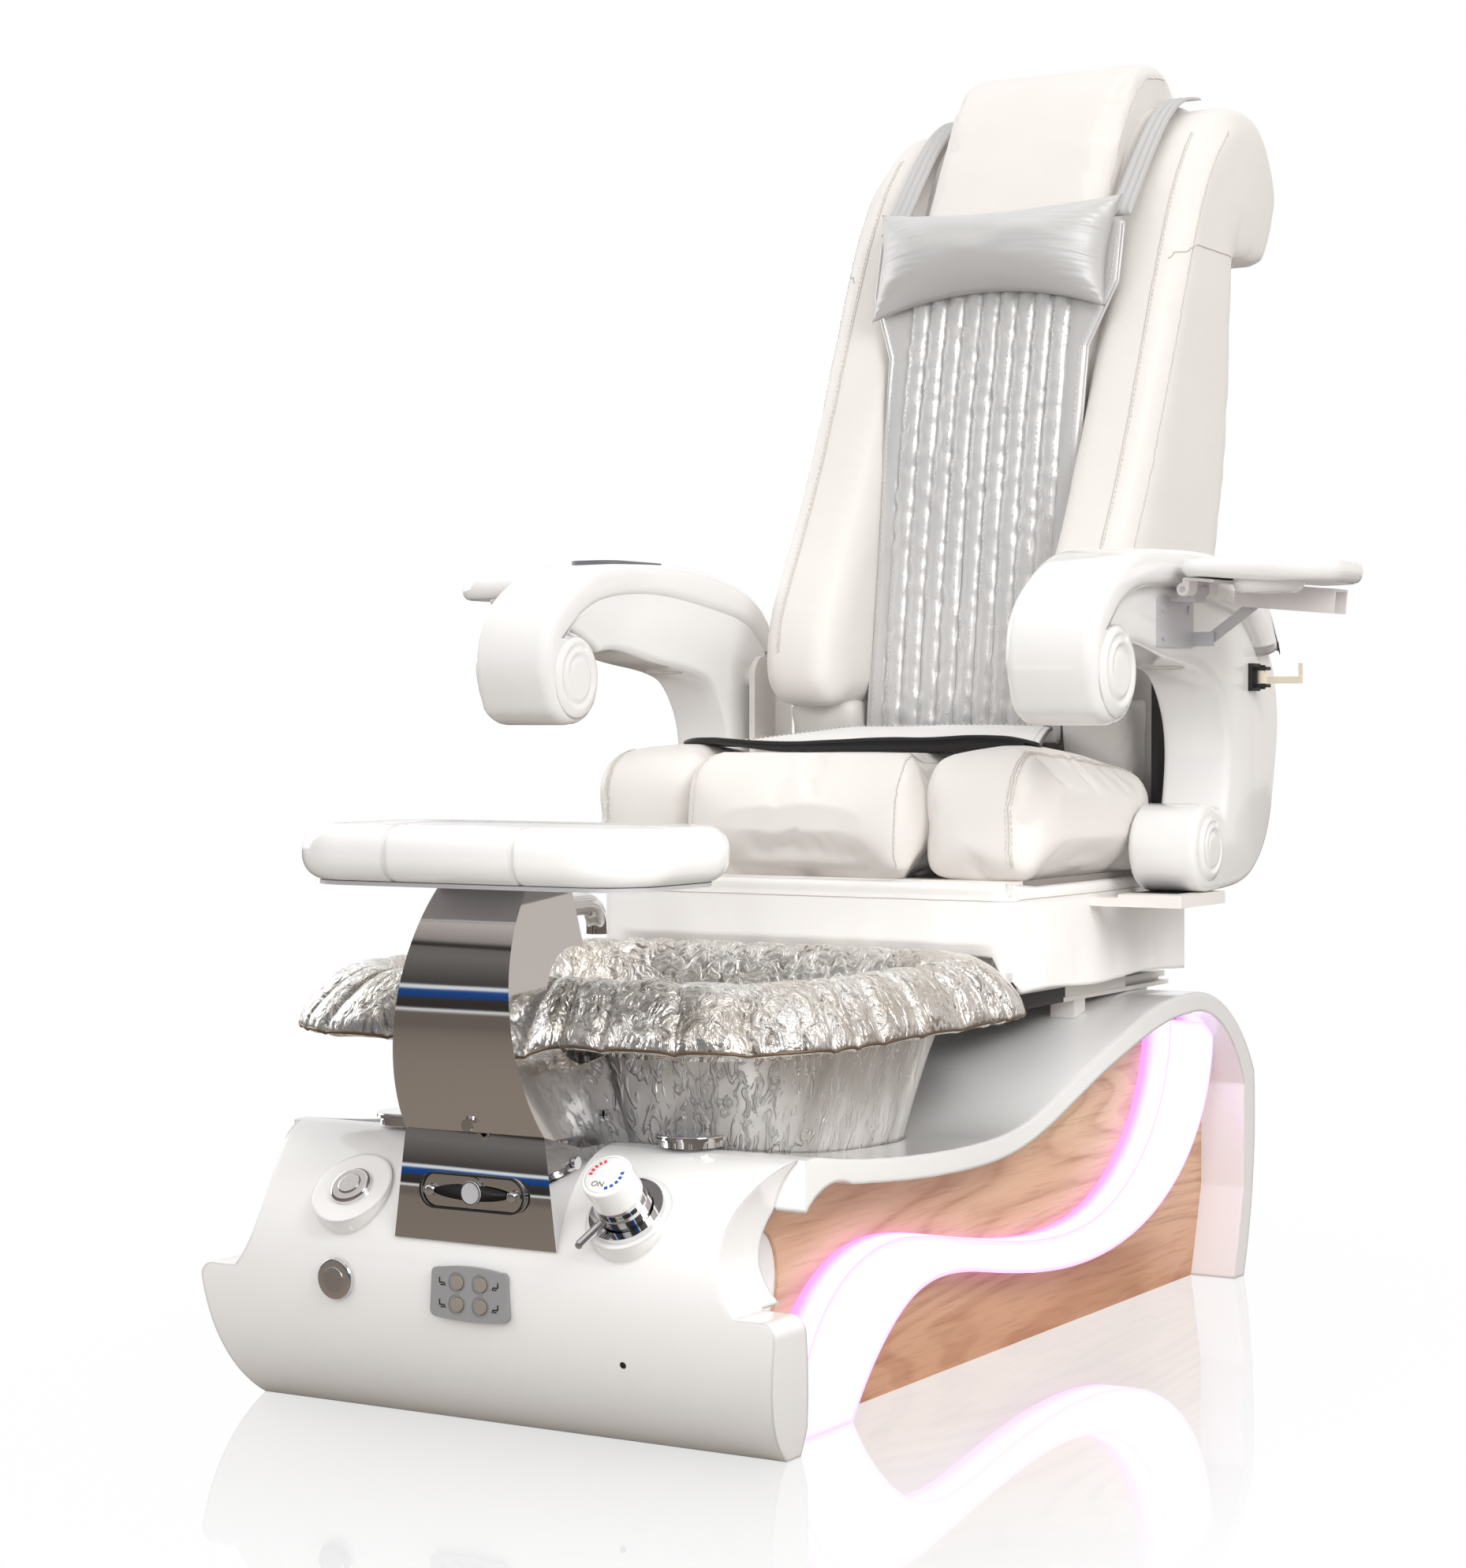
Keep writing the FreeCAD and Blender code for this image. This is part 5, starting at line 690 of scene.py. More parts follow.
def add_stitch(verts, faces, centre, along, sideways, normal, half):
    """One stitch: a small faceted grain of thread."""
    base = len(verts)
    for t, k in ((-1.0, 0.3), (-0.5, 1.0), (0.5, 1.0), (1.0, 0.3)):
        middle = centre + along * (half * t) + normal * (THREAD_HEIGHT * k)
        for a, b in ((1, 0), (0, 1), (-1, 0), (0, -1)):
            verts.append(middle + (sideways * a + normal * b) * (THREAD_WIDTH * k))
    for ring in range(3):
        for i in range(4):
            j = (i + 1) % 4
            faces.append(tuple(base + ring * 4 + corner for corner in (i, j, 4 + j, 4 + i)))
    faces.append((base, base + 1, base + 2, base + 3))
    faces.append((base + 15, base + 14, base + 13, base + 12))


CLOTH_FRAMES = 16
CLOTH_PRESSURE = 4.0


def puff(obj, voxel, cap):
    """Swell a closed form like a stuffed cover by a short cloth run, by cap at most, and smooth it."""
    remesh = obj.modifiers.new("even", "REMESH")
    remesh.mode = "VOXEL"
    remesh.voxel_size = voxel
    apply_modifiers(obj)
    stuff(obj, cap)
    smooth = obj.modifiers.new("smooth", "SUBSURF")
    smooth.levels = smooth.render_levels = 1
    apply_modifiers(obj)
    obj.data.shade_smooth()


def stuff(obj, cap):
    """Cloth run with pressure inside, each point held within cap of its place."""
    scene = bpy.context.scene
    rest = [v.co.copy() for v in obj.data.vertices]
    cloth = obj.modifiers.new("stuffing", "CLOTH")
    settings = cloth.settings
    settings.quality = 4
    settings.mass = 0.3
    settings.tension_stiffness = 12
    settings.compression_stiffness = 8
    settings.bending_stiffness = 0.6
    settings.use_pressure = True
    settings.uniform_pressure_force = CLOTH_PRESSURE
    settings.effector_weights.gravity = 0.0
    cloth.collision_settings.use_self_collision = False
    cloth.collision_settings.use_collision = False
    cloth.point_cache.frame_start = 1
    cloth.point_cache.frame_end = CLOTH_FRAMES
    for f in range(1, CLOTH_FRAMES + 1):
        scene.frame_set(f)
    apply_modifiers(obj)
    for v, p in zip(obj.data.vertices, rest):
        move = v.co - p
        if move.length > cap:
            v.co = p + move.normalized() * cap
    scene.frame_set(1)


def wrinkle(obj, amount, scale, seed):
    """Push vertices in and out by smooth noise."""
    shift = Vector((seed * 3.1, seed * 1.7, seed * 2.3))
    obj.data.update()
    moves = []
    for v in obj.data.vertices:
        q = v.co * scale + shift
        moves.append(v.normal * ((noise.noise(q) + 0.5 * noise.noise(q * 2.1)) * amount))
    for v, move in zip(obj.data.vertices, moves):
        v.co += move
    obj.data.update()


def mirror_copy(obj, name):
    """The same piece on the other side."""
    copy = obj.copy()
    copy.data = obj.data.copy()
    copy.name = name
    bpy.context.collection.objects.link(copy)
    for v in copy.data.vertices:
        v.co.x = -v.co.x
    edit_mesh(copy, lambda bm: bmesh.ops.reverse_faces(bm, faces=bm.faces))
    return copy


# Outlines in the side plane, y and z in millimetres


def through(points, per=8):
    """Smooth curve through the points, natural at both ends."""
    n = len(points)
    if n < 3:
        return list(points)
    t = [0.0]
    for a, b in zip(points, points[1:]):
        t.append(t[-1] + math.dist(a, b) ** 0.7)
    dims = []
    for axis in range(len(points[0])):
        y = [p[axis] for p in points]
        h = [t[i + 1] - t[i] for i in range(n - 1)]
        mid, rhs, m = [1.0] * n, [0.0] * n, [0.0] * n
        for i in range(1, n - 1):
            w = h[i - 1] / mid[i - 1] if i > 1 else 0.0
            mid[i] = 2 * (h[i - 1] + h[i]) - w * h[i - 1]
            rhs[i] = 6 * ((y[i + 1] - y[i]) / h[i] - (y[i] - y[i - 1]) / h[i - 1]) - w * rhs[i - 1]
        for i in range(n - 2, 0, -1):
            m[i] = (rhs[i] - h[i] * m[i + 1]) / mid[i]
        out = []
        for i in range(n - 1):
            for k in range(per):
                a = (per - k) / per
                b = k / per
                out.append(a * y[i] + b * y[i + 1]
                           + ((a ** 3 - a) * m[i] + (b ** 3 - b) * m[i + 1]) * h[i] ** 2 / 6)
        out.append(y[-1])
        dims.append(out)
    return list(zip(*dims))


ARC_STEPS = 10
SAME_POINT = 0.4


class Side:
    """Outline made of straight runs, arcs and smooth curves."""

    def __init__(self, *start):
        self.points = [start]

    def line(self, *p):
        self.points.append(p)
        return self

    def arc(self, middle, end):
        """Arc through a middle point."""
        (ax, ay), (bx, by), (cx, cy) = self.points[-1], middle, end
        d = 2 * (ax * (by - cy) + bx * (cy - ay) + cx * (ay - by))
        a_size, b_size, c_size = ax * ax + ay * ay, bx * bx + by * by, cx * cx + cy * cy
        ux = (a_size * (by - cy) + b_size * (cy - ay) + c_size * (ay - by)) / d
        uy = (a_size * (cx - bx) + b_size * (ax - cx) + c_size * (bx - ax)) / d
        r = math.hypot(ax - ux, ay - uy)
        a0 = math.atan2(ay - uy, ax - ux)
        full = 2 * math.pi
        a1 = (math.atan2(by - uy, bx - ux) - a0) % full
        a2 = (math.atan2(cy - uy, cx - ux) - a0) % full
        if a1 > a2:
            a2 -= full
        self.points += [(ux + r * math.cos(a0 + a2 * k / ARC_STEPS), uy + r * math.sin(a0 + a2 * k / ARC_STEPS))
                        for k in range(1, ARC_STEPS + 1)]
        return self

    def curve(self, *points):
        self.points += through([self.points[-1], *points])[1:]
        return self

    def closed(self):
        out = []
        for p in self.points:
            if not out or math.dist(p, out[-1]) > SAME_POINT:
                out.append(p)
        if math.dist(out[0], out[-1]) < SAME_POINT:
            out.pop()
        return out


# Arms

ARM_X = 286.0
CAP_WIDTH = 106.0
BODY_X = (290.0, 372.0)
ARM_TOP = 866.0
SCROLL = (-26.0, 735.0)
TRAY_AREA = ((400.0, 110.0), (569.5, 284.8))
CUP_AT = (488.0, 163.0)
CUP_RADIUS = 38.0
TRAY_BODY = {"right": "right_tray", "left": "left_tray"}


def cap_outline():
    """Side of the arm's wide cap: scroll in front, long top, tail behind."""
    y, z = SCROLL
    top = ARM_TOP
    out = Side(y + 6, z + 48).arc((y + 47, z + 29), (y + 62, z - 8)).arc((y + 48, z - 44), (y + 10, z - 60))
    out.arc((y - 16, z - 58), (y - 36, z - 46))
    out.curve((y - 55, z + 8), (y - 42, z + 60), (y + 6, top - 30), (y + 56, top - 8), (y + 140, top),
              (y + 266, top + 1), (y + 337, top - 7), (y + 416, top - 28), (y + 456, top - 55), (y + 480, top - 88),
              (y + 488, top - 106))
    out.line(y + 451, top - 113)
    out.curve((y + 440, top - 99), (y + 422, top - 84), (y + 398, top - 69), (y + 341, top - 57), (y + 285, top - 49),
              (y + 178, top - 40), (y + 76, top - 48), (y + 46, top - 57), (y + 22, top - 69))
    return out.closed()


def body_outline():
    """Side of the arm's body: under the cap, down behind the seat and forward to the lower roll."""
    y, z = SCROLL
    top = ARM_TOP
    out = Side(y - 18, z + 57)
    out.curve((y + 16, top - 57), (y + 46, top - 45), (y + 76, top - 36), (y + 178, top - 28),
              (y + 285, top - 37), (y + 341, top - 45), (y + 398, top - 57), (y + 434, top - 69),
              (y + 462, top - 92))
    out.curve((y + 496, top - 104), (500, 690), (491, 618), (466, 545), (414, 500), (360, 488.5), (297, 485.5))
    out.line(285, 485).arc((235, 535), (285, 585)).arc((309, 579), (327, 571))
    out.curve((334, 600), (339, 640), (333, 675), (318, 702), (296, 724), (268, 735), (219, 743), (158, 750),
              (118, 757), (74, 762), (y + 66, z + 24))
    out.arc((y + 47, z + 35), (y + 10, z + 48.8)).line(y - 16, z + 43)
    return out.closed()


def swirl(x, y, z, radius, height, material, name, side=1):
    """Raised round boss whose groove winds in like a snail's shell, on the face at x."""
    rings = []
    turns, count = 1.35, 96
    for r in (1.04, 1.0, 0.97, 0.93, 0.88, 0.82, 0.76, 0.70, 0.64, 0.58, 0.52, 0.46, 0.40, 0.34, 0.28, 0.22, 0.15,
              0.08, 0.02):
        ring = []
        for a in turn(count):
            rise = height * (1 - max(0.0, (r - 0.72) / 0.32) ** 2.2)
            for lap in (0, 1, 2):
                groove = 0.80 - 0.34 * ((a / (2 * math.pi) + lap) / turns)
                fade = limited((turns - a / (2 * math.pi) - lap) / 0.35)
                rise -= height * 0.62 * fade * math.exp(-((r - groove) / 0.05) ** 2)
            ring.append(vec(x + side * (max(-0.5, rise) - 1.0), y + radius * r * math.cos(a + 1.2) * 0.94,
                            z + radius * r * math.sin(a + 1.2)))
        rings.append(ring)
    return loft(name, rings, material)


class SPA_OT_arms(bpy.types.Operator):
    """Scrolled arms: wide gloss cap, deep body and raised swirls"""
    bl_idname = "spa.arms"
    bl_label = "Arms"

    def execute(self, context):
        cap = prism("arm_cap_shape_right", cap_outline(), ARM_X, ARM_X + CAP_WIDTH, "arm_gloss", 15, 5)
        boss = swirl(ARM_X + CAP_WIDTH, SCROLL[0] + 5, SCROLL[1] - 4, 47, 6.5, "arm_gloss", "cap_swirl")
        inner = swirl(ARM_X, SCROLL[0] + 8, SCROLL[1] - 6, 46, 5.5, "arm_gloss", "inner_swirl", -1)
        cap = join("arm_cap_shape_right", [cap, boss, inner])
        body = prism("arm_body_shape_right", body_outline(), *BODY_X, "arm_gloss", 9, 4)
        low = swirl(BODY_X[1], 286, 535, 36, 5.5, "arm_gloss", "low_swirl")
        body = join("arm_body_shape_right", [body, low])
        slot = [vec(331 + 24 * math.cos(a), 245 + 9 * math.sin(a), 736) for a in turn(28)]
        slot_line = tube("slot_line", [p for p, _ in on_surface(surface_of(body), slot, 0.0002)], 0.0011, "grey_seam",
                         6, closed=True)
        body = join("arm_body_shape_right", [body, slot_line])
        for obj, node in ((cap, "arm_cap"), (body, "arm_body")):
            left = mirror_copy(obj, obj.name.replace("right", "left"))
            for piece, side_name in ((obj, "right"), (left, "left")):
                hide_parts(f"{node}_{side_name}")
                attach(piece, f"{side_name}_arm")
        return {"FINISHED"}


def tray_plan(inset):
    """Plan of the tray at an inset: tight corners at the arm, wide ones outside."""
    (x0, y0), (x1, y1) = TRAY_AREA
    out = []
    for cx, cy, r, start in ((x1, y1, 62, 0), (x0, y1, 26, 90), (x0, y0, 26, 180), (x1, y0, 62, 270)):
        inward = max(4.0, r - inset)
        px = cx - math.copysign(inset + inward, cx - (x0 + x1) / 2)
        py = cy - math.copysign(inset + inward, cy - (y0 + y1) / 2)
        for k in range(13):
            a = math.radians(start + 90 * k / 12)
            out.append((px + inward * math.cos(a), py + inward * math.sin(a)))
    return out


class SPA_OT_trays(bpy.types.Operator):
    """Thin folding trays with a rolled rim and a shallow cup well"""
    bl_idname = "spa.trays"
    bl_label = "Trays"

    def execute(self, context):
        rings = []

        def ring(inset, height, hang=0.0):
            rings.append([vec(x, y, height - hang * limited((x - 425) / 35)) for x, y in tray_plan(inset)])
        for inset in (60, 17, 13):
            ring(inset, 834.8)
        for k in range(11):
            a = math.pi * k / 10
            ring(10 - 10 * math.sin(a), 844.7 - 9.9 * math.cos(a), 6.5 * 0.5 * (1 + math.cos(a)))
        for inset, height in ((13, 854.0), (14.5, 852.0), (18, 851.4), (60, 851.4)):
            ring(inset, height)
        slab = loft("tray_shape_right", rings, "tray_gloss")
        hole = disc("cup_hole", vec(*CUP_AT, 800), (0, 0, 1), [(CUP_RADIUS - 2, 0), (CUP_RADIUS - 2, 90)],
                    "tray_gloss", 56)
        cut = slab.modifiers.new("cup", "BOOLEAN")
        cut.object = hole
        cut.operation = "DIFFERENCE"
        cut.solver = "EXACT"
        apply_modifiers(slab)
        bpy.data.objects.remove(hole)
        well = disc("cup_well", vec(*CUP_AT, 0), (0, 0, 1),
                    [(CUP_RADIUS - 2.2, 851.6), (CUP_RADIUS - 3.2, 851.0), (CUP_RADIUS - 4, 824), (CUP_RADIUS - 8, 821),
                     (1, 820.5), (1, 817.5), (CUP_RADIUS - 8, 817.5), (CUP_RADIUS - 2, 820.5), (CUP_RADIUS, 826),
                     (CUP_RADIUS, 835), (CUP_RADIUS - 1.5, 835.5)], "tray_gloss", 56)
        tray = join("tray_shape_right", [slab, well])
        left = mirror_copy(tray, "tray_shape_left")
        for piece, side_name in ((tray, "right"), (left, "left")):
            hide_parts(f"tray_{side_name}")
            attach(piece, TRAY_BODY[side_name])
        return {"FINISHED"}


# Backrest

WING_FRONT = ((300, 742), (303, 790), (357, 900), (438, 1065), (520, 1255), (590, 1377), (650, 1436))
CENTRE_FRONT = ((402, 652), (431, 876), (475, 1140), (505, 1262))
BACK_REAR = ((714, 1259), (698, 1027), (668, 883), (610, 700), (566, 610), (530, 560))
ROLL = ((690, 1458), (740, 1467), (800, 1459), (848, 1415), (868, 1363), (850, 1306), (829, 1273))
WING_X = (138.0, 236.0)


def side_outline():
    """Wing, shoulder and roll of one side of the backrest."""
    out = Side(*WING_FRONT[0])
    out.curve(*WING_FRONT[1:], *ROLL)
    out.line(*BACK_REAR[0])
    out.curve(*BACK_REAR[1:])
    out.line(434, 560).line(434, 640).line(436, 690)
    out.line(360, 696).arc((318, 708), WING_FRONT[0])
    return out.closed()


def centre_outline():
    """Rear shell between the wings, with the roll over its top."""
    out = Side(446, 640)
    out.line(452, 876).line(500, 1140).line(540, 1262).line(620, 1400)
    out.curve((660, 1440), *ROLL)
    out.line(*BACK_REAR[0])
    out.curve(*BACK_REAR[1:])
    out.line(434, 560).line(434, 640)
    return out.closed()


def front_of(z):
    """Y of the back's middle at a height."""
    for (y0, z0), (y1, z1) in zip(CENTRE_FRONT, CENTRE_FRONT[1:]):
        if z <= z1:
            break
    return y0 + (y1 - y0) * (z - z0) / (z1 - z0)


def across_line(line, i):
    """Unit normal of a side line at its point i."""
    a, b = line[max(0, i - 1)], line[min(len(line) - 1, i + 1)]
    size = math.dist(a, b)
    return -(b[1] - a[1]) / size, (b[0] - a[0]) / size


def swept_pad(name, centre_line, half, thick, material):
    """Pad that follows a side line, with rounded rims across its width."""
    columns = 24
    line = through(centre_line, 20)
    n = len(line)
    front, rear = [], []
    for i, (y, z) in enumerate(line):
        ny, nz = across_line(line, i)
        along = min(i, n - 1 - i) / (n - 1)
        for k in range(columns + 1):
            u = k / columns
            fall = (1 - math.exp(-min(u, 1 - u) * 9 / 0.35)) * (1 - math.exp(-along * 22))
            t = thick * fall
            front.append(vec(half * (2 * u - 1), y + ny * t, z + nz * t))
            rear.append(vec(half * (2 * u - 1), y, z))
    return mesh_object(name, front + rear, slab_faces(n - 1, columns), material)


class SPA_OT_backrest(bpy.types.Operator):
    """Backrest: wings with shoulders and roll, centre, cushions"""
    bl_idname = "spa.backrest"
    bl_label = "Backrest"

    def execute(self, context):
        shape = prism("back_side_right", side_outline(), WING_X[0], WING_X[1] - 5, "ivory_hide", 24, 5)
        puff(shape, 0.008, 0.008)
        wrinkle(shape, 0.0006, 22.0, 1)
        tree = surface_of(shape)
        front = through(WING_FRONT)
        edge = [vec(260, y + 24, z - 4) for y, z in front]
        face_line = [vec(206, y - 30, z) for y, z in front[4:]]
        shoulder = [vec(x, 470, 1262) for x in range(150, 232, 6)] + [vec(262, y, 1262) for y in range(520, 716, 8)]
        shape = join("back_side_right", [shape, seam("wing_seam_a", tree, edge),
                                         seam("wing_seam_b", tree, face_line, (0.003,)),
                                         seam("shoulder_seam", tree, shoulder, thread="grey_seam")])
        left = mirror_copy(shape, "back_side_left")
        lower = Side(440, 566)
        lower.line(398, 578).curve((387, 630), (376, 704)).line(440, 708)
        gusset = prism("back_gusset_right", lower.closed(), WING_X[0] + 2, WING_X[1] - 6, "ivory_hide", 9, 3)
        puff(gusset, 0.006, 0.005)
        wrinkle(gusset, 0.0012, 24.0, 9)
        left_gusset = mirror_copy(gusset, "back_gusset_left")
        for piece in (gusset, left_gusset):
            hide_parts("back_wings")
        centre = prism("back_centre", centre_outline(), -WING_X[0] - 6, WING_X[0] + 6, "ivory_hide", 0)
        for piece in (shape, left, centre, gusset, left_gusset):
            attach(piece, "backrest")
        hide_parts("back_shell")
        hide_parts("back_wings")
        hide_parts("back_wings")
        cushion = swept_pad("back_pad", shift(CENTRE_FRONT, 46), 136, 46, "ivory_hide")
        head_face = Side(505, 1262.5)
        head_face.curve((540, 1335), (575, 1405), (620, 1470), (667, 1508), (715, 1517), (752, 1506), (790, 1470))
        head_face.line(784, 1458)
        head_face.curve((720, 1452), (668, 1420), (600, 1336), (551, 1262.5))
        head = prism("head_pad", head_face.closed(), -129, 129, "ivory_hide", 22, 5)
        puff(head, 0.006, 0.006)
        wrinkle(head, 0.0008, 18.0, 4)
        tree = surface_of(head)
        made = [head]
        rim = through(((510, 1275), (545, 1345), (580, 1412), (625, 1474), (668, 1500), (720, 1508)))
        for s in (-1, 1):
            made.append(seam(f"head_seam_{s}", tree, [vec(s * 150, y + 12, z - 6) for y, z in rim]))
        head = join("head_pad", made)
        for piece, node in ((cushion, "back_cushion"), (head, "head_cushion")):
            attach(piece, "backrest")
            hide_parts(node)
        return {"FINISHED"}


def shift(points, dy):
    """The side line moved along Y."""
    return [(y + dy, z) for y, z in points]


def even_line(points, count):
    """The line again, as count equal steps."""
    total = sum(math.dist(a, b) for a, b in zip(points, points[1:]))
    pts = [Vector(p) for p in points]
    out = even_path(pts, total / count)[:count]
    return [tuple(p) for p in out] + [points[-1]] * (count + 1 - len(out))


STRAP_RIBS = 3
QUILTED_HALF = 122 * 0.86 + 4
SEAT_CREST = 0.6442
FLAP_HALF = 236.0
FLAP_ENDS = (104.0, 368.0)
FLAP_CORNER = 42.0
FLAP_REST = 649.6


def cover_half_width(z):
    """Half width of the quilted cover at a height: narrow below, flared at the shoulders."""
    if z < 1135:
        return 130 + 5 * (z - 652) / 483
    if z < 1215:
        return 135 + 31 * (z - 1135) / 80
    return 166


class SPA_OT_cover(bpy.types.Operator):
    """Quilted pearl cover, its straps, neck pillow and seat flap"""
    bl_idname = "spa.cover"
    bl_label = "Quilted cover"

    def execute(self, context):
        cover = self.quilt()
        straps = self.straps()
        pillow = self.pillow()
        flap = self.flap()
        for piece, node in ((cover, "back_cover"), (straps, "back_cover"), (pillow, "neck_pillow")):
            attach(piece, "backrest")
            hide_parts(node)
        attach(flap, "seat")
        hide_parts("seat_flap")
        return {"FINISHED"}

    def quilt(self):
        """Channels sewn lengthwise, with puckers along the stitch lines."""
        rows, columns = 300, 130
        channels = sizes().channels
        steps = even_line(through([*shift(CENTRE_FRONT, -0.3), (512, 1290)], 40), rows)
        verts = []
        for layer in (1, 0):
            for y, z in steps:
                half = cover_half_width(z)
                for k in range(columns + 1):
                    u = 2 * k / columns - 1
                    x = half * u
                    edge = max(0.0, 1 - abs(u) ** 30)
                    t = 0.0
                    if layer:
                        inner = x / QUILTED_HALF
                        if abs(inner) < 1:
                            phase = (inner * 0.5 + 0.5) * channels
                            swell = abs(math.sin(math.pi * phase)) ** 0.55
                            which = round(phase)
                            near = math.exp(-abs(phase - which) * 7)
                            slow = noise.noise(Vector((int(phase) * 7.3, z * 0.011, 0.0)))
                            gather = noise.noise(Vector((which * 3.7 + phase * 0.9, z * 0.06, 4.0)))
                            swell = swell * (1 + 0.12 * slow + 0.22 * gather) + 0.52 * near * gather
                            t = 2.2 + 8.6 * swell
                        else:
                            border = min(1, (abs(x) - 108.9) / max(8, half - 109))
                            t = 3.4 + 4.0 * max(0.0, math.sin(math.pi * border)) ** 0.6
                        t = 1.2 + (min(t, 12.4) - 1.2) * edge ** 0.5
                    verts.append(vec(x, y - t, z + t * 0.17))
        cover = mesh_object("quilted_cover", verts, slab_faces(rows, columns), "pearl_cover")
        tree = surface_of(cover)
        made = [cover]
        for c in range(channels + 1):
            x = QUILTED_HALF * (2 * c / channels - 1)
            run = [vec(x, front_of(z) - 20, z) for z in range(660, 1288, 10)]
            made.append(silver_row(tree, run))
        for s in (-1, 1):
            run = [vec(s * (cover_half_width(z) - 4), front_of(z) - 20, z) for z in range(660, 1290, 10)]
            made.append(silver_row(tree, run))
            welt = [vec(s * cover_half_width(z), front_of(z) - 2, z) for z in range(655, 1290, 8)]
            made.append(tube(f"welt_{s}", welt, sizes().piping, "pearl_cover"))
        return join("quilted_cover", made)

    def straps(self):
        """Ribbed bands from the cover's corners over the shoulders."""
        line = through(((WING_FRONT[4][0] - 3, 1297), (587, 1380), (647, 1440), (692, 1465), (740, 1474)), 12)
        made = []
        for s in (-1, 1):
            rows = []
            for i, (y, z) in enumerate(line):
                ny, nz = across_line(line, i)
                ring = []
                for k in range(17):
                    t = 1.2 + 2.8 * abs(math.sin(math.pi * k / 16 * STRAP_RIBS)) ** 0.6
                    ring.append(vec(s * (142 + 30 * k / 16), y + ny * t, z + nz * t))
                rows.append(ring + [vec(s * (142 + 30 * k / 16), y, z) for k in range(16, -1, -1)])
            made.append(loft(f"strap_{s}", rows, "strap_pearl"))
        return join("cover_straps", made)

    def pillow(self):
        """Pillow with drawn-in edges and eared corners."""
        rows, columns = 60, 110
        verts = []
        lower, upper = Vector((0, 467, 1179)), Vector((0, 507, 1325))
        rise = (upper - lower).normalized()
        out = Vector((0, -rise.z, rise.y))
        for layer in (1, -1):
            for i in range(rows + 1):
                v = 2 * i / rows - 1
                for k in range(columns + 1):
                    u = 2 * k / columns - 1
                    half = 163 - 10 * (1 - v * v) + 3 * v
                    drawn = 1 - u * u
                    middle = (lower + upper) / 2 + rise * (73.5 * v - (17 * v if v > 0 else 30 * v) * drawn)
                    full = ((1 - abs(u) ** 3.2) * (1 - abs(v) ** 2.4)) ** 0.62
                    t = (62 if layer > 0 else -3) * full
                    if layer > 0:
                        ends = abs(u) ** 3
                        pull = noise.noise(Vector((u * 3.2, v * 2.4, 2.0))) * 2.6
                        fold = noise.noise(Vector((u * 2.2, v * 9 * (1 + abs(u)), 5.0))) * 4.5 * ends
                        t += (pull + fold) * full ** 0.5
                    point = middle + out * t
                    verts.append(vec(half * u, point.y, point.z))
        obj = mesh_object("neck_pillow_shape", verts, slab_faces(rows, columns, rims=False), "pillow_pearl")
        edit_mesh(obj, lambda bm: bmesh.ops.remove_doubles(bm, verts=bm.verts, dist=0.0002))
        fix_normals(obj)
        obj.data.shade_smooth()
        return obj

    def flap(self):
        """Loose lower part of the cover: pearl above, black lining below, curled front; its black lip also paints the
        gap's shade.
        """
        rows, columns = 60, 90
        half_x, (y0, y1), radius = FLAP_HALF, FLAP_ENDS, FLAP_CORNER

        def height(x, y):
            back = max(0.0, (y - 150) / 220)
            lip = max(0.0, (152 - y) / 48)
            tips = 0.42 + 0.58 * min(1.0, (abs(x) / 175) ** 2)
            wave = 2.2 * math.sin(x * 0.019 + 0.7) + 1.6 * noise.noise(Vector((x * 0.016, y * 0.02, 5)))
            curl = (12.5 * tips + 0.5 * wave + 3.0 * x / half_x) * lip ** 1.6
            return FLAP_REST + 22 * back ** 1.1 + curl + 0.6 * max(-1.0, wave)
        verts = []
        for layer in (1, 0):
            for i in range(rows + 1):
                for k in range(columns + 1):
                    u = 2 * k / columns - 1
                    v = 2 * i / rows - 1
                    x, y = round_square(u, v, half_x, (y1 - y0) / 2, radius)
                    y += (y0 + y1) / 2 + 6 * (x / half_x) ** 2 * max(0.0, -v)
                    x *= 1 - 0.37 * limited((y - y0 - 25) / (y1 - y0 - 60)) ** 0.85
                    rim_fall = min(1.0, (1 - max(abs(u), abs(v))) * 8) ** 0.5
                    t = 0.9 + 2.2 * rim_fall if layer else -0.9
                    verts.append(vec(x, y, height(x, y) + t))
        obj = mesh_object("seat_flap_shape", verts, slab_faces(rows, columns), "flap_pearl")
        obj.data.materials.append(bpy.data.materials["black_lining"])
        for face in obj.data.polygons:
            if face.normal.z < 0.05:
                face.material_index = 1
        wide = columns + 1
        border = verts[:wide] + [verts[i * wide + columns] for i in range(1, rows + 1)]
        border += [verts[rows * wide + k] for k in range(columns - 1, -1, -1)]
        border += [verts[i * wide] for i in range(rows - 1, 0, -1)]
        welt = tube("flap_welt", [p - Vector((0, 0, 0.0009)) for p in border], 0.0021, "black_lining", 8,
                    closed=True)
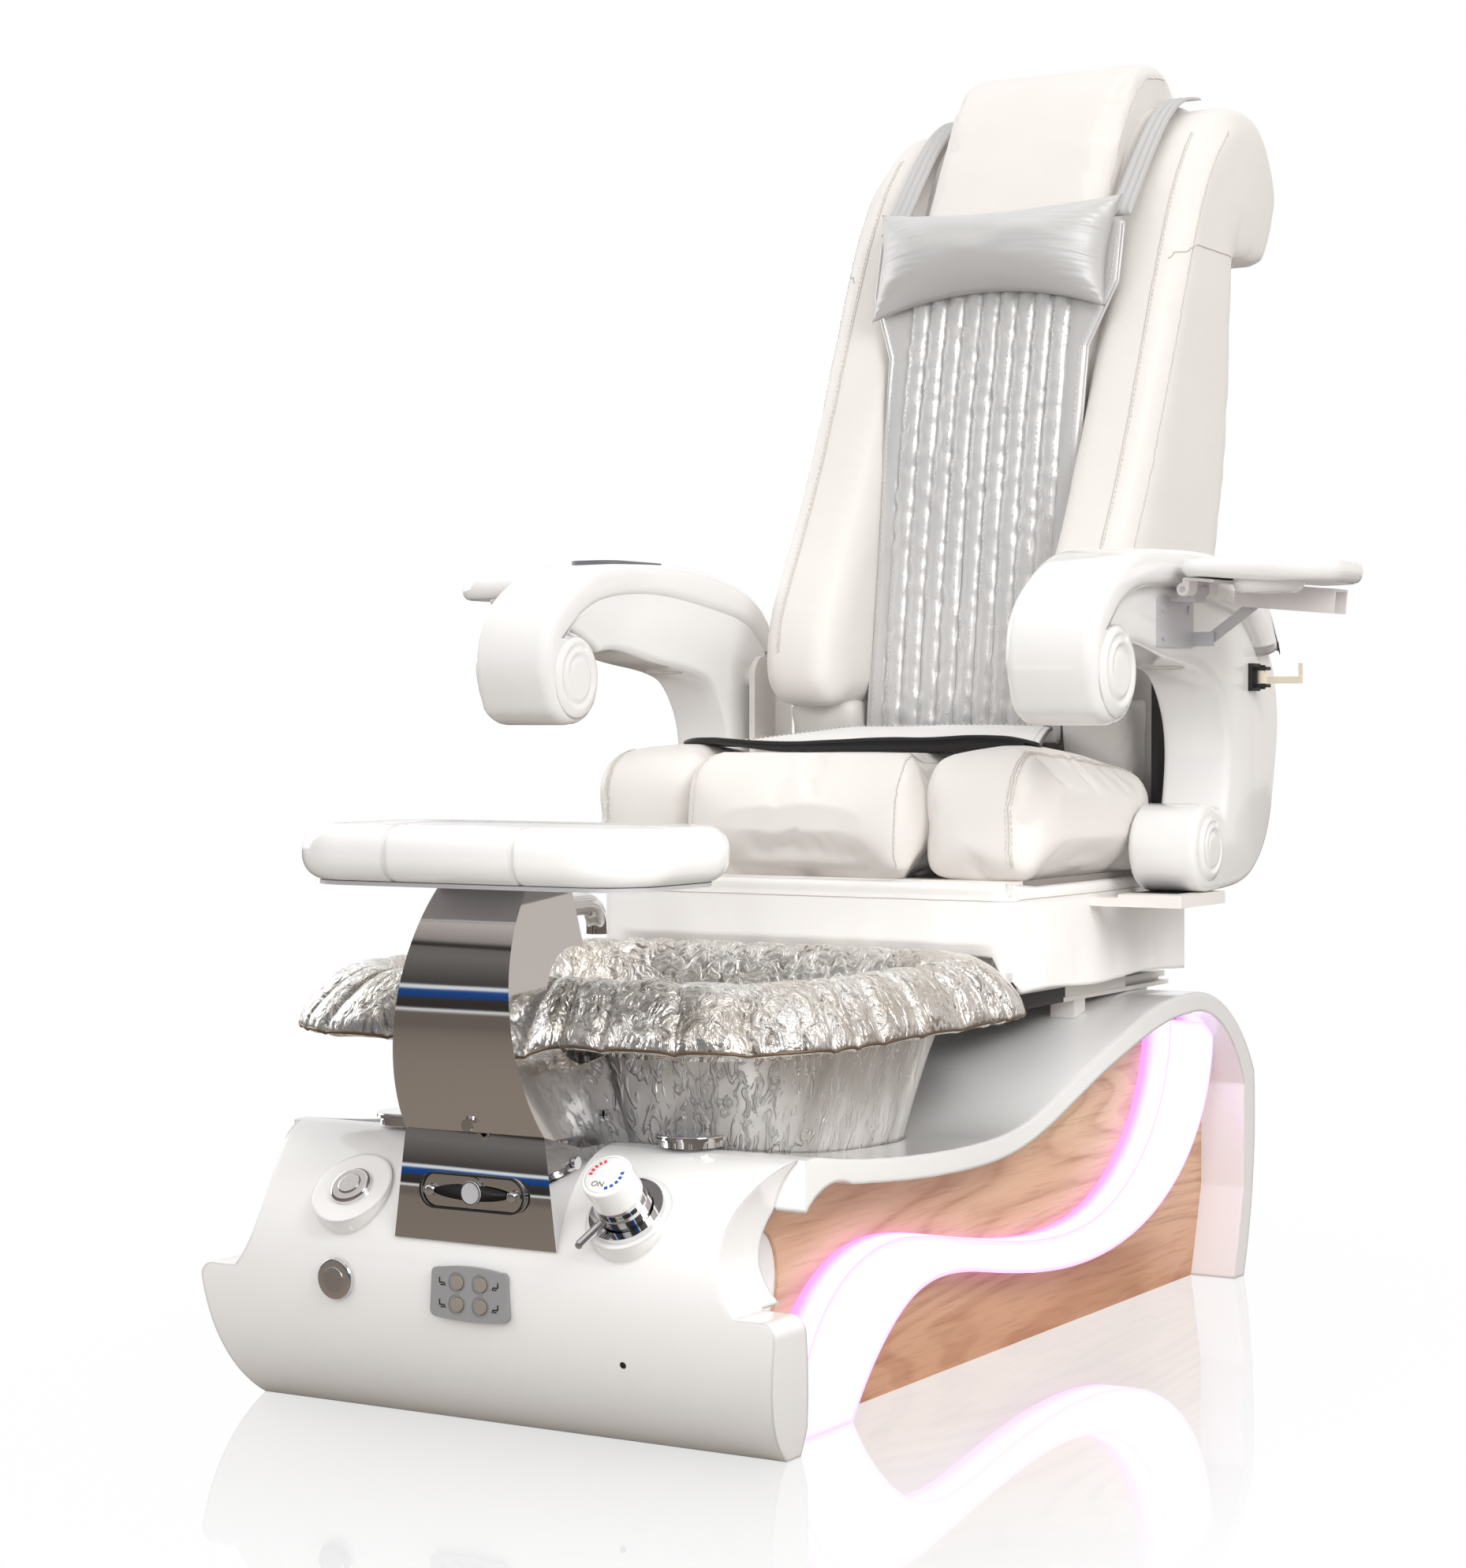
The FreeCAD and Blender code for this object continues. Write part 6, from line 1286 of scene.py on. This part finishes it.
        # The black lip hangs down to the seat: curled lining, and painted shade filling the gap under the lifted front.
        rolls = []
        for k in range(2, columns - 1):
            u = 2 * k / columns - 1
            share = limited((u + 1.0) / 1.15) ** 1.3 * min(1.0, (1.0 - u) / 0.06)
            drop = 4.0 + 15.0 * share
            top = verts[k]
            front, rear = [], []
            for step in range(7):
                t = step / 6
                z = max(SEAT_CREST, top.z - 0.0006 - drop * MM * t)
                y = top.y + (0.5 - 2.2 * math.sin(math.pi * t * 0.8) + 7.0 * t ** 3) * MM
                front.append(Vector((top.x, y, z)))
                rear.append(Vector((top.x, y + 0.0016, z + 0.0002)))
            rolls.append(front + rear[::-1])
        lip = loft("flap_lip", rolls, "black_lining")
        inner = [p.lerp(Vector((0, (y0 + y1) / 2 * MM, p.z)), 0.05) for p in border]
        stitches = silver_row(surface_of(obj), inner)
        return join("seat_flap_shape", [obj, welt, lip, stitches])


def round_square(u, v, half_x, half_y, radius):
    """Square parameter to a rounded rectangle."""
    edge_x, edge_y = half_x - radius, half_y - radius
    r = max(abs(u), abs(v))
    if r < 1e-9:
        return 0.0, 0.0
    bx, by = half_x * u / r, half_y * v / r
    dx, dy = abs(bx) - edge_x, abs(by) - edge_y
    if dx > 0 and dy > 0:
        reach = radius / math.hypot(dx, dy)
        bx, by = math.copysign(edge_x + dx * reach, bx), math.copysign(edge_y + dy * reach, by)
    return bx * r, by * r


# Seat


CUSHION_FOOT = 506.5
SKIRT_HALF = 262.0
SKIRT_ENDS = (-4.0, 488.0)
SKIRT_CORNER = 16.0
SKIRT_FRONT_FOOT = 424.0
SKIRT_SIDE_FOOT = 384.5


class SPA_OT_seat(bpy.types.Operator):
    """Seat cushion, bolsters and skirt"""
    bl_idname = "spa.seat"
    bl_label = "Seat"

    def execute(self, context):
        nose = Side(-20, CUSHION_FOOT)
        nose.line(-21, 512).curve((-24, 555), (-20, 598)).arc((-7, 627), (24, 639))
        nose.line(60, 640).line(200, 641).line(336, 640).line(336, CUSHION_FOOT)
        centre = prism("seat_pad", nose.closed(), -143, 143, "ivory_hide", 19, 5)
        puff(centre, 0.006, 0.012)
        for v in centre.data.vertices:
            v.co.y, v.co.z = max(v.co.y, -0.0265), min(v.co.z, 0.6432)
        wrinkle(centre, 0.0012, 14.0, 2)
        tree = surface_of(centre)
        made = [centre]
        for s in (-1, 1):
            run = [vec(s * 136, -40, z) for z in range(512, 600, 6)] + [vec(s * 136, y, 660) for y in range(-6, 110, 6)]
            made.append(seam(f"seat_seam_{s}", tree, run))
        centre = join("seat_pad", made)
        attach(centre, "seat")
        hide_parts("seat_cushion")
        side_line = Side(1, CUSHION_FOOT)
        side_line.line(1, 588).arc((14, 627), (54, 643)).curve((155, 640), (321, 619))
        side_line.line(344, 600).line(344, CUSHION_FOOT)
        bolster = prism("seat_side_right", side_line.closed(), 148, 279, "ivory_hide", 21, 5)
        puff(bolster, 0.006, 0.010)
        wrinkle(bolster, 0.0010, 15.0, 6)
        rim = [vec(262, -20, z) for z in range(512, 612, 6)]
        rim += [vec(262, y, 665 - 0.07 * y) for y in range(0, 340, 8)]
        stitches = seam("bolster_seam", surface_of(bolster), rim, (-0.0032, 0.0032))
        bolster = join("seat_side_right", [bolster, stitches])
        left = mirror_copy(bolster, "seat_side_left")
        for piece in (bolster, left):
            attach(piece, "seat")
            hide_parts("seat_bolsters")
        skirt = self.skirt()
        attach(skirt, "seat")
        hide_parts("seat_skirt")
        return {"FINISHED"}

    def skirt(self):
        """Hanging skirt with a sewn top band and soft folds."""
        w, y0, y1, r = SKIRT_HALF, *SKIRT_ENDS, SKIRT_CORNER
        ring = []
        corners = ((w - r, y0 + r, -90), (w - r, y1 - r, 0), (-w + r, y1 - r, 90), (-w + r, y0 + r, 180))
        for cx, cy, start in corners:
            for k in range(7):
                a = math.radians(start + 90 * k / 6)
                ring.append((cx + r * math.cos(a), cy + r * math.sin(a)))
        dense = []
        for p, q in zip(ring, ring[1:] + ring[:1]):
            steps = max(1, int(math.dist(p, q) / 8))
            dense += [(p[0] + (q[0] - p[0]) * k / steps, p[1] + (q[1] - p[1]) * k / steps) for k in range(steps)]

        def low(x, y):
            if y < 14:
                corner = 26.0 * limited((abs(x) - 238) / 16)
                return SKIRT_FRONT_FOOT - corner - max(0.0, y - 4) * (3.8 - corner / 10)
            return SKIRT_SIDE_FOOT + 2.5 * math.sin(y * 0.022)
        rows = 26
        top_turn, hem = [(0.10, 4.0), (0.03, 4.0), (0.0, 2.0)], [(1.0, 3.5), (0.9, 4.0)]
        levels = top_turn + [(i / rows, 0.0) for i in range(1, rows + 1)] + hem
        rings = []
        for t, inset in levels:
            line = []
            for x, y in dense:
                bottom = low(x, y)
                top = 504.0 - 5.0 * limited(y / 60)
                z = top + (bottom - top) * t
                fold = noise.noise(Vector((x * 0.018, y * 0.018, z * 0.004 + 3))) * 5.0 * t
                fold += noise.noise(Vector((x * 0.05, y * 0.05, z * 0.012))) * 1.6 * t
                nx = math.copysign(1, x) if abs(x) > w - 2 else 0.0
                ny = -1.0 if y < y0 + 2 else (1.0 if y > y1 - 2 else 0.0)
                push = limited(fold, -2.0, 5.0) - inset
                band = 1.2 if t < 0.14 and not inset else 0.0
                if y < y0 + 2:
                    push -= 10.0 * max(0.0, (439.0 - z) / 15.0) * limited((250 - abs(x)) / 40)
                line.append(vec(x + nx * (push + band), y + ny * (push + band), z))
            rings.append(line)
        obj = loft("skirt_wall", rings, "skirt_cloth", caps=False)
        run = [vec(x * 1.02, (y - 242) * 1.02 + 242, 485) for x, y in dense + dense[:1]]
        stitches = seam("skirt_stitch", surface_of(obj), run)
        skirt = join("skirt_wall", [obj, stitches])
        return skirt


# Bowl

BOWL_Y = -278.0
DRAIN_RADIUS = 0.022
BOWL_RINGS = (
    # half width, half length, corner radius, height, flute share, material zone
    (200, 172, 120, 152, 0.0, 0), (212, 186, 122, 205, 0.0, 0), (231, 205, 126, 290, 0.0, 0),
    (246, 222, 129, 352, 0.0, 0), (250, 226, 130, 370, 0.2, 1), (282, 266, 138, 367, 0.3, 1),
    (310, 303, 146, 367, 0.4, 1), (317, 311, 148, 372, 0.45, 1), (314, 308, 147, 384, 0.8, 1),
    (304, 296, 143, 402, 0.9, 1), (290, 281, 137, 419, 0.8, 1), (274, 264, 129, 430, 0.6, 1),
    (262, 250, 124, 433, 0.45, 1), (252, 238, 120, 424, 0.4, 2), (246, 229, 119, 404, 0.2, 2),
    (241, 219, 119, 372, 0.0, 2), (224, 200, 117, 290, 0.0, 2), (202, 176, 114, 200, 0.0, 2),
    (188, 160, 110, 168, 0.0, 2), (172, 145, 100, 161, 0.0, 2),
)


def rounded_ring(half_x, half_y, radius, count):
    """Points round a rounded rectangle at an even pitch, with their outward directions."""
    sx, sy = half_x - radius, half_y - radius
    runs = [length for side in (sy, sx, sy, sx) for length in (2 * side, radius * math.pi / 2)]
    total = sum(runs)
    out = []
    for i in range(count):
        s = total * i / count
        for kind, length in enumerate(runs):
            if s <= length:
                break
            s -= length
        t = s / length if length else 0
        q, corner = divmod(kind, 2)
        if corner:
            cx, cy = ((sx, sy), (-sx, sy), (-sx, -sy), (sx, -sy))[q]
            a = math.pi / 2 * (q + t)
            out.append((cx + radius * math.cos(a), cy + radius * math.sin(a), math.cos(a), math.sin(a)))
        else:
            out.append(((half_x, 2 * sy * t - sy, 1, 0), (sx - 2 * sx * t, half_y, 0, 1),
                        (-half_x, sy - 2 * sy * t, -1, 0), (2 * sx * t - sx, -half_y, 0, -1))[q])
    return out


class SPA_OT_bowl(bpy.types.Operator):
    """Silver-leaf foot bowl with a fluted, drooping lip"""
    bl_idname = "spa.bowl"
    bl_label = "Foot bowl"

    def execute(self, context):
        flutes = sizes().flutes
        count = 24 * flutes
        profile = []
        for a, b in zip(BOWL_RINGS, BOWL_RINGS[1:]):
            steps = 6 if a[5] == 1 or b[5] == 1 else 4
            for i in range(steps):
                t = i / steps
                profile.append([p + (q - p) * t for p, q in zip(a[:5], b[:5])] + [a[5] if t == 0 else b[5]])
        profile.append(list(BOWL_RINGS[-1]))
        smooth = [list(p) for p in profile]
        for _ in range(2):
            for i in range(1, len(smooth) - 1):
                smooth[i][:5] = [0.25 * a + 0.5 * b + 0.25 * c
                                 for a, b, c in zip(smooth[i - 1][:5], smooth[i][:5], smooth[i + 1][:5])]
        rings = []
        for hx, hy, r, z, share, _ in smooth:
            ring = []
            for i, (x, y, nx, ny) in enumerate(rounded_ring(hx, hy, r, count)):
                a = i / count
                phase = a * flutes + 0.30 * math.sin(a * 44) + 0.2 * math.sin(a * 88 + 1)
                cell = phase % 1.0
                pillowed = abs(math.sin(math.pi * cell))
                crease = math.exp(-((min(cell, 1 - cell)) / 0.07) ** 2)
                bulge = ((pillowed ** 0.7 - 0.6) * 5.0 - 4.0 * crease) * share * (1 + 0.5 * math.sin(a * 61))
                bulge += 2.0 * noise.noise(Vector((x * 0.015, y * 0.015, z * 0.01))) * (0.4 + share)
                bulge += 0.8 * noise.noise(Vector((x * 0.06, y * 0.06, z * 0.03 + 8)))
                lift = ((pillowed ** 0.7 - 0.7) * 5.0 - 2.5 * crease) * share
                ring.append(vec(x + nx * bulge, y + ny * bulge + BOWL_Y, z + lift))
            rings.append(ring)
        obj = loft("bowl_shape", rings, "bowl_body_silver", caps=False)
        for name in ("bowl_lip_foil", "bowl_inside_foil"):
            obj.data.materials.append(bpy.data.materials[name])
        for face in obj.data.polygons:
            face.material_index = smooth[face.vertices[0] // count][5]
        floor = loft("bowl_floor", floor_rings(rings[-1]), "bowl_inside_foil", caps=False)
        sole = loft("bowl_sole", floor_rings(rings[0]), "bowl_body_silver", caps=False)
        edge_at = max(range(len(smooth)), key=lambda i: smooth[i][0])
        edge = tube("bowl_edge", [p - Vector((0, 0, 0.001)) for p in rings[edge_at]], 0.0015, "bronze_edge", 8,
                    closed=True)
        bowl = join("bowl_shape", [obj, floor, sole, edge])
        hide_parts("foot_bowl")
        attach(bowl, "base")
        return {"FINISHED"}


def floor_rings(ring):
    """Rings from a wall's foot in to the drain."""
    centre = sum(ring, Vector()) / len(ring)
    z = sum(p.z for p in ring) / len(ring)
    rings = []
    for t in (0.0, 0.25, 0.5, 0.75, 1.0):
        line = []
        for p in ring:
            q = p.lerp((p - centre).normalized() * DRAIN_RADIUS + centre, t)
            line.append(Vector((q.x, q.y, z if t else p.z)))
        rings.append(line)
    return rings


# Small fittings


def disc(name, centre, axis, profile, material, sides=40):
    """Turned piece: profile of (radius, height) in mm along an axis."""
    axis = Vector(axis).normalized()
    first = axis.orthogonal().normalized()
    second = axis.cross(first)
    rings = []
    for r, h in profile:
        rings.append([centre + axis * (h * MM) + (first * math.cos(a) + second * math.sin(a)) * (r * MM)
                      for a in turn(sides)])
    return loft(name, rings, material)


VALVE_AXIS = (0, -0.682, 0.731)
VALVE_FOOT = (160, -605, 219)
VALVE_REACH = 0.0606
SEAT_SIGN = (((-3, 3.5), (-3, -1.5)), ((-3, -1.5), (2.2, -1.5)), ((2.2, -1.5), (3.4, -4.2)),
             ((-1.5, -3.6), (1.5, -3.6)))


class SPA_OT_fittings(bpy.types.Operator):
    """Valve face, pictograms, plate, grip inserts, apron hole and lit band edges"""
    bl_idname = "spa.fittings"
    bl_label = "Fittings"

    def execute(self, context):
        self.valve()
        self.plate()
        self.pictograms()
        self.insert_domes()
        self.apron_hole()
        self.band_edges()
        return {"FINISHED"}

    def apron_hole(self):
        """Small open screw hole low on the apron: a black disc paints the shade inside it."""
        shell = surface_of(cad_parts["base_shell"])
        point, normal = on_surface(shell, [vec(165, -680, 70)], 0.0, 0.09)[0]
        hole = disc("apron_hole", point, normal, [(3.4, -1.0), (3.4, 0.2), (0.3, 0.25)], "mark_black", 20)
        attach(hole, "base")

    def band_edges(self):
        """Coloured light that runs along the rim of each lit band's face."""
        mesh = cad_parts["led_strips"].data
        made = []
        for s in (-1, 1):
            faces = [f for f in mesh.polygons if f.normal.x * s > 0.9 and f.center.x * s > 0.27]
            count = {}
            for f in faces:
                loop = list(f.vertices)
                for a, b in zip(loop, loop[1:] + loop[:1]):
                    count.setdefault(frozenset((a, b)), []).append((a, b))
            follow = {pair[0][0]: pair[0][1] for pair in count.values() if len(pair) == 1}
            start = next(iter(follow))
            line, at = [start], follow[start]
            while at != start:
                line.append(at)
                at = follow[at]
            flat = even_path([mesh.vertices[i].co.copy() for i in line + line[:1]], 0.006)
            flat = flat[:-1] if (flat[0] - flat[-1]).length < 0.003 else flat
            n = len(flat)
            rows = []
            for i, p in enumerate(flat):
                along = (flat[(i + 2) % n] - flat[i - 2]).normalized()
                inward = Vector((s, 0, 0)).cross(along)
                rows.append([p + inward * w * MM + Vector((s * h * MM, 0, 0))
                             for w, h in ((0.2, -1.2), (0.2, 0.35), (4.0, 0.45), (9.0, 0.4), (9.0, -1.2))])
            ribbon = loft(f"band_edge_{s}", rows + rows[:1], "band_rim", caps=False)
            shade = ribbon.data.color_attributes.new("rim", "FLOAT_COLOR", "POINT")
            for i, item in enumerate(shade.data):
                t = (0.0, 0.0, 0.55, 1.0, 1.0)[i % 5]
                item.color = (t, t, t, 1.0)
            made.append(ribbon)
        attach(join("band_edges", made), "base")

    def valve(self):
        """White face of the temperature knob with red and blue dashes and its ON mark."""
        axis = Vector(VALVE_AXIS).normalized()
        face = vec(*VALVE_FOOT) + axis * VALVE_REACH
        across = Vector((1, 0, 0))
        up = axis.cross(across)
        made = [disc("valve_face", face, axis, [(21.5, -0.4), (21.5, 0.35), (20.8, 0.5), (2, 0.5)], "tray_gloss")]
        for start, end, material in ((112, 192, "mark_red"), (288, 385, "mark_blue")):
            for k in range(5):
                a0, a1 = (math.radians(start + (end - start) * (k + part) / 5) for part in (0, 0.62))
                quad = [face + axis * 0.0006 + (across * math.cos(a) + up * math.sin(a)) * (r * MM)
                        for a, r in ((a0, 14.6), (a1, 14.6), (a1, 18.4), (a0, 18.4))]
                made.append(mesh_object("dash", quad, [(0, 1, 2, 3)], material, False))
        text = bpy.data.curves.new("on_mark", "FONT")
        text.body = "ON"
        text.size = 0.0085
        text.align_x = text.align_y = "CENTER"
        text.extrude = 0.0001
        letters = bpy.data.objects.new("on_mark", text)
        bpy.context.collection.objects.link(letters)
        letters.matrix_world = Matrix.Translation(face + axis * 0.0006 - up * 0.0115 - across * 0.004) @ \
            Matrix((across, up, axis)).transposed().to_4x4()
        paint(letters, "mark_black")
        bpy.context.view_layer.update()
        mesh = bpy.data.meshes.new_from_object(letters)
        mesh.transform(letters.matrix_world)
        flat = bpy.data.objects.new("on_letters", mesh)
        bpy.context.collection.objects.link(flat)
        bpy.data.objects.remove(letters)
        paint(flat, "mark_black")
        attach(join("valve_marks", [*made, flat]), "thermostat_knob")

    def plate(self):
        """Oval plate on the bracket: dark rim line, blank round disc and two dome screws."""
        low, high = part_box("name_plate")
        y = low[1] - 0.0001
        zc = (low[2] + high[2]) / 2
        half, end = (high[0] - low[0]) / 2, (high[2] - low[2]) / 2
        round_end = end - 0.0006
        rim = [Vector((round_end * math.cos(a) + math.copysign(half - end, math.cos(a)), y,
                       zc + round_end * math.sin(a))) for a in turn(64)]
        made = [tube("plate_rim", rim, 0.0010, "mark_black", 6, closed=True)]
        inner = [Vector((0.044 * math.cos(a), y - 0.0002, zc + 0.0075 * math.sin(a))) for a in turn(48)]
        made.append(loft("plate_oval", [inner, [p.lerp(Vector((0, y - 0.0003, zc)), 0.9) for p in inner]],
                         "black_steel"))
        centre = Vector((0, y, zc))
        front = (0, -1, 0)
        made.append(disc("plate_disc", centre, front, [(11.5, 0), (11.5, 1.2), (10.8, 1.6), (9.8, 1.5), (2, 1.5)],
                         "bracket_steel"))
        ring = [centre + Vector((0.0106 * math.cos(a), -0.0016, 0.0106 * math.sin(a))) for a in turn(40)]
        made.append(tube("plate_ring", ring, 0.0005, "mark_black", 6, closed=True))
        for s in (-1, 1):
            made.append(disc("plate_screw", Vector((s * 0.047, y, zc)), front,
                             [(5.6, 0), (5.5, 1.2), (4.8, 2.8), (3.4, 4.0), (1.6, 4.6), (0.2, 4.7)],
                             "mirror_chrome", 24))
        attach(join("plate_marks", made), "base")

    def pictograms(self):
        """Small seat signs beside the panel's keys."""
        low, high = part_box("control_panel")
        y = low[1] - 0.0002
        zc = (low[2] + high[2]) / 2
        made = []
        for s in (-1, 1):
            for z in (zc + 0.0105, zc - 0.0105):
                for bar in SEAT_SIGN:
                    a, b = (Vector((s * 0.0305 - s * across * MM, y, z + up * MM)) for across, up in bar)
                    made.append(tube("bar", [a, (a + b) / 2, b], 0.0006, "mark_black", 6))
        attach(join("panel_signs", made), "base")

    def insert_domes(self):
        """Bulge of the white cup behind each grip hole."""
        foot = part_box("grip_inserts")[1][0] / MM - 5.5
        for s, name in ((1, "right"), (-1, "left")):
            rings = [[vec(s * (foot + h), -508 + 31 * r * math.cos(a), 152 + 45 * r * math.sin(a)) for a in turn(40)]
                     for r, h in ((1.0, 0.0), (0.93, 1.6), (0.8, 2.8), (0.6, 3.8), (0.3, 4.5), (0.02, 4.7))]
            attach(loft(f"grip_dome_{name}", rings, "tray_gloss"), "base")


# Stage


ROOM_BANDS = (
    # what polished metal mirrors from the room, from the ground up
    (0.0, (0.30, 0.25, 0.21)), (0.49, (0.16, 0.14, 0.12)), (0.503, (0.85, 0.85, 0.84)),
    (0.510, (0.03, 0.027, 0.024)),
    (0.552, (0.045, 0.038, 0.034)), (0.562, (0.012, 0.055, 0.20)), (0.592, (0.015, 0.07, 0.26)),
    (0.598, (0.78, 0.84, 0.84)), (0.607, (0.75, 0.78, 0.78)), (0.613, (0.055, 0.05, 0.046)),
    (0.73, (0.17, 0.155, 0.145)),
    (0.757, (0.16, 0.145, 0.135)), (0.764, (0.03, 0.028, 0.027)), (0.775, (0.05, 0.045, 0.042)),
    (0.79, (0.30, 0.27, 0.25)), (0.87, (0.62, 0.56, 0.52)), (0.93, (0.74, 0.69, 0.66)), (1.0, (0.9, 0.88, 0.86)),
)


FLOOR_HALF = 14.0
CAMERA_AT = (1.7398, -3.0896, 0.680)
CAMERA_TURN = (90 - 1.15, 0, 30.6)
LIGHTS = (
    # name, place, target, size, power, whether metal and floor mirror it, spread in degrees
    ("key", (-3.3, -4.6, 4.4), (0, 0, 0.7), 3.2, 50, False),
    ("front", (1.6, -6.0, 2.3), (0, 0, 0.4), 2.4, 46, False),
    ("side", (4.0, -1.8, 3.2), (0, 0, 0.5), 2.2, 108, True),
    ("left", (-4.2, 0.4, 1.8), (0, 0, 0.5), 2.2, 46, True),
    ("top", (0.0, 0.8, 6.2), (0, 0, 0.6), 3.0, 26, True),
    ("deck", (0.75, -0.30, 0.72), (0.27, 0.12, 0.33), 0.12, 0.10, False, 44),
    ("bowl", (0.62, -1.1, 0.62), (0.16, -0.22, 0.36), 0.3, 0.45, False, 60),
)


class SPA_OT_stage(bpy.types.Operator):
    """Floor, lights, world and camera"""
    bl_idname = "spa.stage"
    bl_label = "Stage"

    def execute(self, context):
        scene = context.scene
        camera_data = bpy.data.cameras.new("view")
        camera_data.lens = sizes().lens
        camera_data.sensor_width = 36
        camera = bpy.data.objects.new("view", camera_data)
        camera.location = CAMERA_AT
        camera.rotation_euler = [math.radians(angle) for angle in CAMERA_TURN]
        context.collection.objects.link(camera)
        scene.camera = camera
        scene.view_settings.view_transform = "Standard"
        scene.view_settings.look = "None"
        self.floor()
        self.world(scene)
        for row in LIGHTS:
            self.light(*row)
        return {"FINISHED"}

    def light(self, name, place, target, size, power, mirrored, spread=180):
        data = bpy.data.lights.new(name, "AREA")
        data.size = size
        data.energy = power
        data.spread = math.radians(spread)
        obj = bpy.data.objects.new(name, data)
        obj.location = place
        obj.rotation_euler = (Vector(target) - Vector(place)).to_track_quat("-Z", "Y").to_euler()
        obj.visible_glossy = mirrored
        obj.visible_camera = False
        bpy.context.collection.objects.link(obj)

    def floor(self):
        """White to the camera with a faint mirrored chair, plain grey to every other ray."""
        corners = [(x * FLOOR_HALF, y * FLOOR_HALF, 0) for x, y in ((-1, -1), (1, -1), (1, 1), (-1, 1))]
        floor = mesh_object("floor", corners, [(0, 1, 2, 3)], "gelcoat_gloss")
        tree = new_material("white_floor", Base_Color=(0.5, 0.48, 0.46), Roughness=0.5)
        coords = tree.add("ShaderNodeTexCoord")
        reach = tree.add("ShaderNodeMapping", {"Vector": coords.outputs["Object"], "Scale": (0.95, 0.62, 1.0)})
        far = tree.add("ShaderNodeVectorMath", {0: reach.outputs["Vector"]}, operation="LENGTH")
        fade = tree.ramp(far.outputs["Value"], (0.40, 0.34), (0.88, 0.0))
        white = tree.add("ShaderNodeEmission", {"Color": (1.0, 1.0, 1.0), "Strength": 1.0})
        mirror = tree.add("ShaderNodeBsdfAnisotropic", {"Color": (0.97, 0.97, 0.97), "Roughness": 0.02})
        path = tree.add("ShaderNodeLightPath")
        around = tree.ramp(tree.math("MULTIPLY", far.outputs["Value"], 0.25),
                           (0.15, (0.27, 0.225, 0.185)), (0.6, (0.15, 0.125, 0.105)))
        dull = tree.add("ShaderNodeEmission", {"Color": around, "Strength": 1.0})

        def blend(fac, first, second):
            return tree.add("ShaderNodeMixShader", {"Fac": fac, 1: first.outputs[0], 2: second.outputs[0]})
        seen = blend(fade, white, mirror)
        other = blend(path.outputs["Is Glossy Ray"], tree.shader, dull)
        both = blend(path.outputs["Is Camera Ray"], other, seen)
        tree.links.new(both.outputs["Shader"], tree.nodes["Material Output"].inputs["Surface"])
        paint(floor, "white_floor")

    def world(self, scene):
        world = bpy.data.worlds.new("studio")
        scene.world = world
        world.use_nodes = True
        tree = Tree(world.node_tree)
        tree.nodes.clear()
        out = tree.add("ShaderNodeOutputWorld")
        coords = tree.add("ShaderNodeTexCoord")
        wave = tree.add("ShaderNodeTexNoise", {"Vector": coords.outputs["Generated"], "Scale": 5.0, "Detail": 2.0})
        x, y, z = tree.axes("Generated")
        lean = tree.math("MULTIPLY", tree.math("SUBTRACT", wave.outputs["Fac"], 0.5), 0.05)
        bands = tree.ramp(tree.scaled(tree.math("ADD", z, lean), 0.5, 0.5), *ROOM_BANDS)
        ahead = tree.ramp(tree.math("ADD", y, 0.5), (0.42, 0.0), (0.52, 1.0))
        aside = tree.ramp(tree.math("ADD", x, 0.5), (0.50, 1.0), (0.58, (0.60, 0.54, 0.50)))
        room = tree.mix(ahead, bands, aside)
        path = tree.add("ShaderNodeLightPath")
        glossy = tree.mix(path.outputs["Is Glossy Ray"], (0.82, 0.81, 0.80), room)
        seen = tree.mix(path.outputs["Is Camera Ray"], glossy, (1.0, 1.0, 1.0))
        background = tree.add("ShaderNodeBackground", {"Color": seen, "Strength": 1.0})
        tree.links.new(background.outputs["Background"], out.inputs["Surface"])


class SPA_PT_panel(bpy.types.Panel):
    bl_label = "Spa Chair"
    bl_idname = "SPA_PT_panel"
    bl_space_type = "VIEW_3D"
    bl_region_type = "UI"
    bl_category = "Spa Chair"

    def draw(self, context):
        layout = self.layout
        for group in (context.scene.chair_sizes, context.scene.chair_colours):
            for name in group.bl_rna.properties.keys():
                if name not in ("rna_type", "name"):
                    layout.prop(group, name)
        for operator in OPERATORS:
            layout.operator(operator.bl_idname)


OPERATORS = (SPA_OT_finishes, SPA_OT_stage, SPA_OT_arms, SPA_OT_trays, SPA_OT_backrest, SPA_OT_cover, SPA_OT_seat,
             SPA_OT_bowl, SPA_OT_fittings)
CLASSES = (ChairColours, ChairSizes, *OPERATORS, SPA_PT_panel)


def register():
    for cls in CLASSES:
        bpy.utils.register_class(cls)
    bpy.types.Scene.chair_colours = PointerProperty(type=ChairColours)
    bpy.types.Scene.chair_sizes = PointerProperty(type=ChairSizes)


def unregister():
    del bpy.types.Scene.chair_sizes
    del bpy.types.Scene.chair_colours
    for cls in reversed(CLASSES):
        bpy.utils.unregister_class(cls)


def main():
    register()
    for operator in OPERATORS:
        family, name = operator.bl_idname.split(".")
        result = getattr(getattr(bpy.ops, family), name)()
        if result != {"FINISHED"}:
            raise RuntimeError(operator.bl_label + " did not finish")


if __name__ == "__main__":
    main()
